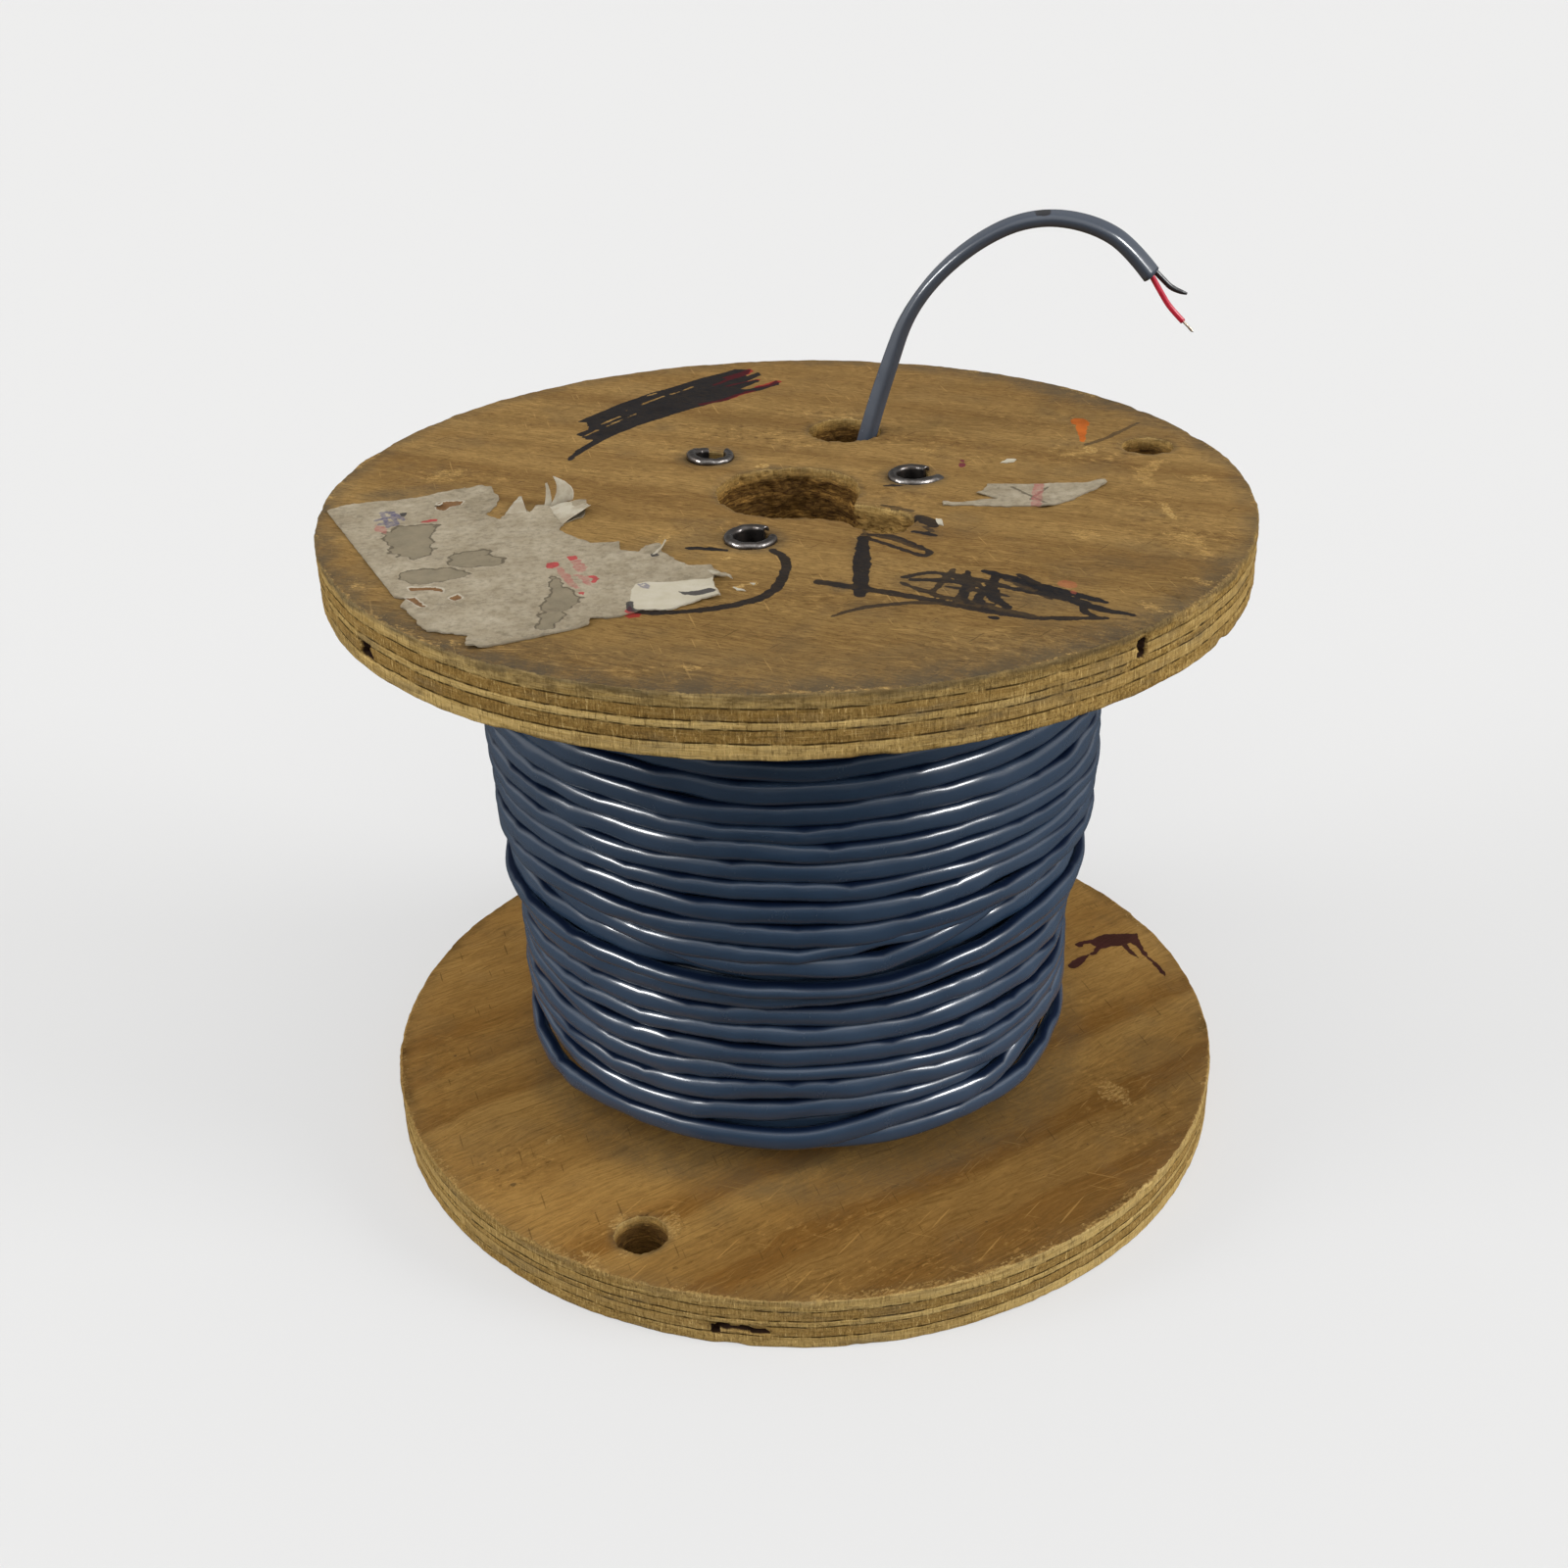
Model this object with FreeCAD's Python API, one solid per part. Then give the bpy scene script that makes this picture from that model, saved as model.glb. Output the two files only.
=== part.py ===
# Plywood reel with a flat two-core cable wound on it.
# Millimetres. +Z is the reel's axis, pointing up; the origin is the centre of
# the underside, where the reel stands on the floor.
import FreeCAD, Part
import math
import os

os.makedirs("parts", exist_ok=True)

# ---------------------------------------------------------------- dimensions
FLANGE_D = 304.8          # outside diameter of both flanges
FLANGE_T = 20.0           # five-ply board
TRAVERSE = 191.0          # clear width between the flanges
RIM_WEAR = 1.6            # worn bevel along the outer rims
ARBOR_D = 44.45           # central hole of both flanges

SLOT_W = 15.6             # key slot running out of the upper arbor hole
SLOT_END = (31.2, -30.8)  # centre of the slot's round end

START_D = 25.4            # start hole, where the inner end comes out
START_AT = (22.3, 63.1)

DRIVE_D = 17.5            # drive pin hole, one in each flange
DRIVE_UP_AT = (126.2, 37.4)
DRIVE_LOW_AT = (-55.6, -119.6)

DRUM_OD = 107.9           # fibre drum
DRUM_WALL = 2.9
DRUM_SEAT = 5.0           # depth of the groove in each flange

TIE_AT = ((-25.6, 35.4), (42.6, 11.0), (-11.4, -43.0))
TIE_SLIT_AZ = (68.0, 36.0, 28.0)   # direction the open slit faces, degrees
TIE_OD = 12.7
TIE_WALL = 1.2
TIE_HOLE_D = 13.0         # hole in the flanges
TIE_SLIT_DEG = 32.0       # angle taken out by the slit
LIP_R = 1.9               # outer radius of the curl
LIP_SINK_D = 18.8         # recess that takes the lower lips
LIP_SINK = 2.2

CABLE_W = 7.2             # flat two-core cable
CABLE_H = 4.8
TURN_PITCH = 7.05
UPPER_TURNS = 14          # turns of the last, outer layer, from the upper flange down
LOWER_TURNS = 11          # turns of the layer that shows below them
UPPER_R = 106.3           # outside radius over the outer layer
LOWER_R = 99.4            # outside radius over the layer below
CORE_R = 74.0             # outside radius of the inner layers that reach down to the lower flange
TURN_CROWN = 1.25         # how far each turn bulges out of its row

# free inner end: points of its route, joined by tangent arcs
TAIL_D = 6.3              # round bar of the same section area as the flat cable
TAIL_ROUTE = (
    (25.4, 60.3, 211.0),
    (30.4, 60.0, 232.0),
    (38.7, 59.4, 258.3),
    (42.9, 59.2, 270.4),
    (49.8, 58.8, 281.3),
    (58.6, 58.2, 290.8),
    (69.4, 57.6, 298.8),
    (81.2, 56.8, 304.2),
    (93.9, 56.1, 305.5),
    (107.7, 55.2, 302.3),
    (118.6, 54.6, 295.6),
    (126.6, 54.1, 285.8),
)
CORE_D = 1.95             # insulated conductor
BARE_D = 0.9              # tinned strands
RED_ROUTE = (
    (126.1, 53.2, 286.3),
    (130.6, 53.5, 279.0),
    (134.0, 53.4, 274.0),
    (138.4, 53.2, 269.7),
)
BARE_ROUTE = (
    (138.4, 53.2, 269.7),
    (140.4, 53.1, 267.9),
    (142.0, 53.0, 266.0),
)
BLACK_ROUTE = (
    (127.2, 54.9, 287.4),
    (130.9, 54.7, 283.8),
    (134.4, 54.4, 280.4),
    (139.2, 53.9, 279.0),
)

PAPER_T = 0.25
LABEL_OUTLINE = (
    (-149.2, -9.6), (-144.0, -3.6), (-137.0, -1.4), (-129.5, -0.4), (-121.0, 1.6),
    (-116.5, 4.6), (-110.0, 8.6), (-101.5, 10.8), (-98.0, 9.0), (-95.4, 3.0),
    (-94.0, -3.0), (-94.8, -9.5), (-97.0, -15.5), (-91.5, -20.3), (-89.6, -12.0),
    (-87.2, -3.0), (-84.2, -12.0), (-82.6, -15.0), (-81.4, -9.0), (-78.6, -8.0),
    (-74.8, -9.4), (-69.8, -9.9), (-65.4, -8.8), (-64.2, -13.0), (-65.2, -20.4),
    (-70.2, -25.4), (-71.6, -31.2), (-66.6, -37.6), (-60.4, -43.6), (-52.2, -42.8),
    (-51.2, -49.2), (-46.0, -51.2), (-43.6, -46.8), (-39.6, -46.0), (-38.8, -50.4),
    (-35.6, -56.4), (-29.8, -63.2), (-23.2, -63.4), (-20.6, -69.6), (-16.6, -76.4),
    (-19.6, -75.8), (-22.4, -71.0), (-21.6, -79.6), (-19.8, -88.6), (-25.2, -90.2),
    (-27.0, -92.4), (-36.0, -97.0), (-42.4, -96.4), (-45.4, -98.6), (-50.0, -101.2),
    (-56.2, -101.6), (-56.6, -106.2), (-70.2, -113.2), (-85.8, -119.8),
    (-89.6, -118.8), (-90.2, -111.2), (-102.0, -107.2), (-104.2, -103.8),
    (-112.2, -88.8), (-111.6, -84.2), (-115.0, -82.8),
)
SCRAP_OUTLINE = (
    (66.8, 1.8), (80.0, 0.8), (105.4, 1.0), (105.8, -1.6), (99.0, -7.8),
    (91.4, -16.0), (83.0, -21.6), (80.8, -21.4), (79.6, -19.4), (71.0, -19.9),
    (57.8, -17.6), (50.2, -17.8), (50.8, -14.2), (57.2, -15.0), (63.4, -13.0),
    (68.8, -12.4), (64.2, -9.2), (62.0, -7.4), (65.0, -4.2),
)

# ---------------------------------------------------------------- derived
V = FreeCAD.Vector
Z_LOW = FLANGE_T
Z_UP = FLANGE_T + TRAVERSE
HEIGHT = Z_UP + FLANGE_T
FLANGE_R = FLANGE_D / 2.0


def save(shape, name):
    if not shape.isValid():
        raise RuntimeError(name + " is not valid")
    shape.exportStep("parts/" + name + ".step")
    b = shape.BoundBox
    print("%-18s volume %12.1f  z %.2f..%.2f  solids %d" % (
        name, shape.Volume, b.ZMin, b.ZMax, len(shape.Solids)))


def cyl(d, z0, z1, at=(0.0, 0.0)):
    return Part.makeCylinder(d / 2.0, z1 - z0, V(at[0], at[1], z0))


def revolve(points, degrees=360.0, start=0.0, at=(0.0, 0.0)):
    """Turn a closed outline about the vertical axis. An entry of three points
    is an arc: its middle and end."""
    edges = []
    last = points[0]
    first = points[0]
    for p in points[1:]:
        if len(p) == 2 and isinstance(p[0], tuple):
            edges.append(Part.Arc(V(last[0], 0, last[1]), V(p[0][0], 0, p[0][1]),
                                  V(p[1][0], 0, p[1][1])).toShape())
            last = p[1]
        else:
            edges.append(Part.LineSegment(V(last[0], 0, last[1]), V(p[0], 0, p[1])).toShape())
            last = p
    if abs(last[0] - first[0]) + abs(last[1] - first[1]) > 1e-7:
        edges.append(Part.LineSegment(V(last[0], 0, last[1]), V(first[0], 0, first[1])).toShape())
    face = Part.Face(Part.Wire(edges))
    body = face.revolve(V(0, 0, 0), V(0, 0, 1), degrees)
    if body.Volume < 0:
        body.reverse()
    if start:
        body.rotate(V(0, 0, 0), V(0, 0, 1), start)
    if at != (0.0, 0.0):
        body.translate(V(at[0], at[1], 0))
    return body


def disc(z0, z1, bevel_low, bevel_up):
    """A board disc with its worn rims."""
    w = RIM_WEAR
    pts = [(0.0, z0)]
    if bevel_low:
        pts += [(FLANGE_R - w, z0), (FLANGE_R, z0 + w)]
    else:
        pts += [(FLANGE_R, z0)]
    if bevel_up:
        pts += [(FLANGE_R, z1 - w), (FLANGE_R - w, z1)]
    else:
        pts += [(FLANGE_R, z1)]
    pts += [(0.0, z1)]
    return revolve(pts)


def ring(d_out, d_in, z0, z1):
    return cyl(d_out, z0, z1).cut(cyl(d_in, z0 - 1.0, z1 + 1.0))


# ---------------------------------------------------------------- flanges
upper = disc(Z_UP, HEIGHT, False, True)
cuts = [cyl(ARBOR_D, Z_UP - 1, HEIGHT + 1),
        cyl(START_D, Z_UP - 1, HEIGHT + 1, START_AT),
        cyl(DRIVE_D, Z_UP - 1, HEIGHT + 1, DRIVE_UP_AT),
        ring(DRUM_OD, DRUM_OD - 2 * DRUM_WALL, Z_UP - 1, Z_UP + DRUM_SEAT)]
for at in TIE_AT:
    cuts.append(cyl(TIE_HOLE_D, Z_UP - 1, HEIGHT + 1, at))
# key slot: straight sides from the arbor hole to a round end
slot_len = math.hypot(*SLOT_END)
slot_dir = math.degrees(math.atan2(SLOT_END[1], SLOT_END[0]))
slot = Part.makeBox(slot_len, SLOT_W, FLANGE_T + 2, V(0, -SLOT_W / 2.0, Z_UP - 1))
slot.rotate(V(0, 0, 0), V(0, 0, 1), slot_dir)
cuts.append(slot)
cuts.append(cyl(SLOT_W, Z_UP - 1, HEIGHT + 1, SLOT_END))
for c in cuts:
    upper = upper.cut(c)
upper = upper.removeSplitter()
save(upper, "upper_flange")

lower = disc(0.0, Z_LOW, True, True)
cuts = [cyl(ARBOR_D, -1, Z_LOW + 1),
        cyl(DRIVE_D, -1, Z_LOW + 1, DRIVE_LOW_AT),
        ring(DRUM_OD, DRUM_OD - 2 * DRUM_WALL, Z_LOW - DRUM_SEAT, Z_LOW + 1)]
for at in TIE_AT:
    cuts.append(cyl(TIE_HOLE_D, -1, Z_LOW + 1, at))
    cuts.append(cyl(LIP_SINK_D, -1, LIP_SINK, at))
for c in cuts:
    lower = lower.cut(c)
lower = lower.removeSplitter()
save(lower, "lower_flange")

# ---------------------------------------------------------------- drum
drum = ring(DRUM_OD, DRUM_OD - 2 * DRUM_WALL, Z_LOW - DRUM_SEAT, Z_UP + DRUM_SEAT)
save(drum, "drum")

# ---------------------------------------------------------------- tie tubes
# Each is a strip rolled into a tube that stays open along a slit. Both ends
# are curled outwards; the lower curls lie in a shallow recess of the board.
ro = TIE_OD / 2.0
ri = ro - TIE_WALL
curl_c = ri + LIP_R                      # radius of the curl's centre circle
curl_i = LIP_R - TIE_WALL                # inner radius of the curl
top_c = HEIGHT + 0.1
low_c = LIP_SINK - 0.1
profile = [
    (ri, low_c),
    (ri, top_c),
    ((curl_c, top_c + LIP_R), (curl_c + LIP_R, top_c)),
    (curl_c + LIP_R, HEIGHT),
    (curl_c + curl_i, HEIGHT),
    (curl_c + curl_i, top_c),
    ((curl_c, top_c + curl_i), (ro, top_c)),
    (ro, low_c),
    ((curl_c, low_c - curl_i), (curl_c + curl_i, low_c)),
    (curl_c + curl_i, LIP_SINK),
    (curl_c + LIP_R, LIP_SINK),
    (curl_c + LIP_R, low_c),
    ((curl_c, low_c - LIP_R), (ri, low_c)),
]
for i, at in enumerate(TIE_AT):
    tube = revolve(profile, 360.0 - TIE_SLIT_DEG, TIE_SLIT_AZ[i] + TIE_SLIT_DEG / 2.0, at)
    save(tube, "tie_tube_%d" % (i + 1))

# ---------------------------------------------------------------- winding
# One turned solid. Its outside has a crown for every turn of the outer row.
turns = []
z = Z_UP
for k in range(UPPER_TURNS):
    turns.append((z - TURN_PITCH, z, UPPER_R))
    z -= TURN_PITCH
for k in range(LOWER_TURNS):
    turns.append((z - TURN_PITCH, z, LOWER_R))
    z -= TURN_PITCH
z_turns_end = z
turns.reverse()
bore = DRUM_OD / 2.0
outline = [(bore, Z_LOW), (CORE_R, Z_LOW), (CORE_R, z_turns_end)]
r_now = CORE_R
for z0, z1, r in turns:
    root = r - TURN_CROWN
    if abs(r_now - root) > 1e-6:
        outline.append((root, z0))
    outline.append(((r, (z0 + z1) / 2.0), (root, z1)))
    r_now = root
outline += [(bore, Z_UP)]
winding = revolve(outline)
save(winding, "cable_winding")
print("winding ends %.2f above the lower flange" % (z_turns_end - Z_LOW))


# ---------------------------------------------------------------- cable tail
def route_wire(pts, d, name):
    """Straight runs joined by tangent arcs as large as the runs allow."""
    p = [V(*q) for q in pts]
    edges = []
    start = p[0]
    length = 0.0
    radii = []
    for i in range(1, len(p) - 1):
        a = (p[i - 1] - p[i])
        b = (p[i + 1] - p[i])
        la, lb = a.Length, b.Length
        a.normalize()
        b.normalize()
        turn = math.pi - a.getAngle(b)
        run = min(la, lb)
        setback = 0.45 * run
        radius = setback / math.tan(turn / 2.0)
        radii.append(radius)
        t0 = p[i] + a * setback
        t1 = p[i] + b * setback
        mid_dir = (a + b)
        mid_dir.normalize()
        mid = p[i] + mid_dir * (math.hypot(radius, setback) - radius)
        edges.append(Part.LineSegment(start, t0).toShape())
        edges.append(Part.Arc(t0, mid, t1).toShape())
        length += (t0 - start).Length + radius * turn
        start = t1
    edges.append(Part.LineSegment(start, p[-1]).toShape())
    length += (p[-1] - start).Length
    print("%s route: length %.1f, smallest radius %.1f (%.1f diameters), radii %s" % (
        name, length, min(radii), min(radii) / d, ["%.0f" % r for r in radii]))
    return Part.Wire(edges), length


def tube(pts, d, name, back=0.0):
    """Round bar along a route, begun a little behind its first point so that
    its end can be cut to the face it meets."""
    wire, length = route_wire(pts, d, name)
    a = V(*pts[0])
    t = V(*pts[1]) - a
    t.normalize()
    prof = Part.Wire([Part.makeCircle(d / 2.0, a, t)])
    body = wire.makePipeShell([prof], True, True)
    want = math.pi * d * d / 4.0 * length
    print("%s volume %.2f, section times length %.2f" % (name, body.Volume, want))
    if back:
        body = body.fuse(Part.makeCylinder(d / 2.0, back, a - t * back, t)).removeSplitter()
    return body


tail = tube(TAIL_ROUTE, TAIL_D, "cable_tail", 2.0)
# the lower end is cut level where it meets the winding under the start hole
tail = tail.cut(cyl(40.0, Z_UP - 20.0, Z_UP, START_AT))
save(tail, "cable_tail")
red = tube(RED_ROUTE, CORE_D, "red_conductor", 1.0).cut(tail)
save(red, "red_conductor")
bare = tube(BARE_ROUTE, BARE_D, "red_strands", 0.6).cut(red)
save(bare, "red_strands")
black = tube(BLACK_ROUTE, CORE_D, "black_conductor", 1.0).cut(tail)
save(black, "black_conductor")

# ---------------------------------------------------------------- paper
for name, outline in (("label_paper", LABEL_OUTLINE), ("label_scrap", SCRAP_OUTLINE)):
    pts = [V(x, y, HEIGHT) for x, y in outline]
    pts.append(pts[0])
    sheet = Part.Face(Part.makePolygon(pts)).extrude(V(0, 0, PAPER_T))
    if sheet.Volume < 0:
        sheet.reverse()
    save(sheet, name)
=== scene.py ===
# A plywood reel with flat two-core cable wound on it, standing on its lower flange.
# Metres throughout; measured tables are in millimetres and scaled by MM.
import bpy
import bmesh
import math
import numpy as np
from mathutils import Matrix, Vector
from mathutils.geometry import delaunay_2d_cdt


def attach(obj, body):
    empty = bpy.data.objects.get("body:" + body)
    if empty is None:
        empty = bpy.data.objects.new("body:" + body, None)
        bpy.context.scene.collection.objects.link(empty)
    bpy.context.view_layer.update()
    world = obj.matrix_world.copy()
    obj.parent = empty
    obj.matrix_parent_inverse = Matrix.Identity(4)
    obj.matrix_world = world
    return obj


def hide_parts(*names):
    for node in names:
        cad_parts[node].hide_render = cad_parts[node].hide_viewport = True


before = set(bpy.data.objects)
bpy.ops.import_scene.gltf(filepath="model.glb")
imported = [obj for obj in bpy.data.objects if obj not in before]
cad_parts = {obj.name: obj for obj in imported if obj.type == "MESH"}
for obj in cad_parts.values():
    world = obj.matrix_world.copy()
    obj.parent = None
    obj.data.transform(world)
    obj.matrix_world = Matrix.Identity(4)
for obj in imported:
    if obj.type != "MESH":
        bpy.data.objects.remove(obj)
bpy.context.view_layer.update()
scene = bpy.context.scene
MM = 0.001
COL = bpy.data.collections.new("looks")
scene.collection.children.link(COL)

# ------------------------------------------------------------------ camera
cam_data = bpy.data.cameras.new("camera")
cam_data.sensor_width = 36.0
cam_data.sensor_fit = "HORIZONTAL"
cam_data.lens = 43.787
cam_data.clip_start = 0.02
cam_data.clip_end = 60.0
cam = bpy.data.objects.new("camera", cam_data)
COL.objects.link(cam)
cam.matrix_world = Matrix((
    (0.99969681, 0.02462285, 0.0, -0.0028424),
    (-0.01179815, 0.479009, -0.8777307, -0.5979514),
    (-0.02161223, 0.87746458, 0.47915427, 0.4475525),
    (0.0, 0.0, 0.0, 1.0)))
scene.camera = cam

# ------------------------------------------------------------------ helpers
def vhash(ix, iy, iz, seed):
    """Repeatable random numbers from 0 to 1 at whole-number lattice points."""
    n = (ix.astype(np.int64) * 374761393 + iy.astype(np.int64) * 668265263
         + iz.astype(np.int64) * 2147483647 + np.int64(seed) * 1274126177)
    n = (n ^ (n >> 13)) & 0x7FFFFFFF
    n = (n * 1274126177) & 0x7FFFFFFFFFFF
    n = (n ^ (n >> 16)) & 0x7FFFFFFF
    n = (n * 668265263) & 0x7FFFFFFFFFFF
    n = (n ^ (n >> 15)) & 0xFFFFFF
    return n / float(0xFFFFFF)


def vnoise(x, y, z=0.0, seed=0):
    """Smooth value noise, -1 to 1."""
    x, y, z = np.broadcast_arrays(np.asarray(x, float), np.asarray(y, float), np.asarray(z, float))
    fx, fy, fz = np.floor(x), np.floor(y), np.floor(z)
    tx, ty, tz = x - fx, y - fy, z - fz
    tx, ty, tz = [t * t * t * (t * (t * 6 - 15) + 10) for t in (tx, ty, tz)]
    out = 0.0
    for dx in (0, 1):
        wx = tx if dx else 1 - tx
        for dy in (0, 1):
            wy = ty if dy else 1 - ty
            for dz in (0, 1):
                wz = tz if dz else 1 - tz
                out = out + wx * wy * wz * vhash(fx + dx, fy + dy, fz + dz, seed)
    return out * 2 - 1


def fbm(x, y, z=0.0, seed=0, octaves=4, gain=0.5):
    amp, tot, out = 1.0, 0.0, 0.0
    k = 1.0
    for i in range(octaves):
        out = out + amp * vnoise(np.asarray(x) * k, np.asarray(y) * k, np.asarray(z) * k, seed + 17 * i)
        tot += amp
        amp *= gain
        k *= 2.03
    return out / tot


def smooth(a, b, x):
    t = np.clip((np.asarray(x, float) - a) / (b - a), 0.0, 1.0)
    return t * t * (3 - 2 * t)


def mesh_object(name, verts, faces, shade_smooth=True):
    me = bpy.data.meshes.new(name)
    me.from_pydata([tuple(v) for v in verts], [], [tuple(int(i) for i in f) for f in faces])
    me.validate()
    me.update()
    if shade_smooth:
        me.polygons.foreach_set("use_smooth", np.ones(len(me.polygons), bool))
    o = bpy.data.objects.new(name, me)
    COL.objects.link(o)
    return o


def fast_mesh(name, verts, quads, tris=None, smooth_faces=True):
    """A mesh from arrays: verts in metres, quads and tris as index arrays."""
    me = bpy.data.meshes.new(name)
    verts = np.asarray(verts, np.float32)
    quads = np.zeros((0, 4), np.int32) if quads is None else np.asarray(quads, np.int32).reshape(-1, 4)
    tris = np.zeros((0, 3), np.int32) if tris is None else np.asarray(tris, np.int32).reshape(-1, 3)
    me.vertices.add(len(verts))
    me.vertices.foreach_set("co", verts.ravel())
    loops = np.concatenate([quads.ravel(), tris.ravel()])
    me.loops.add(len(loops))
    me.loops.foreach_set("vertex_index", loops)
    starts = np.concatenate([np.arange(len(quads)) * 4, len(quads) * 4 + np.arange(len(tris)) * 3])
    me.polygons.add(len(quads) + len(tris))
    me.polygons.foreach_set("loop_start", starts.astype(np.int32))
    me.update(calc_edges=True)
    me.validate()
    if smooth_faces:
        me.polygons.foreach_set("use_smooth", np.ones(len(me.polygons), bool))
    o = bpy.data.objects.new(name, me)
    COL.objects.link(o)
    return o


def set_colour(o, name, rgba):
    at = o.data.color_attributes.new(name, "FLOAT_COLOR", "POINT")
    at.data.foreach_set("color", np.asarray(rgba, np.float32).ravel())


def set_value(o, name, v):
    at = o.data.attributes.new(name, "FLOAT", "POINT")
    at.data.foreach_set("value", np.asarray(v, np.float32).ravel())

# ------------------------------------------------------------------ the cable's free end
TAIL_ROUTE = (
    (0.0254, 0.0603, 0.2110), (0.0304, 0.0600, 0.2320), (0.0387, 0.0594, 0.2583),
    (0.0429, 0.0592, 0.2704), (0.0498, 0.0588, 0.2813), (0.0586, 0.0582, 0.2908),
    (0.0694, 0.0576, 0.2988), (0.0812, 0.0568, 0.3042), (0.0939, 0.0561, 0.3055),
    (0.1077, 0.0552, 0.3023), (0.1186, 0.0546, 0.2956), (0.1266, 0.0541, 0.2858),
)
RED_ROUTE = ((0.1261, 0.0532, 0.2863), (0.1306, 0.0535, 0.2790), (0.1340, 0.0534, 0.2740), (0.1384, 0.0532, 0.2697))
BARE_ROUTE = ((0.1384, 0.0532, 0.2697), (0.1404, 0.0531, 0.2679), (0.1420, 0.0530, 0.2660))
BLACK_ROUTE = ((0.1272, 0.0549, 0.2874), (0.1309, 0.0547, 0.2838), (0.1344, 0.0544, 0.2804), (0.1392, 0.0539, 0.2790))


def spline_points(name, route, steps=14):
    """Points along the smooth line that has the route as its control points."""
    cu = bpy.data.curves.new(name, "CURVE")
    cu.dimensions = "3D"
    cu.resolution_u = steps
    sp = cu.splines.new("NURBS")
    sp.points.add(len(route) - 1)
    for p, q in zip(sp.points, route):
        p.co = (q[0], q[1], q[2], 1.0)
    sp.order_u = 3
    sp.use_endpoint_u = True
    ob = bpy.data.objects.new(name, cu)
    COL.objects.link(ob)
    bpy.context.view_layer.update()
    me = bpy.data.meshes.new_from_object(ob)
    pts = np.array([v.co[:] for v in me.vertices], float)
    bpy.data.objects.remove(ob)
    bpy.data.curves.remove(cu)
    bpy.data.meshes.remove(me)
    keep = np.r_[True, np.linalg.norm(np.diff(pts, axis=0), axis=1) > 1e-6]
    return pts[keep]


def tangents(p):
    t = np.gradient(p, axis=0)
    return t / np.linalg.norm(t, axis=1)[:, None]


def arc_length(p):
    return np.r_[0.0, np.cumsum(np.linalg.norm(np.diff(p, axis=0), axis=1))]


def section(n_pts, expo=2.6, groove=0.0):
    """Unit outline of the flat cable: x through its thickness, y across its width."""
    u = np.linspace(0, 2 * np.pi, n_pts, endpoint=False) + np.pi / n_pts
    x = np.sign(np.cos(u)) * np.abs(np.cos(u)) ** (2 / expo)
    y = np.sign(np.sin(u)) * np.abs(np.sin(u)) ** (2 / expo)
    return x * (1 - groove * np.exp(-(y / 0.3) ** 2)), y


def sweep(name, pts, ax, ay, sx, sy, caps=True):
    """Tube through pts: ax, ay are per-point vectors of the section's two half sizes."""
    n, m = len(pts), len(sx)
    v = pts[:, None, :] + ax[:, None, :] * sx[None, :, None] + ay[:, None, :] * sy[None, :, None]
    verts = v.reshape(-1, 3)
    i = np.arange(n - 1)[:, None] * m
    j = np.arange(m)[None, :]
    k = (j + 1) % m
    quads = np.stack([i + j, i + k, i + m + k, i + m + j], -1).reshape(-1, 4)
    tris = []
    if caps:
        a, b = len(verts), len(verts) + 1
        verts = np.vstack([verts, pts[0], pts[-1]])
        for q in range(m):
            tris.append((a, (q + 1) % m, q))
            tris.append((b, (n - 1) * m + q, (n - 1) * m + (q + 1) % m))
    return verts, quads, np.array(tris, np.int32).reshape(-1, 3)


def face_outward(verts, quads, tris, pts, m):
    """Turns the faces round if they point into the tube."""
    q = quads[len(quads) // 2]
    a, b, c = verts[q[0]], verts[q[1]], verts[q[2]]
    nrm = np.cross(b - a, c - a)
    mid = (a + c) / 2 - pts[q[0] // m]
    if nrm @ mid < 0:
        quads = quads[:, ::-1]
        tris = tris[:, ::-1]
    return quads, tris


def flat_cable(name, pts, psi, half_t=2.4 * MM, half_w=3.6 * MM, n_sec=28, see=(0.0, -0.88, 0.475)):
    """The free end: psi is how far its wide side is turned away from the front, in degrees."""
    t = tangents(pts)
    see = np.array(see)
    s = np.cross(t, see)
    s /= np.linalg.norm(s, axis=1)[:, None]
    d = np.cross(s, t)
    d /= np.linalg.norm(d, axis=1)[:, None]
    a = np.radians(psi)[:, None]
    wide = np.cos(a) * s + np.sin(a) * d
    thick = np.cross(wide, t)
    thick /= np.linalg.norm(thick, axis=1)[:, None]
    sx, sy = section(n_sec, 2.5, 0.05)
    verts, quads, tris = sweep(name, pts, thick * half_t, wide * half_w, sx, sy)
    quads, tris = face_outward(verts, quads, tris, pts, n_sec)
    return fast_mesh(name, verts, quads, tris), thick, wide


def round_wire(name, pts, radius, n_sec=12, taper=None):
    t = tangents(pts)
    up = np.array((0.1, 0.9, 0.3))
    a = np.cross(t, up)
    a /= np.linalg.norm(a, axis=1)[:, None]
    b = np.cross(t, a)
    r = np.full(len(pts), radius) if taper is None else radius * taper
    u = np.linspace(0, 2 * np.pi, n_sec, endpoint=False)
    verts, quads, tris = sweep(name, pts, a * r[:, None], b * r[:, None], np.cos(u), np.sin(u))
    quads, tris = face_outward(verts, quads, tris, pts, n_sec)
    return fast_mesh(name, verts, quads, tris)


tail_line = spline_points("tail_line", TAIL_ROUTE, 16)
s_tail = arc_length(tail_line)
TAIL_LEN = float(s_tail[-1])
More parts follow.
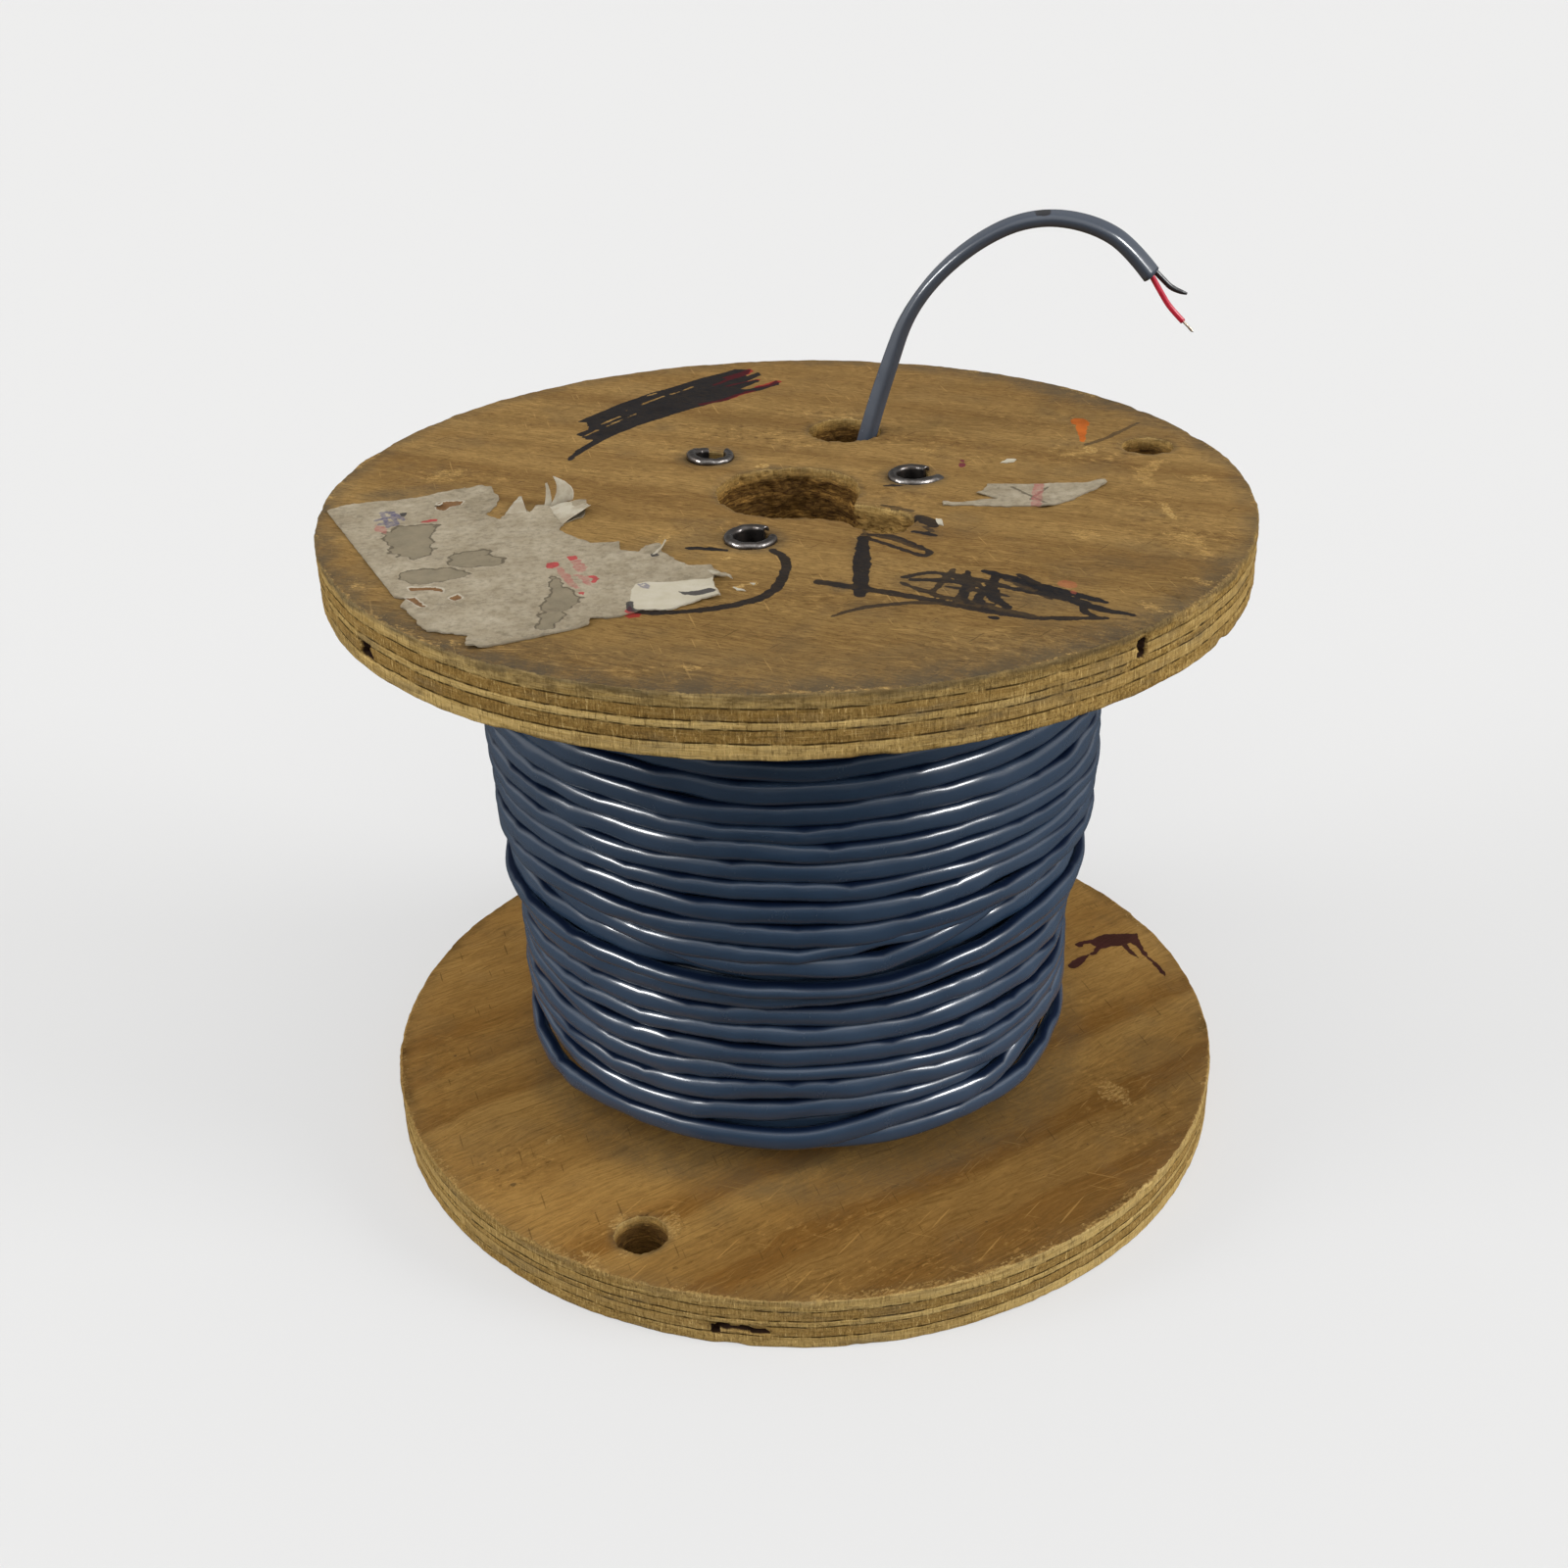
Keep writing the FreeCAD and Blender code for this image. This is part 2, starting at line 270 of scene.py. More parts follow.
# how the flat cable is turned along its length, from the flange to its cut end
psi = np.interp(s_tail / TAIL_LEN,
                [0.00, 0.13, 0.25, 0.36, 0.43, 0.52, 0.62, 0.74, 0.88, 1.0],
                [40.0, 42.0, 50.0, 68.0, 78.0, 66.0, 56.0, 48.0, 34.0, 26.0])
psi = np.convolve(np.pad(psi, 6, "edge"), np.ones(13) / 13, "valid")
cable_tail, tail_thick, tail_wide = flat_cable("cable_tail_jacket", tail_line, psi)
red_line = spline_points("red_line", RED_ROUTE, 10)
black_line = spline_points("black_line", BLACK_ROUTE, 10)
bare_line = spline_points("bare_line", BARE_ROUTE, 8)
red_core = round_wire("red_conductor_insulation", red_line, 0.975 * MM, 16)
sb = np.linspace(0, 1, len(black_line))
black_core = round_wire("black_conductor_insulation", black_line, 0.975 * MM, 16,
                        np.interp(sb, [0, 0.7, 0.9, 1.0], [1.0, 1.0, 0.8, 0.45]))


def strand_bundle(name, pts, n_strands=7, r_wire=0.15 * MM, r_lay=0.29 * MM):
    """Fine tinned wires twisted together, with their ends a little spread."""
    t = tangents(pts)
    up = np.array((0.1, 0.9, 0.3))
    a = np.cross(t, up)
    a /= np.linalg.norm(a, axis=1)[:, None]
    b = np.cross(t, a)
    s = np.linspace(0, 1, len(pts))
    vs, qs, ts, off = [], [], [], 0
    u = np.linspace(0, 2 * np.pi, 6, endpoint=False)
    for k in range(n_strands):
        ang = 2 * np.pi * k / (n_strands - 1) + 4.2 * s
        lay = 0.0 if k == n_strands - 1 else r_lay
        lay = lay * (1 + 0.9 * s ** 3 * (0.4 + 0.6 * ((k * 37) % 5) / 4))
        p = pts + a * (lay * np.cos(ang))[:, None] + b * (lay * np.sin(ang))[:, None]
        stop = len(p) - (k % 3)
        p = p[:stop]
        v, q, tr = sweep(name, p, a[:stop] * r_wire, b[:stop] * r_wire, np.cos(u), np.sin(u))
        q, tr = face_outward(v, q, tr, p, 6)
        vs.append(v); qs.append(q + off); ts.append(tr + off); off += len(v)
    return fast_mesh(name, np.vstack(vs), np.vstack(qs), np.vstack(ts))


bare_strands = strand_bundle("red_conductor_strands", bare_line)

# ------------------------------------------------------------------ the wound cable
# Lower edge of each turn that shows, as it is seen round the front of the reel:
# degrees round from the front, positive to the right, and height in mm.
EDGE = {
    "A": [(-60, 183.4), (-50, 183.2), (-40, 182.9), (-30, 182.5), (-20, 181.5), (-10, 179.8), (0, 179.3), (10, 179.3), (20, 180.2), (30, 179.8), (40, 179.5), (50, 179.1), (60, 178.6)],
    "B": [(-60, 174.8), (-50, 174.5), (-40, 174.3), (-30, 173.8), (-20, 173.2), (-10, 171.9), (0, 171.4), (10, 171.5), (20, 172.0), (30, 172.0), (40, 171.8), (50, 171.5), (60, 170.9)],
    "C": [(-60, 167.3), (-50, 167.0), (-40, 166.2), (-30, 165.8), (-20, 165.0), (-10, 164.2), (0, 163.8), (10, 164.0), (20, 164.0), (30, 164.0), (40, 163.2), (50, 162.6), (58, 162.9), (66, 161.0)],
    "D": [(-60, 160.8), (-45, 160.9), (-40, 160.2), (-30, 159.2), (-20, 159.0), (-10, 158.8), (0, 157.8), (10, 157.2), (20, 157.1), (30, 156.5), (40, 156.0), (50, 154.8), (57, 154.0), (62, 154.5), (70, 154.0)],
    "E": [(-60, 152.0), (-40, 152.2), (-30, 151.8), (-20, 151.4), (-10, 151.6), (0, 151.3), (10, 151.0), (20, 150.6), (30, 150.3), (40, 149.4), (50, 148.6), (60, 147.8), (70, 145.7)],
    "F": [(-68, 146.5), (-62, 145.0), (-50, 145.4), (-40, 145.8), (-30, 145.5), (-20, 144.9), (-10, 144.4), (0, 144.1), (10, 143.7), (20, 143.2), (30, 143.2), (40, 142.9), (50, 141.6), (58, 142.0), (68, 141.0)],
    "G": [(-68, 137.2), (-60, 137.8), (-50, 138.6), (-40, 139.8), (-30, 139.3), (-20, 138.3), (-10, 137.8), (0, 137.3), (10, 137.0), (20, 137.0), (30, 137.2), (40, 137.0), (50, 136.7), (60, 136.0), (70, 134.0)],
    "H": [(-70, 127.5), (-60, 129.3), (-50, 130.4), (-40, 130.8), (-30, 130.3), (-20, 129.4), (-10, 129.8), (0, 129.3), (10, 128.0), (20, 128.4), (30, 129.0), (40, 130.0), (50, 129.0), (60, 128.6), (70, 127.0)],
    "I": [(-66, 121.3), (-60, 121.6), (-50, 122.0), (-40, 121.9), (-30, 121.7), (-20, 121.6), (-10, 121.3), (0, 120.4), (10, 120.5), (20, 120.7), (30, 120.7), (40, 120.6), (50, 120.9), (60, 121.2), (68, 120.8)],
    "K": [(-66, 97.8), (-60, 97.7), (-50, 97.9), (-40, 98.0), (-30, 98.6), (-20, 98.6), (-10, 96.9), (0, 96.4), (10, 96.3), (20, 96.8), (30, 98.0), (40, 98.7), (50, 98.6), (60, 98.2), (70, 96.0)],
    "L": [(-70, 90.6), (-60, 90.4), (-50, 90.8), (-40, 91.3), (-30, 91.5), (-20, 92.0), (0, 92.2), (10, 92.8), (20, 94.0), (30, 95.1), (40, 94.9), (50, 94.4), (60, 93.0), (70, 89.7)],
    "M": [(-70, 81.7), (-60, 82.6), (-50, 84.0), (-40, 84.6), (-30, 85.3), (-10, 86.0), (0, 86.0), (10, 85.3), (20, 84.8), (30, 85.3), (40, 85.3), (50, 84.4), (60, 83.5), (70, 80.4)],
    "N": [(-66, 78.1), (-60, 78.2), (-50, 78.2), (-40, 78.6), (-30, 79.3), (-10, 79.5), (0, 78.9), (10, 78.2), (20, 77.3), (30, 77.1), (40, 76.6), (50, 75.5), (60, 74.2), (68, 73.0)],
    "O": [(-66, 70.6), (-60, 70.6), (-50, 69.4), (-40, 69.3), (-30, 70.6), (-20, 70.2), (0, 70.0), (10, 69.7), (20, 69.3), (30, 68.0), (40, 66.8), (50, 65.7), (60, 64.8)],
    "P": [(-66, 61.6), (-50, 61.7), (-40, 61.3), (-30, 61.0), (-20, 62.3), (-10, 64.8), (0, 65.0), (10, 64.4), (20, 63.5), (30, 62.1), (40, 60.8), (50, 59.6), (60, 58.6)],
    "Q": [(-66, 55.2), (-55, 55.0), (-50, 55.0), (-40, 53.7), (-30, 53.4), (-20, 55.0), (-10, 56.4), (0, 57.3), (10, 56.6), (20, 55.9), (30, 55.0), (40, 53.0), (50, 51.4), (60, 51.0)],
    "R": [(-68, 53.3), (-60, 49.7), (-55, 46.8), (-50, 45.6), (-40, 44.8), (-30, 44.8), (-20, 45.6), (-10, 47.2), (0, 48.8), (10, 49.7), (20, 50.1), (30, 48.9), (40, 49.0), (50, 50.6), (60, 50.6)],
}
REACH = 106.3      # outside of the last layer
REACH_LOW = 99.4   # outside of the layer below it
CAM_Y, CAM_Z = 598.0, 447.5


def seen_radius(z):
    return np.where(z > 112, 106.0, np.where(z < 100, 99.3, 99.3 + (z - 100) / 12 * 6.7))


def true_height(theta, z, reach):
    """From where an edge is seen to where it is, for a turn whose outside is at that radius."""
    th = np.radians(theta)
    tan_e = (CAM_Z - z) / np.hypot(reach * np.sin(th), CAM_Y - reach * np.cos(th))
    return z + (reach - seen_radius(z)) * tan_e - 0.95


def edge_at(name, theta, reach):
    pts = EDGE[name]
    z = np.interp(theta, [p[0] for p in pts], [p[1] for p in pts])
    z = true_height(theta, z, reach)
    k = np.array([1, 2, 3, 2, 1.0]); k /= k.sum()
    return np.convolve(np.pad(z, 2, "edge"), k, "valid")


STEP = 1.5                                   # degrees between rings
FRONT = np.arange(-66, 66 + STEP / 2, STEP)  # part of a turn that the tables describe
FULL = 360.0
N_FRONT = len(FRONT)
BACK = np.arange(66 + STEP, 294 - STEP / 2, STEP)


def chain(edges, reaches, z_end=None):
    """One continuous run: the tables give each turn's front, and the back joins one turn to the next.
    Returns degrees from the first front, lower edge and outside radius."""
    th, z, r = [], [], []
    fronts = [edge_at(e, FRONT, np.max(rc)) if isinstance(e, str) else e for e, rc in zip(edges, reaches)]
    for k, (f, rc) in enumerate(zip(fronts, reaches)):
        rr = rc if np.ndim(rc) else np.full(N_FRONT, float(rc))
        th.append(FRONT + FULL * k)
        z.append(f)
        r.append(rr)
        if k + 1 < len(fronts):
            nxt = fronts[k + 1]
            r2 = reaches[k + 1] if np.ndim(reaches[k + 1]) else np.full(N_FRONT, float(reaches[k + 1]))
            t = (BACK - 66.0) / (294.0 - 66.0)
            s0 = np.clip((f[-1] - f[-6]) / (5 * STEP), -0.05, 0.05) * 228
            s1 = np.clip((nxt[5] - nxt[0]) / (5 * STEP), -0.05, 0.05) * 228
            h00, h10 = 2 * t ** 3 - 3 * t ** 2 + 1, t ** 3 - 2 * t ** 2 + t
            h01, h11 = -2 * t ** 3 + 3 * t ** 2, t ** 3 - t ** 2
            zz = h00 * f[-1] + h10 * s0 * 0.5 + h01 * nxt[0] + h11 * s1 * 0.5
            wob = np.sin(np.pi * t) ** 0.7
            zz = zz + wob * 0.75 * vnoise(BACK / 34.0 + 3.1 * k, 0.5 + k * 0.83, 0.0, 11)
            th.append(BACK + FULL * k)
            z.append(zz)
            r.append(rr[-1] + (r2[0] - rr[-1]) * smooth(0.1, 0.9, t))
    return np.concatenate(th), np.concatenate(z), np.concatenate(r)


def heights(th, z, first):
    """Height that each point of a run has up to the turn above it."""
    above = np.interp(th - FULL, th, z)
    gap = above - z
    gap = np.where(th - FULL < th[0], first, gap)
    return gap


def build_run(name, th, z, reach, height, seed, n_sec=20, groove=0.035, tilt_amp=6.0, tilt=None,
              roomy=None, still=False):
    """Mesh of one run of cable from its lower edge, outside radius and height."""
    k = np.array([1, 2, 3, 3, 2, 1.0]); k /= k.sum()
    height = np.convolve(np.pad(height, (3, 2), "edge"), k, "valid")
    h = np.clip(height + 0.38, 5.2, 8.0 if roomy is None else np.where(roomy, 8.8, 8.0))
    a = np.radians(th)
    arc = a * 100.0
    calm = np.where(th < 14, 0.0, 1.0) * smooth(14, 40, th) if still else 1.0
    calm = np.where(th > 330, 1 - smooth(330, 342, th) * (1 - smooth(366, 380, th)), calm) if still else calm
    z = z + calm * (0.45 * vnoise(arc / 21.0, seed, 0.3, seed) + 0.20 * vnoise(arc / 8.5, seed, 0.7, seed + 5))
    # small kinks, where the cable was bent before it was wound
    kink = np.abs(vnoise(arc / 17.0, seed + 0.2, 0.6, seed + 31)) - 0.25
    kink2 = np.abs(vnoise(arc / 13.0, seed + 0.9, 0.2, seed + 37)) - 0.25
    z = z + calm * 0.75 * kink
    half_h = h / 2
    half_t = 2.75 + np.clip(7.2 - h, 0, 3) * 0.18
    tl = 1.9 * tilt_amp * vnoise(arc / 31.0, seed + 0.4, 0.1, seed + 9) + 6.5 * vnoise(arc / 12.5, seed, 0.9, seed + 3)
    tl = tl + 20.0 * kink2 + 12.0 * kink
    # a turn squeezed for room leans over, one with room to spare lies flat
    tl = tl + np.clip(7.2 - h, 0, 2.5) * 4.0 * np.sign(vnoise(arc / 160.0, seed + 2.4, 0.0, seed + 1))
    tl = tl - 7.0
    if tilt is not None:
        tl = tl + tilt
    tl = tl * calm if still else tl
    r_out = reach + calm * (0.62 * vnoise(arc / 24.0, seed + 1.7, 0.2, seed + 13) + 0.26 * vnoise(arc / 10.0, seed, 0.4, seed + 23))
    rc = r_out - half_t
    zc = z + half_h
    pts = np.stack([rc * np.sin(a), -rc * np.cos(a), zc], -1) * MM
    rad = np.stack([np.sin(a), -np.cos(a), np.zeros_like(a)], -1)
    t = tangents(pts)
    rad = rad - t * (rad * t).sum(-1)[:, None]
    rad /= np.linalg.norm(rad, axis=1)[:, None]
    up = np.cross(rad, t)
    up *= np.sign(up[:, 2])[:, None]
    c, s = np.cos(np.radians(tl))[:, None], np.sin(np.radians(tl))[:, None]
    ax = (rad * c + up * s) * (half_t * MM)[:, None]
    ay = (up * c - rad * s) * (half_h * MM)[:, None]
    sx, sy = section(n_sec, 2.2, groove)
    verts, quads, tris = sweep(name, pts, ax, ay, sx, sy)
    quads, tris = face_outward(verts, quads, tris, pts, n_sec)
    return verts, quads, tris


def join_runs(name, runs):
    vs, qs, ts, off = [], [], [], 0
    for v, q, t in runs:
        vs.append(v); qs.append(q + off); ts.append(t + off)
        off += len(v)
    o = fast_mesh(name, np.vstack(vs), np.vstack(qs), np.vstack(ts))
    # deep is 1 along each turn's upper and lower edges, where it meets the next turn, and 0.6 at the end caps; the
    # jacket is painted near-black there, painted shade in the grooves between turns
    deep = []
    for v, q, t in runs:
        m = abs(int(q[0][0]) - int(q[0][3]))
        side = np.abs(np.sin(np.linspace(0, 2 * np.pi, m, endpoint=False) + np.pi / m))
        deep.append(np.r_[np.tile(smooth(0.73, 1.0, side), (len(v) - 2) // m), 0.6, 0.6])
    deep = np.concatenate(deep)
    set_colour(o, "deep", np.column_stack([deep, deep, deep, np.ones(len(deep))]))
    return o


PITCH = 7.05
A0 = edge_at("A", FRONT, REACH)
TOP = 211.0 - 0.15
hidden = [np.minimum(A0 + PITCH * k - 0.15 * k, TOP - 7.3) for k in (3.85, 3, 2, 1)]
under = np.clip(edge_at("I", FRONT, REACH) - 8.3, 0, None)
# the turn after the last whole one of the outer layer sinks behind it on the left and swings out in the middle
t13_z = np.interp(FRONT, [-66, -60, -48, -38, -30, -20, -10, 0, 10, 20, 30, 40, 50, 66],
                  [112.6, 112.9, 113.6, 114.3, 115.1, 113.8, 114.2, 114.6, 116.1, 117.7, 118.6, 119.0, 118.2, 114.0])
t13_r = np.interp(FRONT, [-66, -50, -38, -30, -20, 20, 34, 46, 66], [99.6, 100.4, 103.2, 105.4, 106.0, 105.9, 105.0, 101.4, 100.6])
up_edges = hidden + ["A", "B", "C", "D", "E", "F", "G", "H", "I", t13_z]
up_reach = [REACH] * 13 + [t13_r]
th_u, z_u, r_u = chain(up_edges, up_reach)
h_u = heights(th_u, z_u, 7.2)
# the outer layer leans out a little at the right and in at the left
r_u = r_u + 1.1 * np.exp(-((np.mod(th_u + 180, 360) - 180 - 74) / 34.0) ** 2) * np.exp(-((z_u - 140) / 14.0) ** 2) \
    - 1.5 * np.exp(-((np.mod(th_u + 180, 360) - 180 + 78) / 30.0) ** 2) * smooth(165, 128, z_u)
runs_u = [build_run("u", th_u, z_u, r_u, h_u, 3)]

cable_upper = join_runs("cable_winding_outer_layer", runs_u)

# the run goes on below it: a slack turn that hangs out of the step and goes back behind it, one more that
# stays behind the step, and then the turns of the layer below, the first of them standing out over the step
S_z = np.interp(FRONT, [-66, -52, -40, -30, -20, -10, 0, 10, 20, 30, 40, 50, 66],
                [110.4, 111.5, 112.5, 112.6, 111.6, 109.6, 107.6, 106.6, 109.3, 113.6, 116.2, 117.4, 114.0])
S_z = np.convolve(np.pad(S_z, 4, "edge"), np.ones(9) / 9, "valid")
S_r = np.interp(FRONT, [-66, -52, -38, -26, -14, 0, 24, 36, 46, 66], [96.0, 97.0, 99.5, 103.2, 105.0, 105.6, 105.4, 103.6, 101.0, 101.4])
S_r = np.convolve(np.pad(S_r, 4, "edge"), np.ones(9) / 9, "valid")
F_z = np.interp(FRONT, [-66, -40, -20, 0, 20, 40, 66], [106.4, 106.2, 104.6, 100.8, 103.4, 107.6, 107.4])
F_r = np.interp(FRONT, [-66, -40, -20, 20, 40, 66], [101.2, 100.8, 98.0, 98.0, 101.2, 101.8])
K_r = np.interp(FRONT, [-66, -40, 0, 40, 66], [103.4, 103.7, 103.8, 104.2, 104.2])
L_r = np.interp(FRONT, [-66, -20, 0, 20, 66], [100.2, 100.4, 100.2, 101.0, 102.2])
R_r = np.interp(FRONT, [-66, 20, 34, 44, 66], [99.4, 99.4, 99.0, 97.4, 95.6])
lo_edges = [S_z, F_z, "K", "L", "M", "N", "O", "P", "Q", "R"]
lo_reach = [S_r, F_r, K_r, L_r, 99.6, 99.4, 99.4, 99.4, 99.4, R_r]
th_l, z_l, r_l = chain(lo_edges, lo_reach)
h_l = heights(th_l, z_l, 6.4)
h_l = np.where(th_l < 70, np.interp(th_l, [-66, -52, -30, -20, -10, 0, 10, 20, 30, 40, 70], [6.0, 6.0, 5.6, 5.6, 6.2, 7.0, 7.4, 7.2, 6.0, 5.8, 6.8]), h_l)
h_l = np.where((th_l > 290) & (th_l < 435), 7.6, h_l)
wide = ((th_l > 650) & (th_l < 790))
tilt_l = np.interp(th_l, [-70, 560, 640, 700, 740, 800, 860], [0, 0, -9, -11, -12, -8, 0])
runs_l = [build_run("l", th_l, z_l, r_l, np.where(wide, h_l + 0.7, h_l), 57, tilt=tilt_l, roomy=wide)]


def loose(th0, th1, zk, rk, hk, seed, smooth_n=9, **kw):
    th = np.arange(th0, th1 + STEP / 2, STEP)
    out = []
    for tab in (zk, rk, hk):
        v = np.interp(th, [p[0] for p in tab], [p[1] for p in tab])
        out.append(np.convolve(np.pad(v, smooth_n // 2, "edge"), np.ones(smooth_n) / smooth_n, "valid"))
    return build_run("x", th, out[0], out[1], out[2], seed, **kw)


# last turns next to the lower flange: one crosses up over the other at the front right
runs_l.append(loose(-24, 434,
                    [(-24, 36.0), (-10, 36.1), (0, 35.7), (6, 35.3), (12, 34.6), (20, 33.7), (30, 34.0), (40, 32.8), (50, 31.5), (60, 32.0),
                     (120, 32.4), (180, 33.0), (240, 32.6), (300, 32.8), (310, 33.7), (320, 35.0), (330, 35.5), (340, 36.0), (350, 35.8), (360, 35.4),
                     (366, 36.9), (372, 39.3), (380, 41.2), (390, 40.6), (400, 40.6), (405, 41.2), (410, 44.4), (414, 47.0), (417, 49.2), (421, 50.4), (434, 50.8)],
                    [(-24, 98.9), (-8, 99.1), (14, 99.3), (24, 99.6), (300, 99.6), (370, 100.2), (402, 100.6), (412, 99.8), (420, 98.6), (434, 95.5)],
                    [(-24, 6.4), (10, 6.6), (24, 7.3), (300, 7.6), (350, 7.6), (366, 7.6), (380, 7.9), (400, 7.9), (434, 7.0)], 91, smooth_n=7, tilt_amp=4.0, still=True))
runs_l.append(loose(58, 306, [(58, 44.6), (90, 42.2), (180, 41.4), (270, 42.4), (306, 44.4)],
                    [(58, 94.6), (84, 98.0), (110, 99.3), (250, 99.3), (276, 98.0), (306, 94.6)],
                    [(58, 7.0), (306, 7.0)], 97))
cable_lower = join_runs("cable_winding_lower_layer", runs_l)

# the layers inside, seen through the gaps; only the innermost ones reach down to the lower flange
# each starts by coming out from behind the layer inside it, so that no cut end shows
th_i = np.arange(-192, 360 * 26.6, 4.0)
z_i = 31.6 + np.maximum(th_i, 0) / 360 * 7.08 + 0.4 * smooth(0, -30, th_i)
r_i = 93.4 + 6.4 * smooth(116, 124, z_i) - 3.2 * smooth(0, -25, th_i) - 7.0 * smooth(-120, -190, th_i)
keep = z_i < 211 - 7.5
th_i, z_i, r_i = th_i[keep], z_i[keep], r_i[keep]
vi = build_run("i", th_i, z_i, r_i, np.full(len(th_i), 7.0), 41, n_sec=12, tilt_amp=3.0)
th_j = np.arange(-200, 360 * 2.4, 4.0)
vj = build_run("j", th_j, 20.3 + np.maximum(th_j, 0) / 360 * 7.05, 74.4 - 7.0 * smooth(-140, -200, th_j), np.full(len(th_j), 7.0), 43, n_sec=12, tilt_amp=3.0)
th_m = np.arange(0, 360 * 1.9, 4.0)
tuck = 6.6 * smooth(56, 0, th_m)
vm = build_run("m", th_m + 140, 26.2 + th_m / 360 * 7.05, 80.6 - tuck, np.full(len(th_m), 6.6), 47, n_sec=12, tilt_amp=4.0)
vo = build_run("o", th_m + 250, 29.6 + th_m / 360 * 7.05, 87.0 - tuck, np.full(len(th_m), 6.6), 49, n_sec=12, tilt_amp=4.0)
cable_inner = join_runs("cable_winding_inner_layers", [vi, vj, vm, vo])

# ------------------------------------------------------------------ marks on the boards
# Distances are in millimetres and negative inside a mark.
def line_gap(x, y, pts):
    """Distance to a polyline, and how far along it the nearest point is, 0 to 1."""
    best = np.full(np.shape(x), 1e9)
    along = np.zeros(np.shape(x))
    seg = [math.dist(a, b) for a, b in zip(pts[:-1], pts[1:])]
    tot, run = sum(seg), 0.0
    for (ax, ay), (bx, by), ln in zip(pts[:-1], pts[1:], seg):
        dx, dy = bx - ax, by - ay
        t = np.clip(((x - ax) * dx + (y - ay) * dy) / (ln * ln + 1e-12), 0, 1)
        d = np.hypot(x - ax - t * dx, y - ay - t * dy)
        m = d < best
        best = np.where(m, d, best)
        along = np.where(m, (run + t * ln) / tot, along)
        run += ln
    return best, along


def inside(x, y, poly):
    c = np.zeros(np.shape(x), bool)
    n = len(poly)
    for i in range(n):
        x1, y1 = poly[i]
        x2, y2 = poly[(i + 1) % n]
        if y1 == y2:
            continue
        hit = ((y1 > y) != (y2 > y)) & (x < (x2 - x1) * (y - y1) / (y2 - y1) + x1)
        c ^= hit
    return c


def area_gap(x, y, poly):
    d, _ = line_gap(x, y, list(poly) + [poly[0]])
    return np.where(inside(x, y, poly), -d, d)


def spot_gap(x, y, cx, cy, rx, ry=None, turn=0.0):
    ry = rx if ry is None else ry
    c, s = math.cos(math.radians(turn)), math.sin(math.radians(turn))
    u = (x - cx) * c + (y - cy) * s
    v = -(x - cx) * s + (y - cy) * c
    return (np.hypot(u / rx, v / ry) - 1) * min(rx, ry)


def curve(pts, n=6):
    """Rounds a given line off by inserting points along a Catmull-Rom curve."""
    p = [np.array(q, float) for q in pts]
    p = [2 * p[0] - p[1]] + p + [2 * p[-1] - p[-2]]
    out = []
    for i in range(1, len(p) - 2):
        for k in range(n):
            t = k / n
            out.append(tuple(0.5 * ((2 * p[i]) + (p[i + 1] - p[i - 1]) * t
                                    + (2 * p[i - 1] - 5 * p[i] + 4 * p[i + 1] - p[i + 2]) * t * t
                                    + (3 * p[i] - p[i - 1] - 3 * p[i + 1] + p[i + 2]) * t ** 3)))
    out.append(tuple(p[-2]))
    return out


HATCH = ((-18, 141.5), (-30, 131), (-40, 121.5), (-50, 112), (-60, 101), (-67, 91), (-72.5, 84), (-75, 79.5),
         (-72, 78), (-70, 70), (-74, 65), (-72, 61.5), (-70, 58.5), (-68, 57.5), (-73, 46), (-75.5, 36.5), (-74, 36),
         (-69, 48), (-64, 57), (-58, 66), (-53, 73), (-45, 80), (-35, 90.5), (-28, 96.5), (-20, 101), (-16, 107),
         (-8, 113), (-1, 119.5), (-0.5, 122), (-2, 125.5), (-5, 120), (-13, 115), (-16, 114.5), (-8, 124.5), (-10, 127),
         (-15, 123), (-8, 133), (-9, 136), (-14, 131), (-11.6, 140.8))
SLITS = (((-34, 119), (-42, 110)), ((-45, 108), (-58, 91)), ((-54.5, 87), (-64, 73)), ((-67, 69), (-71, 62.5)),
         ((-48, 112), (-51, 109)), ((-60, 84), (-66, 75.5)))
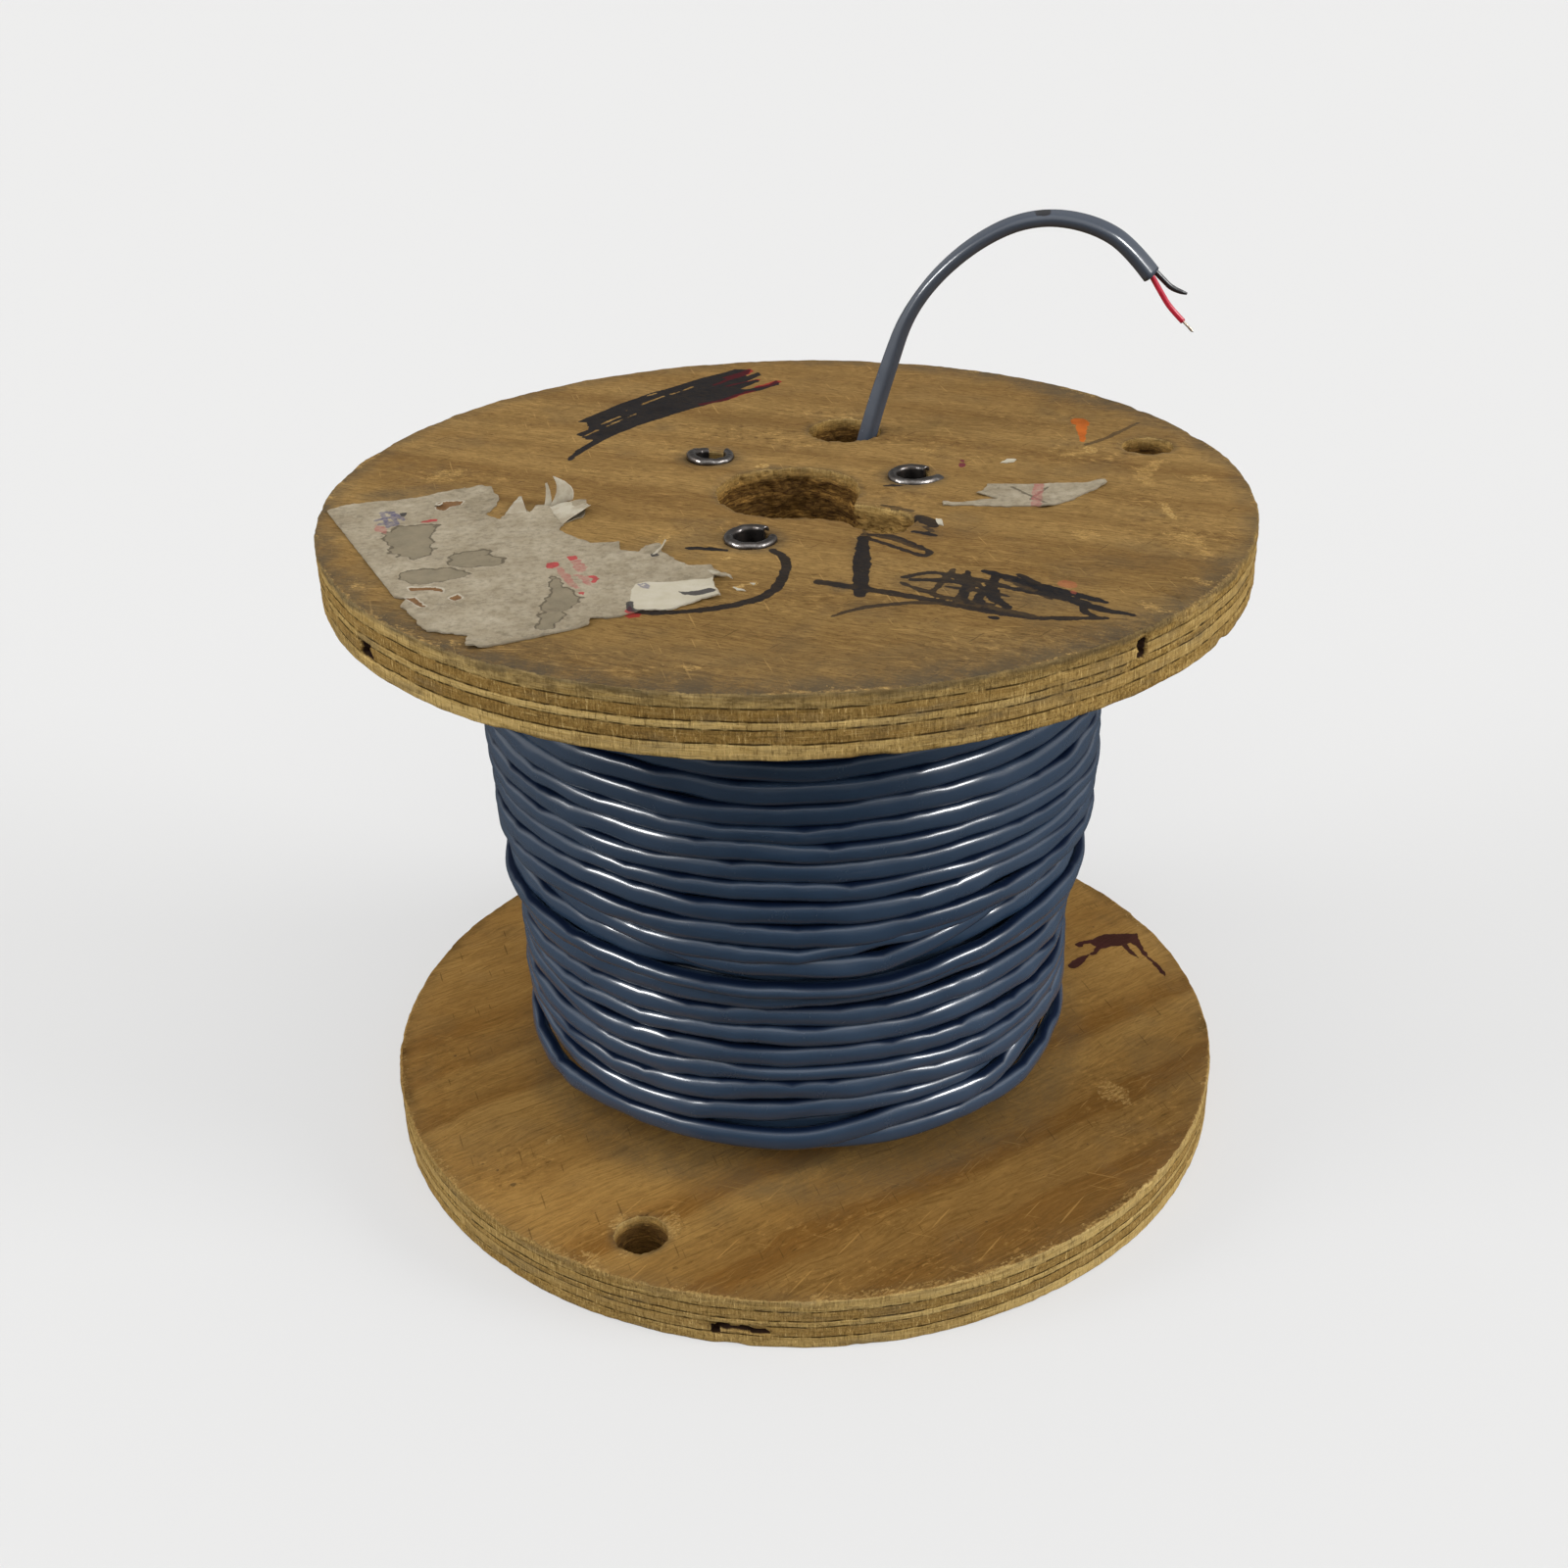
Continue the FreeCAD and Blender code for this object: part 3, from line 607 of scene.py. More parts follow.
# pen lines: points, half width at the start, middle and end, and how black
STROKES = (
    ([(-30, -48.5), (-25, -49.3), (-19, -51)], 1.0, 1.1, 0.8, 0.95),
    ([(-4.5, -52), (-1.6, -57), (-0.6, -64), (-2, -75), (-6, -86), (-15, -93), (-30, -97.5), (-44, -97), (-46, -91)], 1.2, 1.6, 0.9, 0.92),
    ([(23.5, -43), (22.6, -58), (21.4, -74), (20.4, -88)], 1.5, 2.3, 1.7, 0.93),
    ([(9, -78), (22, -84), (36, -91), (52, -100), (62, -105), (70, -108), (88, -109)], 1.5, 1.5, 1.0, 0.9),
    ([(12, -103), (18, -99), (25, -96.5), (38, -95), (52, -98), (60, -102), (68, -107)], 0.6, 1.2, 1.3, 0.8),
    ([(23.5, -40.5), (31.9, -42.4), (38, -49), (42.6, -55.5), (41.4, -59.4), (36.5, -55.4), (30, -48.8), (24, -43)], 0.8, 1.0, 0.8, 0.9),
    ([(25, -41.4), (33, -45.5), (40.5, -54.5)], 0.5, 0.9, 0.4, 0.8),
    ([(34, -76), (42, -73), (50, -76), (60, -82), (66, -88)], 0.9, 1.3, 0.8, 0.9),
    ([(33, -80), (40, -88), (50, -95), (58, -98)], 0.7, 1.0, 0.9, 0.85),
    ([(49, -71), (45, -80), (41, -87), (36, -83)], 0.8, 1.1, 0.6, 0.85),
    ([(53, -73), (52, -82), (50, -93), (54, -101)], 0.9, 1.4, 1.0, 0.92),
    ([(56, -80), (51, -88), (47, -95)], 0.7, 1.1, 0.7, 0.85),
    ([(46, -84), (56, -88), (63, -92)], 0.7, 1.2, 0.7, 0.85),
    ([(57, -87), (54, -94), (56, -101), (60, -104)], 0.9, 1.6, 1.0, 0.92),
    ([(58, -73), (66, -79), (74, -88), (82, -96)], 1.1, 1.5, 1.0, 0.95),
    ([(68, -76), (72, -83), (79, -93)], 0.9, 1.4, 0.8, 0.92),
    ([(58, -83), (68, -88), (76, -93), (84, -98), (83, -103), (85, -108)], 0.8, 1.4, 1.0, 0.92),
    ([(64, -80), (70, -88), (75, -95)], 0.6, 0.9, 0.6, 0.8),
    ([(46, -75), (52, -80), (58, -88)], 0.8, 1.3, 0.9, 0.9),
    ([(61, -77), (58.6, -86), (59, -94), (62, -100)], 1.0, 2.0, 1.0, 0.93),
    ([(36, -78), (46, -79.5), (55, -83)], 0.8, 1.5, 0.8, 0.9),
    ([(60, -74), (70, -83), (80, -90), (90, -98)], 1.1, 1.8, 1.0, 0.95),
    ([(80, -96), (88, -103), (96, -107.5)], 1.0, 1.7, 0.8, 0.93),
    ([(42.2, -26.5), (44.2, -30.0), (46.2, -34.6)], 1.5, 2.4, 1.5, 0.88),
    ([(39.6, -39.2), (42.4, -40.8), (45.8, -42.8)], 0.8, 1.1, 0.8, 0.92),
    ([(43.0, -35.5), (45.4, -39.5)], 0.6, 0.8, 0.5, 0.7),
    ([(31.0, -15.2), (35.5, -18.0), (40.2, -21.4)], 0.5, 1.0, 0.7, 0.7),
    ([(33, 2.8), (36, 2.6), (38.5, 2.3)], 0.7, 0.9, 0.5, 0.9),
    ([(56.4, -106.8), (57.6, -107.4)], 0.9, 1.0, 0.9, 0.95),
    ([(24, -36), (24.5, -40), (23.5, -43)], 0.4, 0.6, 0.8, 0.6),
    # the dark scratch beside the drive hole
    ([(127.5, 62.5), (121, 55), (113, 46), (105, 39.5)], 0.5, 0.9, 0.8, 0.62),
)
RED_MARKS = (
    ("area", ((-24, 130), (-19, 134), (-15, 138), (-12.5, 141.5), (-10.5, 138), (-13, 133.5), (-19, 128))),
    ("line", [(-26, 121), (-20, 128), (-14, 135)], 0.8),
    ("line", [(-30, 96.5), (-22, 101.5), (-16, 108), (-11, 112)], 1.2),
    ("line", [(-9, 117), (-4.5, 120), (-1.5, 123.5)], 1.6),
    ("line", [(-21, 119), (-14, 124), (-9, 127)], 0.6),
    ("area", ((-47.5, -97.5), (-44.5, -97.2), (-41.5, -98), (-43, -101), (-46, -101.5))),
)


def ink_value(d):
    """0.5 on the mark's edge, rising inwards by half per millimetre."""
    return np.clip(0.5 - 0.5 * d, 0, 1)


def top_marks(x, y):
    """Weights of every mark on the upper flange's top face."""
    wob = 0.35 * vnoise(x / 2.1, y / 2.1, 0.0, 301) + 0.25 * vnoise(x / 0.9, y / 0.9, 0.0, 302)
    block = area_gap(x, y, HATCH)
    for s in SLITS:
        d, t = line_gap(x, y, list(s))
        block = np.maximum(block, (0.42 + 0.25 * vnoise(x / 3, y / 3, 0, 5)) - d)
    # frayed at the ends along the direction it was hatched in
    u = (x + y * 1.2) / 1.56
    v = (x * 1.2 - y) / 1.56
    fray = smooth(0.0, 1.0, 1 - np.abs(np.clip((y - 90) / 56, -1, 1))) * 0.2 + 0.9
    block = block + fray * 0.55 * vnoise(u / 9.0, v / 1.15, 0.0, 77)
    ink = block
    black = np.where(block < 1.5, 0.95, 0.0)
    for pts, w0, w1, w2, k in STROKES:
        c = curve(pts)
        d, t = line_gap(x, y, c)
        w = 1.18 * np.interp(t, [0, 0.5, 1], [w0, w1, w2])
        d = d - w + wob * 0.9
        black = np.where(d < ink, np.where(d < 2, k, black), black)
        ink = np.minimum(ink, d)
    red = np.full(np.shape(x), 50.0)
    for mk in RED_MARKS:
        if mk[0] == "area":
            red = np.minimum(red, area_gap(x, y, mk[1]))
        else:
            d, t = line_gap(x, y, curve(mk[1]))
            red = np.minimum(red, d - mk[2])
    red = red + wob
    # soft grey smudge, kept apart from the pen lines
    smudge = smooth(5.0, 1.0, np.hypot((x - 15) * 1.1, (y + 82) * 0.75)) * 0.9
    smudge = np.maximum(smudge, 0.5 * smooth(4, 0, line_gap(x, y, [(22, -45), (21, -88)])[0]))
    smudge = np.maximum(smudge, 0.45 * smooth(9, 0, line_gap(x, y, [(34, -80), (60, -92), (84, -100)])[0]))
    smudge = np.maximum(smudge, 0.55 * smooth(7, 0, line_gap(x, y, [(38, -24), (46, -42)])[0]))
    orange = np.minimum(spot_gap(x, y, 106.6, 65.0, 3.4, 4.2), line_gap(x, y, [(107, 62), (105.5, 52), (104.5, 43)])[0]
                        - np.interp(y, [42, 52, 62], [0.8, 1.5, 2.3])) + wob
    purple = np.minimum(spot_gap(x, y, 60.2, 21.5, 1.2, 2.6, -15), spot_gap(x, y, 60.8, 26.0, 0.9, 1.2)) + wob * 0.7
    pink = np.minimum(spot_gap(x, y, 81, -84, 2.6, 3.4, 20), spot_gap(x, y, 82, -90, 0.8, 2.4)) + wob
    return ink, black, red, smudge, orange, purple, pink


SCUFFS = ((-115, 25, 7, 4, 20), (-112, 19, 3.5, 2.2, 0), (-66, 25, 5, 1.8, -20), (121, 12, 8, 4.5, 70), (119, 0, 4, 2.2, 90), (126, 20, 3, 2, 0),
          (123, -51, 3.5, 8, 10), (118, -45, 4, 3, 0), (126, -62, 2.5, 5, 10), (92, -45, 4.5, 3.5, 0), (98, 30, 3, 2.4, 30), (105, 33, 2.4, 2, 0),
          (121, -28, 1.6, 9, 0), (138, 3, 5, 3, 0), (-4, 61, 4, 1.6, 10), (10, 47, 5, 1.6, 0), (52, 37, 5, 1.6, -25), (118, -82, 4, 2, -40), (104, -103, 5, 2.4, -45),
          (-92, -116, 5, 1.8, -35), (-128, -72, 4, 2, -60), (-146, -30, 3.5, 1.5, -80), (-38, -40, 2.4, 4, 0), (-30, -134, 7, 1.6, -12))
# bruised stretches: place, half sizes, turn and how bad
TOP_BRUISES = ((-6, 57, 34, 9, -22, 1.0), (14, 84, 22, 5, -5, 0.8), (44, 50, 32, 9, -24, 0.8), (-34, 42, 14, 9, 0, 0.7), (70, 28, 24, 7, -25, 0.6),
               (104, 30, 22, 12, 10, 0.9), (30, -8, 16, 14, -40, 0.7), (-20, -34, 16, 12, 0, 0.6), (120, -40, 16, 34, 10, 0.7), (10, -92, 40, 12, -5, 0.5),
               (-60, 20, 22, 8, -25, 0.5), (-112, 22, 20, 9, 0, 0.8), (60, -128, 40, 10, 20, 0.8), (-60, -128, 40, 8, -20, 0.7), (98, 66, 24, 10, -30, 0.6),
               (52, -72, 34, 18, -20, 0.4), (-90, 88, 30, 12, 40, 0.4))
LOW_BRUISES = ((-55, -118, 18, 9, 20, 0.8), (-104, -86, 18, 12, 30, 0.6), (30, -138, 50, 8, 12, 0.5), (115, -60, 20, 30, 20, 0.4), (-130, -40, 10, 34, 10, 0.4),
               (0, -118, 40, 8, 10, 0.4))


def bruises(x, y, table, seed):
    n = fbm(x / 8.0, y / 8.0, 0.0, seed, 3)
    out = np.zeros(np.shape(x))
    for cx, cy, rx, ry, tu, k in table:
        out = np.maximum(out, k * smooth(3.5, -4.0, spot_gap(x, y, cx, cy, rx, ry, tu) + 6.0 * n))
    return np.maximum(out, 0.25 * smooth(0.05, 0.5, n))


def ring_gap(x, y, x0, y0, r):
    return np.hypot(x - x0, y - y0) - r


def top_wear(x, y):
    """Grime, bright scuffs and light chips of the upper flange's top."""
    r = np.hypot(x, y)
    ang = np.degrees(np.arctan2(y, x))
    edge = 152.4 - r
    n = fbm(x / 14.0, y / 14.0, 0.0, 211, 4)
    n2 = fbm(x / 5.0, y / 5.0, 0.0, 212, 4)
    amount = np.interp(ang, [-180, -150, -128, -110, -90, -60, -48, -25, -8, 10, 35, 62, 90, 120, 160, 180],
                       [0.9, 0.95, 1.0, 0.95, 0.9, 0.9, 0.85, 0.7, 0.6, 0.65, 0.95, 0.9, 0.5, 0.45, 0.7, 0.9])
    width = np.interp(ang, [-180, -150, -120, -100, -70, -40, 0, 40, 60, 90, 150, 180],
                      [8, 10, 13, 17, 17, 13, 8, 16, 17, 9, 8, 8])
    grime = amount * smooth(width * (1.25 + 0.9 * n), 0, edge + 3.5 * n2)
    # worn round the holes
    grime = np.maximum(grime, 0.75 * smooth(6 + 4 * n2, 0.0, np.maximum(ring_gap(x, y, 0, 0, 22.2), 0)) * smooth(-30, 5, x + y))
    grime = np.maximum(grime, 0.5 * smooth(4 + 3 * n2, 0.0, np.maximum(ring_gap(x, y, 0, 0, 22.2), 0)))
    for (cx, cy) in ((-25.6, 35.4), (42.6, 11.0), (-11.4, -43.0)):
        grime = np.maximum(grime, 0.55 * smooth(5.0 + 2 * n2, 0.5, np.maximum(ring_gap(x, y, cx, cy, 8.6), 0)))
    grime = np.maximum(grime, 0.5 * smooth(4.0 + 2 * n2, 0.0, np.maximum(ring_gap(x, y, 22.3, 63.1, 12.7), 0)))
    grime = np.maximum(grime, 0.45 * smooth(4.5 + 2 * n2, 0.0, np.maximum(ring_gap(x, y, 126.2, 37.4, 8.75), 0)))
    # bluish-grey glue stain beside the label, smears above it
    grime = np.maximum(grime, 0.62 * smooth(2.2, -2.4, spot_gap(x, y, -126, 7, 17, 6.0, 12) + 2.8 * n2))
    grime = np.maximum(grime, 0.3 * smooth(14, 0, line_gap(x, y, [(-120, -95), (-60, -125), (0, -135), (60, -125)])[0] + 6 * n))
    grime = np.maximum(grime, 0.28 * smooth(0.0, 0.6, n) * smooth(-200, -20, -y))
    scuff = np.zeros(np.shape(x))
    for cx, cy, rx, ry, tu in SCUFFS:
        d = spot_gap(x, y, cx, cy, rx, ry, tu)
        scuff = np.maximum(scuff, smooth(2.2, -2.5, d + 3.2 * n2))
    # bright worn edge at the rim in stretches
    band = smooth(2.2 + 1.6 * n2, 0.2, edge) * smooth(-0.25, 0.3, vnoise(ang / 7.0, 0.0, 0.0, 91) + 0.3 * n2)
    scuff = np.maximum(scuff, band * 0.9)
    chip = np.zeros(np.shape(x))
    for cx, cy, rx, ry, tu in ((23.5, 76.4, 3.6, 1.7, 10), (106, 34.5, 2.2, 3.6, 25), (121.5, -30, 1.2, 9.0, 4), (-7, 26, 3, 2, 0),
                               (76, 24.5, 3.0, 1.6, 5), (48, -32, 1.1, 3.0, 0), (-18.5, -57.0, 1.4, 1.0, 0), (-15, -80, 2.2, 0.9, 30),
                               (-10.5, -77.5, 1.2, 0.8, 0), (-119, 23, 2.5, 1.2, 30)):
        chip = np.maximum(chip, smooth(0.6, -0.6, spot_gap(x, y, cx, cy, rx, ry, tu) + 0.8 * n2))
    return grime, scuff, chip


SPLATTER = ((119.6, 46.7), (121.9, 49.5), (125.7, 51.5), (131.0, 51.6), (134.9, 51.1), (137.2, 50.9), (139.6, 52.1), (138.9, 47.0),
            (135.2, 45.1), (132.2, 42.5), (127.5, 42.2), (124.1, 41.1), (122.2, 41.8), (119.8, 43.7))
SPLATTER_ARM = ((119.8, 47.6), (115.3, 46.3), (112.8, 44.6), (113.7, 42.2), (115.7, 42.1), (116.3, 44.3), (119.4, 44.9))


def low_marks(x, y):
    """Dark red paint that splashed on the lower flange, and small dark specks."""
    wob = 0.45 * vnoise(x / 2.3, y / 2.3, 0.0, 401) + 0.2 * vnoise(x / 0.9, y / 0.9, 0.0, 402)
    p = np.minimum(area_gap(x, y, SPLATTER), area_gap(x, y, SPLATTER_ARM))
    for pts, ws in (([(122.2, 41.8), (120.0, 38.3), (116.8, 36.4), (113.4, 33.4), (109.8, 29.0)], (1.2, 0.8, 1.0, 1.9, 2.2)),
                    ([(137.3, 45.9), (138.4, 40.5), (140.1, 33.9), (141.8, 30.4), (144.8, 20.6)], (1.9, 1.1, 0.5, 0.9, 0.5)),
                    ([(132.8, 42.5), (133.8, 38.9), (136.2, 33.6)], (1.2, 0.9, 0.4))):
        d, t = line_gap(x, y, pts)
        p = np.minimum(p, d - np.interp(t, np.linspace(0, 1, len(ws)), ws))
    p = np.minimum(p, spot_gap(x, y, 122.0, 56.5, 0.8))
    speck = np.full(np.shape(x), 50.0)
    for cx, cy, r in ((-109.7, -82.4, 0.5), (-104.3, -86.1, 0.45), (-98.1, -93.6, 1.0), (-99.6, -91.5, 0.5), (-113.3, -78.2, 0.4),
                      (-105.7, -95.9, 0.3), (60.0, -118.0, 0.4), (99.0, -80.0, 0.4), (-128.0, -20.0, 0.5)):
        speck = np.minimum(speck, np.hypot(x - cx, y - cy) - r)
    return p + wob, speck + wob * 0.5


def low_wear_and_shade(x, y):
    r = np.hypot(x, y)
    ang = np.degrees(np.arctan2(y, x))
    edge = 152.4 - r
    n = fbm(x / 16.0, y / 16.0, 0.0, 231, 4)
    n2 = fbm(x / 5.0, y / 5.0, 0.0, 232, 4)
    grime = 0.28 * smooth(10 + 9 * n, 0, edge)
    grime = np.maximum(grime, 0.5 * smooth(3.5 + 2 * n2, 0.0, np.maximum(ring_gap(x, y, -55.6, -119.6, 8.75), 0)))
    # darker round the foot of the cable: painted shade where the winding stands over the board
    grime = np.maximum(grime, 0.5 * smooth(14 + 8 * n, 0, r - 99.5))
    grime = np.maximum(grime, 0.2 * smooth(0.05, 0.5, n))
    scuff = np.zeros(np.shape(x))
    for cx, cy, rx, ry, tu in ((-63, -115, 3, 4, 0), (-50, -114, 4, 2.5, 30), (-46, -117, 2.5, 5, 0), (-60, -128, 4, 1.5, 20),
                               (-84, -127, 6, 2.5, -40), (-70, -131, 5, 2.5, -30), (20, -150, 22, 2.5, 8), (110, -52, 4, 6, 20), (-88, -70, 3, 1.2, 40)):
        scuff = np.maximum(scuff, smooth(2.0, -1.5, spot_gap(x, y, cx, cy, rx, ry, tu) + 2.6 * n2))
    band = smooth(2.6 + 1.6 * n2, 0.2, edge) * smooth(-0.35, 0.2, vnoise(ang / 8.0, 0.0, 0.0, 93) + 0.3 * n2)
    scuff = np.maximum(scuff, band)
    return grime, scuff

# ------------------------------------------------------------------ plywood flanges
R_BOARD = 152.4
PLY = (0.0, 4.8, 8.6, 11.1, 15.2, 20.0)     # joints between the plies, down from the upper face
TIE_AT = ((-25.6, 35.4), (42.6, 11.0), (-11.4, -43.0))
N_RIM = 1120


def circle_loop(cx, cy, r, step):
    n = max(24, int(round(2 * math.pi * r / step)))
    a = np.arange(n) * 2 * np.pi / n
    nrm = np.stack([np.cos(a), np.sin(a)], -1)
    return np.array((cx, cy)) + nrm * r, nrm


KEY_HOLE = ((24.8, 1.3), (22.0, 11.4), (15.4, 19.4), (6.5, 23.1), (-2.2, 22.9), (-9.2, 21.6), (-16.9, 16.6), (-21.2, 8.2), (-22.5, -2.0),
            (-20.6, -9.6), (-15.4, -16.8), (-8.6, -21.6), (-0.1, -23.6), (8.8, -25.2), (17.2, -28.2), (22.2, -33.8), (26.8, -38.0),
            (33.3, -39.2), (37.8, -36.0), (40.2, -29.2), (38.9, -22.8), (30.8, -17.4), (23.2, -13.4), (22.6, -12.0), (23.8, -6.0))


def key_loop(step):
    """Outline of the arbor hole and its slot as they are worn, anticlockwise, and directions into the wood."""
    p = np.array(curve(list(KEY_HOLE) + [KEY_HOLE[0]], 12))[:-1]
    d = np.r_[0, np.cumsum(np.hypot(*(np.roll(p, -1, 0) - p).T))]
    n = int(round(d[-1] / step))
    s = np.linspace(0, d[-1], n, endpoint=False)
    q = np.vstack([p, p[:1]])
    pts = np.column_stack([np.interp(s, d, q[:, 0]), np.interp(s, d, q[:, 1])])
    t = np.roll(pts, -1, 0) - np.roll(pts, 1, 0)
    nrm = np.stack([t[:, 1], -t[:, 0]], -1)
    return pts, nrm / np.linalg.norm(nrm, axis=1)[:, None]


def hex_points(step, r_max, seed):
    ny = int(2 * r_max / (step * 0.866)) + 2
    nx = int(2 * r_max / step) + 2
    j, i = np.meshgrid(np.arange(ny), np.arange(nx), indexing="ij")
    x = -r_max + (i + 0.5 * (j % 2)) * step
    y = -r_max + j * step * 0.866
    x = x + (vhash(i, j, 0 * i, seed) - 0.5) * step * 0.45
    y = y + (vhash(i, j, 0 * i, seed + 1) - 0.5) * step * 0.45
    return np.stack([x.ravel(), y.ravel()], -1)


def fill_face(outer, loops, level, sizes, seed):
    """Triangles over the face between the outer loop and the holes' loops. level(x, y) picks
    which of the sizes is wanted where."""
    pts = [outer] + [l for l in loops]
    n_fixed = sum(len(p) for p in pts)
    extra = []
    r_out = np.hypot(outer[:, 0], outer[:, 1]).min()
    near = np.vstack(loops) if loops else np.zeros((0, 2))
    for lev, sp in enumerate(sizes):
        p = hex_points(sp, r_out, seed + 7 * lev)
        r = np.hypot(p[:, 0], p[:, 1])
        p = p[r < r_out - 0.75 * max(sp, 0.9)]
        lv = level(p[:, 0], p[:, 1])
        p = p[lv == lev]
        for l in loops:
            c = l.mean(0)
            m = np.hypot(p[:, 0] - c[0], p[:, 1] - c[1]) < np.hypot(l[:, 0] - c[0], l[:, 1] - c[1]).max() + 4
            q = p[m]
            if len(q):
                g = area_gap(q[:, 0], q[:, 1], [tuple(t) for t in l])
                ok = g > 0.6 * sp
                p = np.vstack([p[~m], q[ok]])
        extra.append(p)
    allp = np.vstack(pts + extra)
    edges, off = [], 0
    for p in pts:
        n = len(p)
        edges += [(off + i, off + (i + 1) % n) for i in range(n)]
        off += n
    res = delaunay_2d_cdt([Vector(p) for p in allp], edges, [], 0, 1e-7)
    v2 = np.array([v[:] for v in res[0]])
    tri = np.array([f for f in res[2] if len(f) == 3], np.int64)
    # give every triangle its place back in the list that went in
    orig = np.array([o[0] if len(o) else -1 for o in res[3]])
    assert (orig >= 0).all() and len(orig) == len(allp)
    tri = orig[tri]
    c = allp[tri].mean(1)
    ok = ~(((tri < len(outer)).all(1)) & (np.hypot(c[:, 0], c[:, 1]) > r_out * 0.9999) & False)
    keep = np.ones(len(tri), bool)
    for l in loops:
        keep &= ~inside(c[:, 0], c[:, 1], [tuple(t) for t in l])
    out_gap = np.hypot(c[:, 0], c[:, 1]) > r_out - 0.5
    if out_gap.any():
        io = inside(c[out_gap, 0], c[out_gap, 1], [tuple(t) for t in outer])
        k2 = np.ones(len(tri), bool)
        k2[np.where(out_gap)[0]] = io
        keep &= k2
    a, b, d = allp[tri[:, 0]], allp[tri[:, 1]], allp[tri[:, 2]]
    area = (b[:, 0] - a[:, 0]) * (d[:, 1] - a[:, 1]) - (b[:, 1] - a[:, 1]) * (d[:, 0] - a[:, 0])
    keep &= np.abs(area) > 1e-9
    tri = np.where((area > 0)[:, None], tri, tri[:, ::-1])
    return allp, tri[keep], n_fixed


def grid_faces(n_ring, n_loop, ids):
    """Quads between successive closed rings; ids[r, i] are the point numbers."""
    a = ids[:-1]
    b = ids[1:]
    a2, b2 = np.roll(a, -1, 1), np.roll(b, -1, 1)
    return np.stack([a, b, b2, a2], -1).reshape(-1, 4)


def ply_end(nx, ny, grain_deg, depth):
    """How much end grain a vertical face shows at that depth, 0 to 1."""
    g = math.radians(grain_deg)
    along = np.abs(nx * math.cos(g) + ny * math.sin(g))
    layer = np.digitize(depth, PLY[1:-1])
    odd = (layer % 2) == 1
    return np.where(odd, np.sqrt(np.clip(1 - along ** 2, 0, 1)), along)


def ply_wave(ang_mm, z_sign, seed):
    return 0.28 * vnoise(ang_mm / 26.0, 0.0, z_sign, seed) + 0.12 * vnoise(ang_mm / 8.0, 0.0, z_sign, seed + 1)


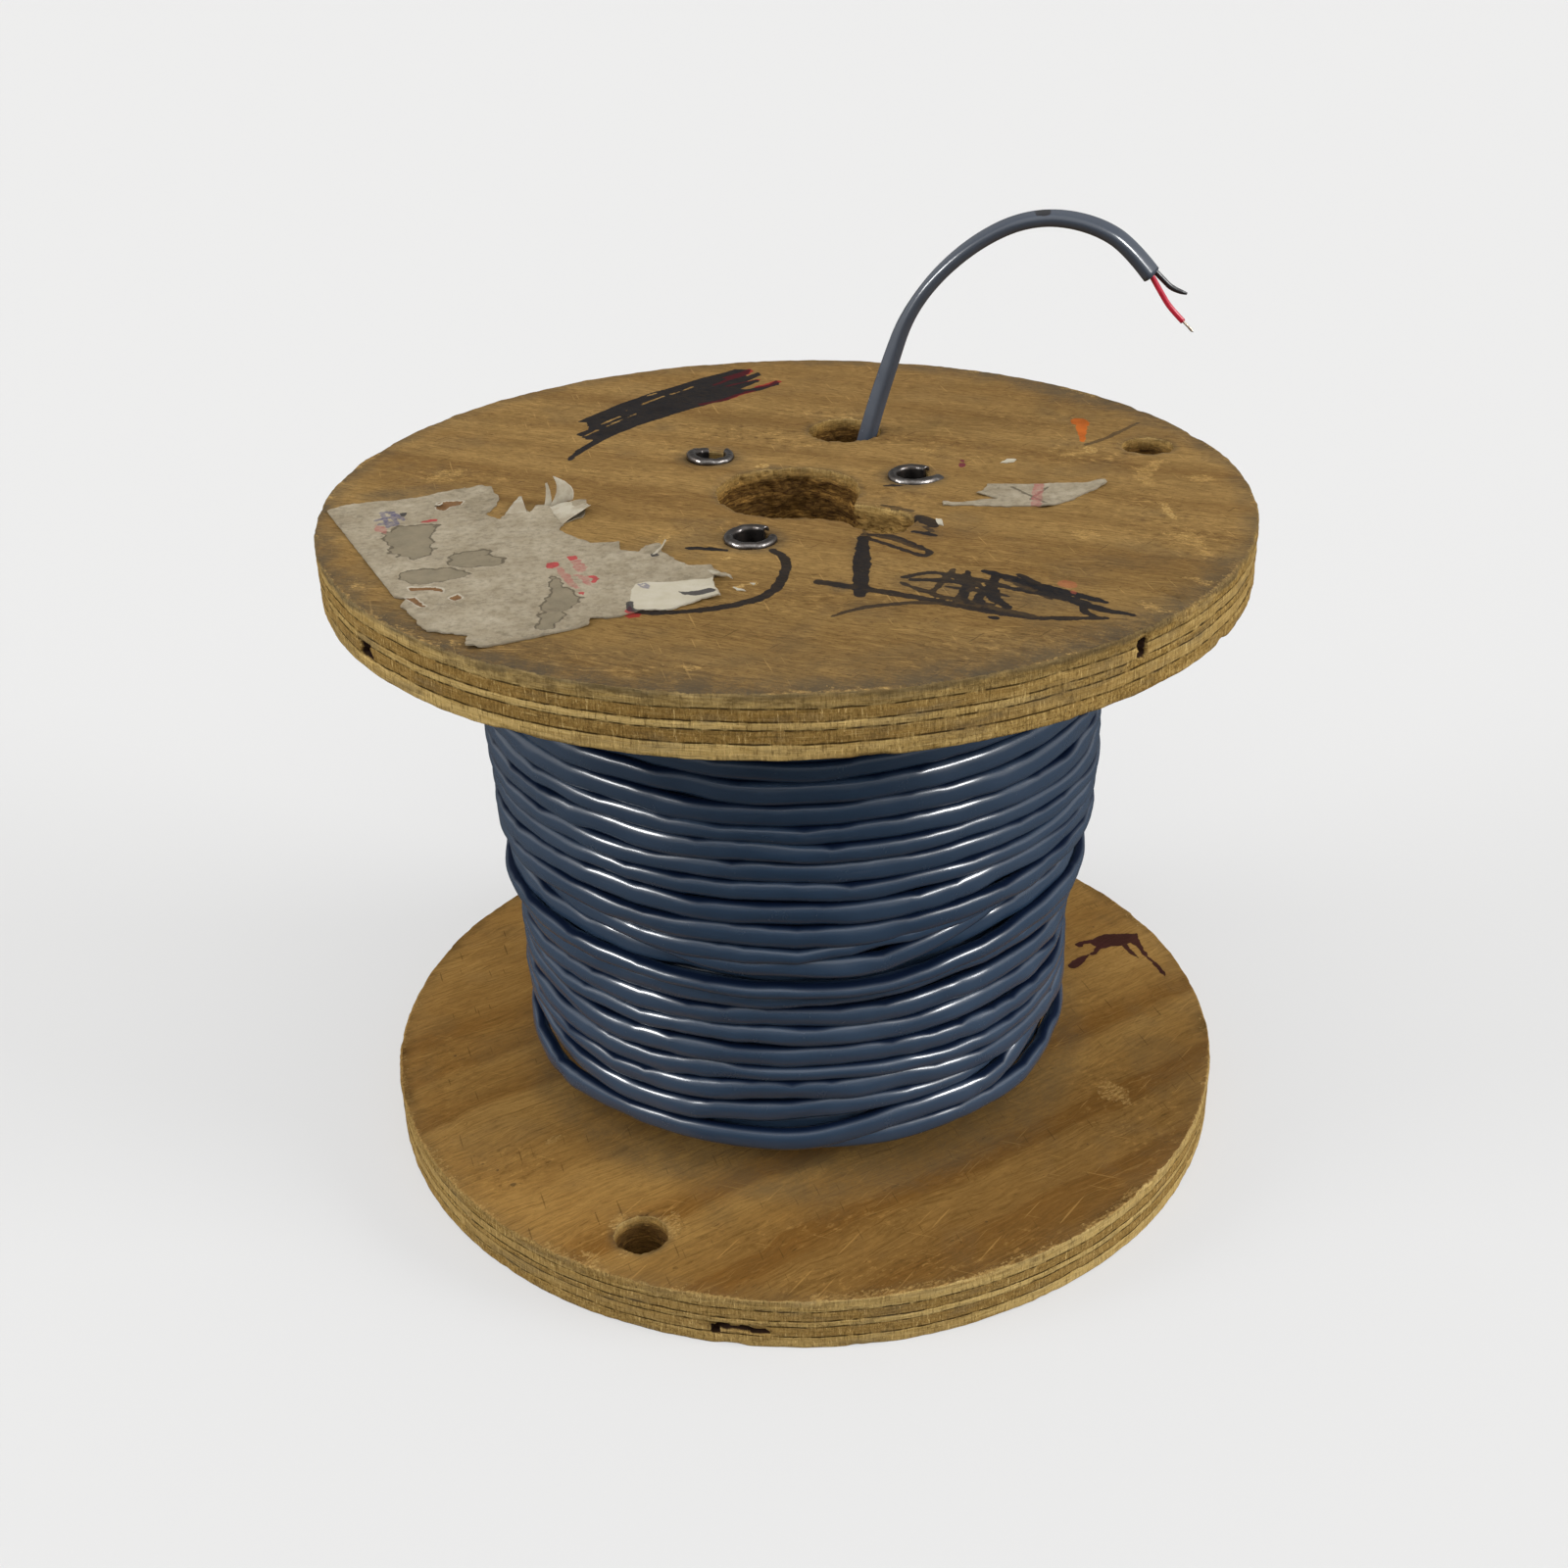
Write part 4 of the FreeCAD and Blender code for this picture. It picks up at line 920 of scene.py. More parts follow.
def flange(name, z0, z1, grain, holes, level, sizes, top_height, seed, chips, voids, worn_up, worn_low, low_step=6.0):
    """holes: list of (loop, normals, rough, raggedness). Returns the object and its point arrays in mm."""
    T = z1 - z0
    # ---- rim
    a = np.arange(N_RIM) * 2 * np.pi / N_RIM
    mm = a * R_BOARD
    nx, ny = np.cos(a), np.sin(a)
    cx, cy = np.cos(a) * 24, np.sin(a) * 24           # a loop in noise space, so that the pattern closes
    w_up = worn_up * (1.0 + 0.45 * vnoise(cx / 2.2, cy / 2.2, 0, seed) + 0.28 * vnoise(cx / 0.55, cy / 0.55, 0, seed + 1))
    w_lo = worn_low * (1.0 + 0.45 * vnoise(cx / 2.0, cy / 2.0, 0, seed + 2) + 0.3 * vnoise(cx / 0.5, cy / 0.5, 0, seed + 3))
    for deg, width, size, which in chips:
        d = np.abs((np.degrees(a) - deg + 180) % 360 - 180)
        bump = 0.55 * smooth(width, width * 0.35, d) * size * (1 + 0.4 * vnoise(cx / 0.3, cy / 0.3, 0, seed + 9))
        if which == "up":
            w_up = w_up + bump
        else:
            w_lo = w_lo + bump
    w_up = np.clip(w_up, 0.35, 6.0)
    w_lo = np.clip(w_lo, 0.25, 5.0)
    rows = []          # radial inset and height, for each ring
    inset_top = 7.2
    rows.append((np.full(N_RIM, inset_top), np.zeros(N_RIM)))
    rows.append((np.full(N_RIM, 5.6), np.zeros(N_RIM)))
    for t in np.linspace(0, 1, 7):
        q = t * np.pi / 2
        rows.append((w_up * (1 - math.sin(q) ** 1.0) * 0.9, -w_up * (1 - math.cos(q))))
    n_side = 25
    for k in range(1, n_side):
        f = k / n_side
        rows.append((np.zeros(N_RIM), -(w_up + (T - w_up - w_lo) * f)))
    for t in np.linspace(0, 1, 4):
        q = t * np.pi / 2
        rows.append((w_lo * (1 - math.cos(q)), -T + w_lo * (1 - math.sin(q))))
    rows.append((np.full(N_RIM, 6.0), np.full(N_RIM, -T)))
    M = len(rows)
    inset = np.array([r[0] for r in rows])
    dz = np.array([r[1] for r in rows])
    depth = -dz
    side = np.ones((M, 1)) * 1.0
    # crumbly plies, glue lines and saw marks
    A = np.broadcast_to(mm, (M, N_RIM))
    CX, CY = np.broadcast_to(cx, (M, N_RIM)), np.broadcast_to(cy, (M, N_RIM))
    wave = 0.3 * vnoise(CX / 3.2, CY / 3.2, depth * 0.05, seed + 20) + 0.14 * vnoise(CX / 0.9, CY / 0.9, depth * 0.1, seed + 21)
    dd = depth + wave
    end = ply_end(np.broadcast_to(nx, dd.shape), np.broadcast_to(ny, dd.shape), grain, dd)
    layer = np.digitize(dd, PLY[1:-1])
    rough = 0.10 + 0.20 * end
    disp = rough * (0.7 * vnoise(CX * 1.4, CY * 1.4, depth * 0.9, seed + 30) + 0.6 * vnoise(CX * 3.1, CY * 3.1, depth * 2.1, seed + 31))
    disp = 0.7 * disp + 0.07 * vnoise(CX / 1.4, CY / 1.4, depth * 0.12, seed + 32) + 0.10 * vnoise(CX / 6, CY / 6, 0, seed + 33)
    lay_off = np.array([0.02, -0.13, 0.07, -0.12, 0.02])[layer]
    disp = disp + lay_off * (0.6 + 0.6 * vnoise(CX / 2.5, CY / 2.5, 0, seed + 35))
    for z_joint in PLY[1:-1]:
        disp = disp - 0.22 * np.exp(-((dd - z_joint) / 0.33) ** 2) * (0.6 + 0.5 * vnoise(CX / 1.1, CY / 1.1, 0, seed + 36))
    # splinters torn off along a ply, deeper in some stretches
    for k in range(5):
        tear = smooth(0.45, 0.75, vnoise(CX / 1.25, CY / 1.25, k * 3.7, seed + 50)) * (layer == k)
        disp = disp - 0.38 * tear * (0.5 + 0.5 * np.abs(vnoise(CX * 1.3, CY * 1.3, depth * 1.5, seed + 52)))
    void = np.zeros_like(disp)
    for deg, half_deg, z_a, z_b, deep in voids:
        d = np.abs((np.degrees(a) - deg + 180) % 360 - 180)[None, :]
        zc, hz = (z_a + z_b) / 2, (z_b - z_a) / 2
        jag = 0.35 * vnoise(CX * 2.0, CY * 2.0, depth * 0.8, seed + 60)
        m = smooth(1.15, 0.75, np.maximum(d / half_deg, np.abs(depth - zc) / hz) + jag)
        void = np.maximum(void, m)
        disp = disp - deep * m
    fade = np.interp(np.arange(M), [0, 1, 2, 3.5, M - 3, M - 1], [0, 0, 0.25, 1, 0.6, 0])[:, None]
    rad = R_BOARD - inset + disp * fade
    X, Y = rad * nx, rad * ny
    Z = z1 + dz
    n0 = top_height(X[:3].ravel(), Y[:3].ravel()).reshape(3, -1)
    Z[:3] += n0 * np.array([1, 1, 0.8])[:, None]
    Z[3:6] += 0.10 * vnoise(CX[3:6] * 2, CY[3:6] * 2, depth[3:6], seed + 70) + n0[2] * 0.4
    Z[M - 4:] = np.maximum(Z[M - 4:], z0)
    rim = np.stack([X, Y, Z], -1)
    # ---- holes
    hole_rings, hole_data = [], []
    for loop, nrm, rough_h, ragged in holes:
        n = len(loop)
        s = np.cumsum(np.hypot(*(loop - np.roll(loop, 1, 0)).T))
        per = s[-1]
        ca, sa = np.cos(2 * np.pi * s / per) * per / 6.283, np.sin(2 * np.pi * s / per) * per / 6.283
        rag = np.clip(ragged * (0.55 + 0.8 * vnoise(ca / 3.5, sa / 3.5, 0, seed + 80) + 0.6 * vnoise(ca / 1.1, sa / 1.1, 0, seed + 81)), 0.06, 4.0)
        fr = [0.0, 0.02, 0.05, 0.09] + list(np.linspace(0.13, 0.93, 15)) + [0.97, 1.0]
        ring = []
        for j, f in enumerate(fr):
            dep = f * T
            off = rag * np.interp(dep, [0, 0.5, 1.2, 2.2, T - 1.4, T], [1.0, 0.62, 0.28, 0.05, 0.05, 0.5])
            dww = dep + 0.35 * vnoise(ca / 7.0, sa / 7.0, 0.3, seed + 83)
            lay = np.digitize(dww, PLY[1:-1])
            e = ply_end(nrm[:, 0], nrm[:, 1], grain, dww)
            amp = rough_h * (0.45 + 0.9 * e)
            rg = amp * (0.9 * vnoise(ca / 3.2, sa / 3.2, dep / 1.1 + 0.25 * ca, seed + 84) + 0.7 * vnoise(ca / 1.1, sa / 1.1, dep / 1.5, seed + 85)
                        + 0.7 * vnoise(ca / 6.0, sa / 6.0, dep / 4.0, seed + 86))
            # the two inner cross plies are cut back more than the others
            rg = rg + rough_h * np.array([0.0, 0.45, 0.1, 0.5, 0.25])[lay]
            if j in (0, len(fr) - 1):
                rg = rg * 0.15
            elif j <= 2:
                rg = rg * 0.6
            if rough_h < 0.1:
                rg = rg * 0
            p = loop + nrm * (off + np.clip(rg, -0.5 * rough_h, 9))[:, None]
            ring.append(np.column_stack([p, np.full(n, z1 - dep)]))
        ring = np.array(ring)
        ring[0, :, 2] += top_height(ring[0, :, 0], ring[0, :, 1]) - np.clip(rag * 0.25, 0, 0.5)
        ring[1, :, 2] -= np.clip(rag * 0.2, 0, 0.4)
        hole_rings.append(ring)
        hole_data.append((nrm, ca, sa))
    # ---- faces
    top2, top_tri, n_fix = fill_face(rim[0, :, :2], [r[0, :, :2] for r in hole_rings], level, sizes, seed)
    bot2, bot_tri, n_fixb = fill_face(rim[-1, :, :2][::4], [r[-1, :, :2][::2] for r in hole_rings], lambda x, y: np.zeros(np.shape(x), int), (low_step,), seed + 500)
    # ---- one list of points
    P, ids_rim, off = [rim.reshape(-1, 3)], np.arange(M * N_RIM).reshape(M, N_RIM), M * N_RIM
    ids_holes = []
    for r in hole_rings:
        ids_holes.append(off + np.arange(r.shape[0] * r.shape[1]).reshape(r.shape[:2]))
        P.append(r.reshape(-1, 3))
        off += r.shape[0] * r.shape[1]
    fixed = np.concatenate([ids_rim[0]] + [h[0] for h in ids_holes])
    inner = top2[n_fix:]
    P.append(np.column_stack([inner, z1 + top_height(inner[:, 0], inner[:, 1])]))
    tmap = np.concatenate([fixed, off + np.arange(len(inner))])
    off += len(inner)
    # underside: its own coarse loops, joined to the fine ones by keeping every second or fourth point
    fixed_b = np.concatenate([ids_rim[-1][::4]] + [h[-1][::2] for h in ids_holes])
    inner_b = bot2[n_fixb:]
    zb = z0 + (0.25 * fbm(inner_b[:, 0] / 9, inner_b[:, 1] / 9, 0, seed + 90, 3) if z0 > 1 else np.abs(0.25 * fbm(inner_b[:, 0] / 9, inner_b[:, 1] / 9, 0, seed + 90, 3)))
    P.append(np.column_stack([inner_b, zb]))
    bmap = np.concatenate([fixed_b, off + np.arange(len(inner_b))])
    P = np.vstack(P)
    # the fine loops' points between the coarse ones are closed with small fans
    fans = []
    r = ids_rim[-1]
    for i in range(0, N_RIM, 4):
        q = [r[(i + t) % N_RIM] for t in range(5)]
        fans += [(q[0], q[1], q[2]), (q[0], q[2], q[3]), (q[0], q[3], q[4])]
    for h in ids_holes:
        b = h[-1]
        n = len(b)
        for i in range(0, n - 1, 2):
            q = [b[i], b[(i + 1) % n], b[(i + 2) % n]]
            fans.append((q[2], q[1], q[0]))
        if n % 2:
            pass
    tris = np.vstack([tmap[top_tri], bmap[bot_tri][:, ::-1], np.array(fans)[:, ::-1]])
    quads = [grid_faces(M, N_RIM, ids_rim)]
    for h in ids_holes:
        quads.append(grid_faces(h.shape[0], h.shape[1], h)[:, ::-1])
    quads = np.vstack(quads)
    # fans that are thinner than nothing are dropped
    va, vb, vc = P[tris[:, 0]], P[tris[:, 1]], P[tris[:, 2]]
    ar = np.linalg.norm(np.cross(vb - va, vc - va), axis=1)
    tris = tris[ar > 1e-7]
    o = fast_mesh(name, P * MM, quads, tris)
    zone = np.zeros(len(P))
    zone[ids_rim.ravel()] = np.repeat(np.interp(np.arange(M), [0, 1, 2, 4, 6, 8, M - 3, M - 1], [0, 0, 0.18, 0.42, 0.75, 1, 1, 0.3]), N_RIM)
    for h in ids_holes:
        zone[h.ravel()] = np.repeat(np.interp(np.arange(h.shape[0]), [0, 1, 3, h.shape[0]], [0.35, 0.7, 1, 1]), h.shape[1])
    nrm_all = np.zeros((len(P), 2))
    nrm_all[ids_rim.ravel()] = np.tile(np.stack([nx, ny], -1), (M, 1))
    for h, (hn, _, _) in zip(ids_holes, hole_data):
        nrm_all[h.ravel()] = np.tile(hn, (h.shape[0], 1))
    painted_void_shade = np.zeros(len(P))
    painted_void_shade[ids_rim.ravel()] = void.ravel()
    hole = np.zeros(len(P))
    for h in ids_holes:
        hole[h.ravel()] = np.repeat(np.interp(np.arange(h.shape[0]), [0, 2, 6, h.shape[0]], [0.0, 0.5, 1, 1]), h.shape[1])
    g = math.radians(grain)
    along = np.abs(nrm_all[:, 0] * math.cos(g) + nrm_all[:, 1] * math.sin(g))
    set_colour(o, "build", np.column_stack([zone, along, painted_void_shade, hole]))
    return o, P


# ---- upper flange
def near_marks(x, y):
    """Finest where ink has edges, middling near scuffs, holes and the rim."""
    ink, black, red, smudge, orange, purple, pink = top_marks(x, y)
    near = np.minimum(np.minimum(np.abs(ink), np.abs(red)), np.minimum(np.abs(orange), np.abs(purple)))
    near = np.minimum(near, np.abs(pink) + 0.7)
    grime, scuff, chip = top_wear(x, y)
    mid = (np.abs(scuff - 0.5) < 0.45) | (chip > 0.05) | (152.4 - np.hypot(x, y) < 14)
    for cx, cy, r in ((0, 0, 22.2), (22.3, 63.1, 12.7), (126.2, 37.4, 8.8), (31.2, -30.8, 8)):
        mid |= ring_gap(x, y, cx, cy, r) < 7
    return np.where(near < 1.5, 0, np.where(mid | (near < 3.0), 1, 2))


def ripple(x, y, deg, seed, fine=0.05):
    """Slight relief of a rubbed plywood face along its grain."""
    g = math.radians(deg)
    u = x * math.cos(g) + y * math.sin(g)
    v = -x * math.sin(g) + y * math.cos(g)
    return (0.16 * fbm(x / 40.0, y / 40.0, 0, seed, 3) + fine * vnoise(u / 22.0, v / 2.3, 0, seed + 5)
            + 0.5 * fine * vnoise(u / 9.0, v / 1.2, 0, seed + 6))


def top_height_up(x, y):
    grime, scuff, chip = top_wear(x, y)
    h = ripple(x, y, -25, 121)
    n = vnoise(x / 1.7, y / 1.7, 0, 131)
    h = h - 0.24 * scuff * (0.6 + 0.6 * n) - 0.25 * chip * (0.6 + 0.5 * n)
    edge = 152.4 - np.hypot(x, y)
    h = h - 0.35 * smooth(9, 2, edge) * (0.6 + 0.8 * vnoise(x / 12, y / 12, 0, 132))
    for cx, cy, r, k in ((0, 0, 22.2, 0.5), (22.3, 63.1, 12.7, 0.6), (126.2, 37.4, 8.8, 0.4), (31.2, -30.8, 7.8, 0.3)):
        d = np.maximum(ring_gap(x, y, cx, cy, r), 0)
        h = h - k * smooth(3.0, 0.2, d) * (0.5 + 0.6 * vnoise(x / 2.2, y / 2.2, 0, 133))
    # crack in the top ply at the front right rim
    d, t = line_gap(x, y, [(107.0, -89.0), (111.5, -95.5), (113.0, -103.0)])
    h = h - 0.9 * smooth(0.9, 0.1, d)
    return h


keyl = key_loop(0.8)
start_l = circle_loop(22.3, 63.1, 12.7, 0.8)
drive_l = circle_loop(126.2, 37.4, 8.75, 0.75)
ties_u = [circle_loop(c[0], c[1], 6.5, 1.4) for c in TIE_AT]
upper_flange, PU = flange(
    "upper_flange_plywood", 211.0, 231.0, -25.0,
    [(keyl[0], keyl[1], 0.85, 0.7), (start_l[0], start_l[1], 0.6, 0.9), (drive_l[0], drive_l[1], 0.35, 0.45)]
    + [(l[0], l[1], 0.0, 0.08) for l in ties_u],
    near_marks, (0.85, 1.5, 2.6), top_height_up, 1000,
    chips=((-41.5, 2.2, 2.6, "up"), (-128, 1.6, 1.4, "up"), (-150, 3.5, 1.2, "up"), (-95, 2.5, 1.5, "up"), (-104, 1.5, 1.8, "up"), (-68, 3, 1.2, "up"),
           (-178, 2, 1.5, "up"), (18, 2.2, 2.8, "up"), (31, 1.5, 1.5, "up"), (63, 3, 1.2, "up"), (100, 2, 1.6, "up"), (146, 3, 1.6, "up"),
           (-18, 4, 1.4, "up"), (-33, 2, 2.2, "low"), (-120, 3, 1.6, "low"), (-82, 2.5, 1.8, "low"), (-58, 2, 1.6, "low"), (40, 3, 2.0, "low"), (155, 3, 2.0, "low")),
    voids=((-144.6, 1.25, 11.4, 15.8, 4.0), (-50.3, 0.55, 2.6, 9.4, 2.6), (60.0, 1.6, 11.5, 14.5, 2.2), (122.0, 1.1, 5.4, 7.8, 2.0)),
    worn_up=1.2, worn_low=0.7)
xu, yu, zu = PU[:, 0], PU[:, 1], PU[:, 2]
on_top = smooth(227.5, 229.5, zu)
ink, black, red, smudge, orange, purple, pink = top_marks(xu, yu)
grime, scuff, chip = top_wear(xu, yu)
up_mask = zu > 226.5
set_colour(upper_flange, "pen", np.column_stack([np.where(up_mask, ink_value(ink), 0), black, np.where(up_mask, ink_value(red), 0), smudge * on_top]))
set_colour(upper_flange, "wear", np.column_stack([grime, scuff, chip, bruises(xu, yu, TOP_BRUISES, 251)]))
set_colour(upper_flange, "paint", np.column_stack([np.where(up_mask, ink_value(orange), 0), np.where(up_mask, ink_value(purple), 0),
                                                   np.where(up_mask, ink_value(pink), 0), np.zeros(len(xu))]))


LOW_SHIFT = 2.4    # the lower board sits a little to the right of the upper one


# ---- lower flange
def near_low(x, y):
    p, s = low_marks(x + LOW_SHIFT, y)
    grime, scuff = low_wear_and_shade(x, y)
    r = np.hypot(x, y)
    fine = (np.abs(p) < 1.3) | (np.abs(s) < 0.9)
    mid = (np.abs(scuff - 0.5) < 0.45) | (r > 140) | (ring_gap(x, y, -55.6, -119.6, 8.75) < 6)
    return np.where(r < 88, 3, np.where(fine, 0, np.where(mid, 1, 2)))


def top_height_low(x, y):
    grime, scuff = low_wear_and_shade(x, y)
    h = ripple(x, y, 33, 141, 0.045)
    n = vnoise(x / 1.7, y / 1.7, 0, 151)
    h = h - 0.22 * scuff * (0.6 + 0.6 * n)
    edge = 152.4 - np.hypot(x, y)
    h = h - 0.3 * smooth(8, 2, edge) * (0.6 + 0.8 * vnoise(x / 12, y / 12, 0, 152))
    d = np.maximum(ring_gap(x, y, -55.6, -119.6, 8.75), 0)
    return h - 0.45 * smooth(2.6, 0.2, d) * (0.5 + 0.6 * vnoise(x / 2.0, y / 2.0, 0, 153))


arbor_l = circle_loop(0, 0, 22.225, 1.4)
drive_ll = circle_loop(-55.6, -119.6, 8.75, 0.7)
ties_l = [circle_loop(c[0], c[1], 6.5, 1.6) for c in TIE_AT]
lower_flange, PL = flange(
    "lower_flange_plywood", 0.0, 20.0, 33.0,
    [(arbor_l[0], arbor_l[1], 0.5, 0.7), (drive_ll[0], drive_ll[1], 0.32, 0.5)] + [(l[0], l[1], 0.0, 0.08) for l in ties_l],
    near_low, (0.85, 1.5, 2.4, 6.0), top_height_low, 2000,
    chips=((-70, 3, 1.2, "up"), (-112, 3, 1.6, "up"), (-128, 2.2, 1.4, "up"), (-90, 2, 1.0, "up"), (-40, 3, 1.2, "up"), (-15, 3, 1.0, "up"), (60, 3, 1.6, "up"), (140, 3, 1.6, "up"),
           (-100, 2.2, 2.0, "low"), (-84, 2.5, 1.8, "low"), (-60, 2, 1.6, "low"), (-30, 3, 1.5, "low"), (-160, 3, 1.8, "low"), (90, 3, 2.0, "low"), (170, 2, 1.5, "low")),
    voids=((-99.6, 2.2, 11.8, 13.6, 3.6), (-101.9, 0.5, 11.8, 15.6, 3.0), (-96.6, 1.1, 12.2, 14.4, 3.0), (100, 1.5, 12.0, 15.0, 2.2)),
    worn_up=1.1, worn_low=0.8)
xl, yl, zl = PL[:, 0], PL[:, 1], PL[:, 2]
paint, speck = low_marks(xl + LOW_SHIFT, yl)
grime_and_shade_l, scuff_l = low_wear_and_shade(xl, yl)
lm = zl > 15.5
set_colour(lower_flange, "pen", np.column_stack([np.where(lm, ink_value(speck), 0), np.full(len(xl), 0.55), np.zeros(len(xl)), np.zeros(len(xl))]))
set_colour(lower_flange, "wear", np.column_stack([grime_and_shade_l, scuff_l, np.zeros(len(xl)), bruises(xl, yl, LOW_BRUISES, 261)]))
set_colour(lower_flange, "paint", np.column_stack([np.where(lm, ink_value(paint), 0), np.zeros(len(xl)), np.zeros(len(xl)), np.zeros(len(xl))]))
co = np.empty(len(lower_flange.data.vertices) * 3, np.float32)
lower_flange.data.vertices.foreach_get("co", co)
co = co.reshape(-1, 3)
co[:, 0] += LOW_SHIFT * MM * smooth(0.058, 0.092, np.hypot(co[:, 0], co[:, 1]))
lower_flange.data.vertices.foreach_set("co", co.ravel())
lower_flange.data.update()

# ------------------------------------------------------------------ what is left of the label
LABEL = ((-149.2, -9.6), (-144.0, -3.6), (-137.0, -1.4), (-129.5, -0.4), (-121.0, 1.6), (-116.5, 4.6), (-110.0, 8.6), (-101.5, 10.8),
         (-98.0, 9.0), (-95.4, 3.0), (-94.0, -3.0), (-94.8, -9.5), (-97.0, -15.5), (-91.5, -20.3), (-89.6, -12.0), (-87.2, -3.0),
         (-84.2, -12.0), (-82.6, -15.0), (-81.4, -9.0), (-78.6, -8.0), (-74.8, -9.4), (-69.8, -9.9), (-65.4, -8.8), (-64.2, -13.0),
         (-65.2, -20.4), (-70.2, -25.4), (-71.6, -31.2), (-66.6, -37.6), (-60.4, -43.6), (-52.2, -42.8), (-51.2, -49.2), (-46.0, -51.2),
         (-43.6, -46.8), (-39.6, -46.0), (-38.8, -50.4), (-35.6, -56.4), (-29.8, -63.2), (-23.2, -63.4), (-20.6, -69.6), (-16.6, -76.4),
         (-19.6, -75.8), (-22.4, -71.0), (-21.6, -79.6), (-19.8, -88.6), (-25.2, -90.2), (-27.0, -92.4), (-36.0, -97.0), (-42.4, -96.4),
         (-45.4, -98.6), (-50.0, -101.2), (-56.2, -101.6), (-56.6, -106.2), (-70.2, -113.2), (-85.8, -119.8), (-89.6, -118.8),
         (-90.2, -111.2), (-102.0, -107.2), (-104.2, -103.8), (-112.2, -88.8), (-111.6, -84.2), (-115.0, -82.8))
SCRAP = ((66.8, 1.8), (80.0, 0.8), (105.4, 1.0), (105.8, -1.6), (99.0, -7.8), (91.4, -16.0), (83.0, -21.6), (80.8, -21.4), (79.6, -19.4),
         (71.0, -19.9), (57.8, -17.6), (50.2, -17.8), (50.8, -14.2), (57.2, -15.0), (63.4, -13.0), (68.8, -12.4), (64.2, -9.2),
         (62.0, -7.4), (65.0, -4.2))
CUT_EDGES = ((-149.2, -9.6), (-115.0, -82.8), (-112.2, -88.8), (-56.6, -106.2), (-70.2, -113.2), (-85.8, -119.8))


def ragged(poly, step, amount, seed, straight=()):
    """The outline with points put in between and pulled about, except along cut edges."""
    out = []
    n = len(poly)
    for i in range(n):
        a, b = np.array(poly[i]), np.array(poly[(i + 1) % n])
        ln = np.linalg.norm(b - a)
        k = max(1, int(round(ln / step)))
        d = (b - a) / ln
        nr = np.array((d[1], -d[0]))
        calm = 0.18 if (tuple(poly[i]) in straight and tuple(poly[(i + 1) % n]) in straight) else 1.0
        for q in range(k):
            p = a + (b - a) * q / k
            w = amount * calm * (vnoise(p[0] / 1.3, p[1] / 1.3, 0, seed) + 0.7 * vnoise(p[0] / 3.7, p[1] / 3.7, 0, seed + 1))
            out.append(p + nr * float(w))
    return np.array(out)


def paper_sheet(poly, height, thick, step, fine, seed):
    """A thin sheet lying on height(x, y). Returns points, quads and triangles."""
    loop = np.array(poly)
    tup = [tuple(p) for p in loop]
    c = loop.mean(0)
    r = np.hypot(*(loop - c).T).max() + 2
    pts = hex_points(step, r, seed) + c
    g = area_gap(pts[:, 0], pts[:, 1], tup)
    pts = pts[g < -0.55 * step]
    if fine is not None:
        sp, want = fine
        q = hex_points(sp, r, seed + 3) + c
        gq = area_gap(q[:, 0], q[:, 1], tup)
        q = q[gq < -0.5 * sp]
        q = q[want(q[:, 0], q[:, 1])]
        pts = pts[~want(pts[:, 0], pts[:, 1])]
        pts = np.vstack([pts, q])
    n = len(loop)
    allp = np.vstack([loop, pts])
    res = delaunay_2d_cdt([Vector(p) for p in allp], [(i, (i + 1) % n) for i in range(n)], [], 0, 1e-7)
    orig = np.array([o[0] if len(o) else -1 for o in res[3]])
    tri = orig[np.array([f for f in res[2] if len(f) == 3], np.int64)]
    tri = tri[(tri >= 0).all(1)]
    cc = allp[tri].mean(1)
    tri = tri[inside(cc[:, 0], cc[:, 1], tup)]
    a, b, d = allp[tri[:, 0]], allp[tri[:, 1]], allp[tri[:, 2]]
    ar = (b[:, 0] - a[:, 0]) * (d[:, 1] - a[:, 1]) - (b[:, 1] - a[:, 1]) * (d[:, 0] - a[:, 0])
    tri = np.where((ar > 0)[:, None], tri, tri[:, ::-1])[np.abs(ar) > 1e-9]
    base = height(allp[:, 0], allp[:, 1])
    top = np.column_stack([allp, base + thick])
    bot = np.column_stack([allp, base - 0.03])
    m = len(allp)
    i = np.arange(n)
    j = (i + 1) % n
    quads = np.stack([i, m + i, m + j, j], -1)
    return np.vstack([top, bot]), quads, np.vstack([tri, tri[:, ::-1] + m])


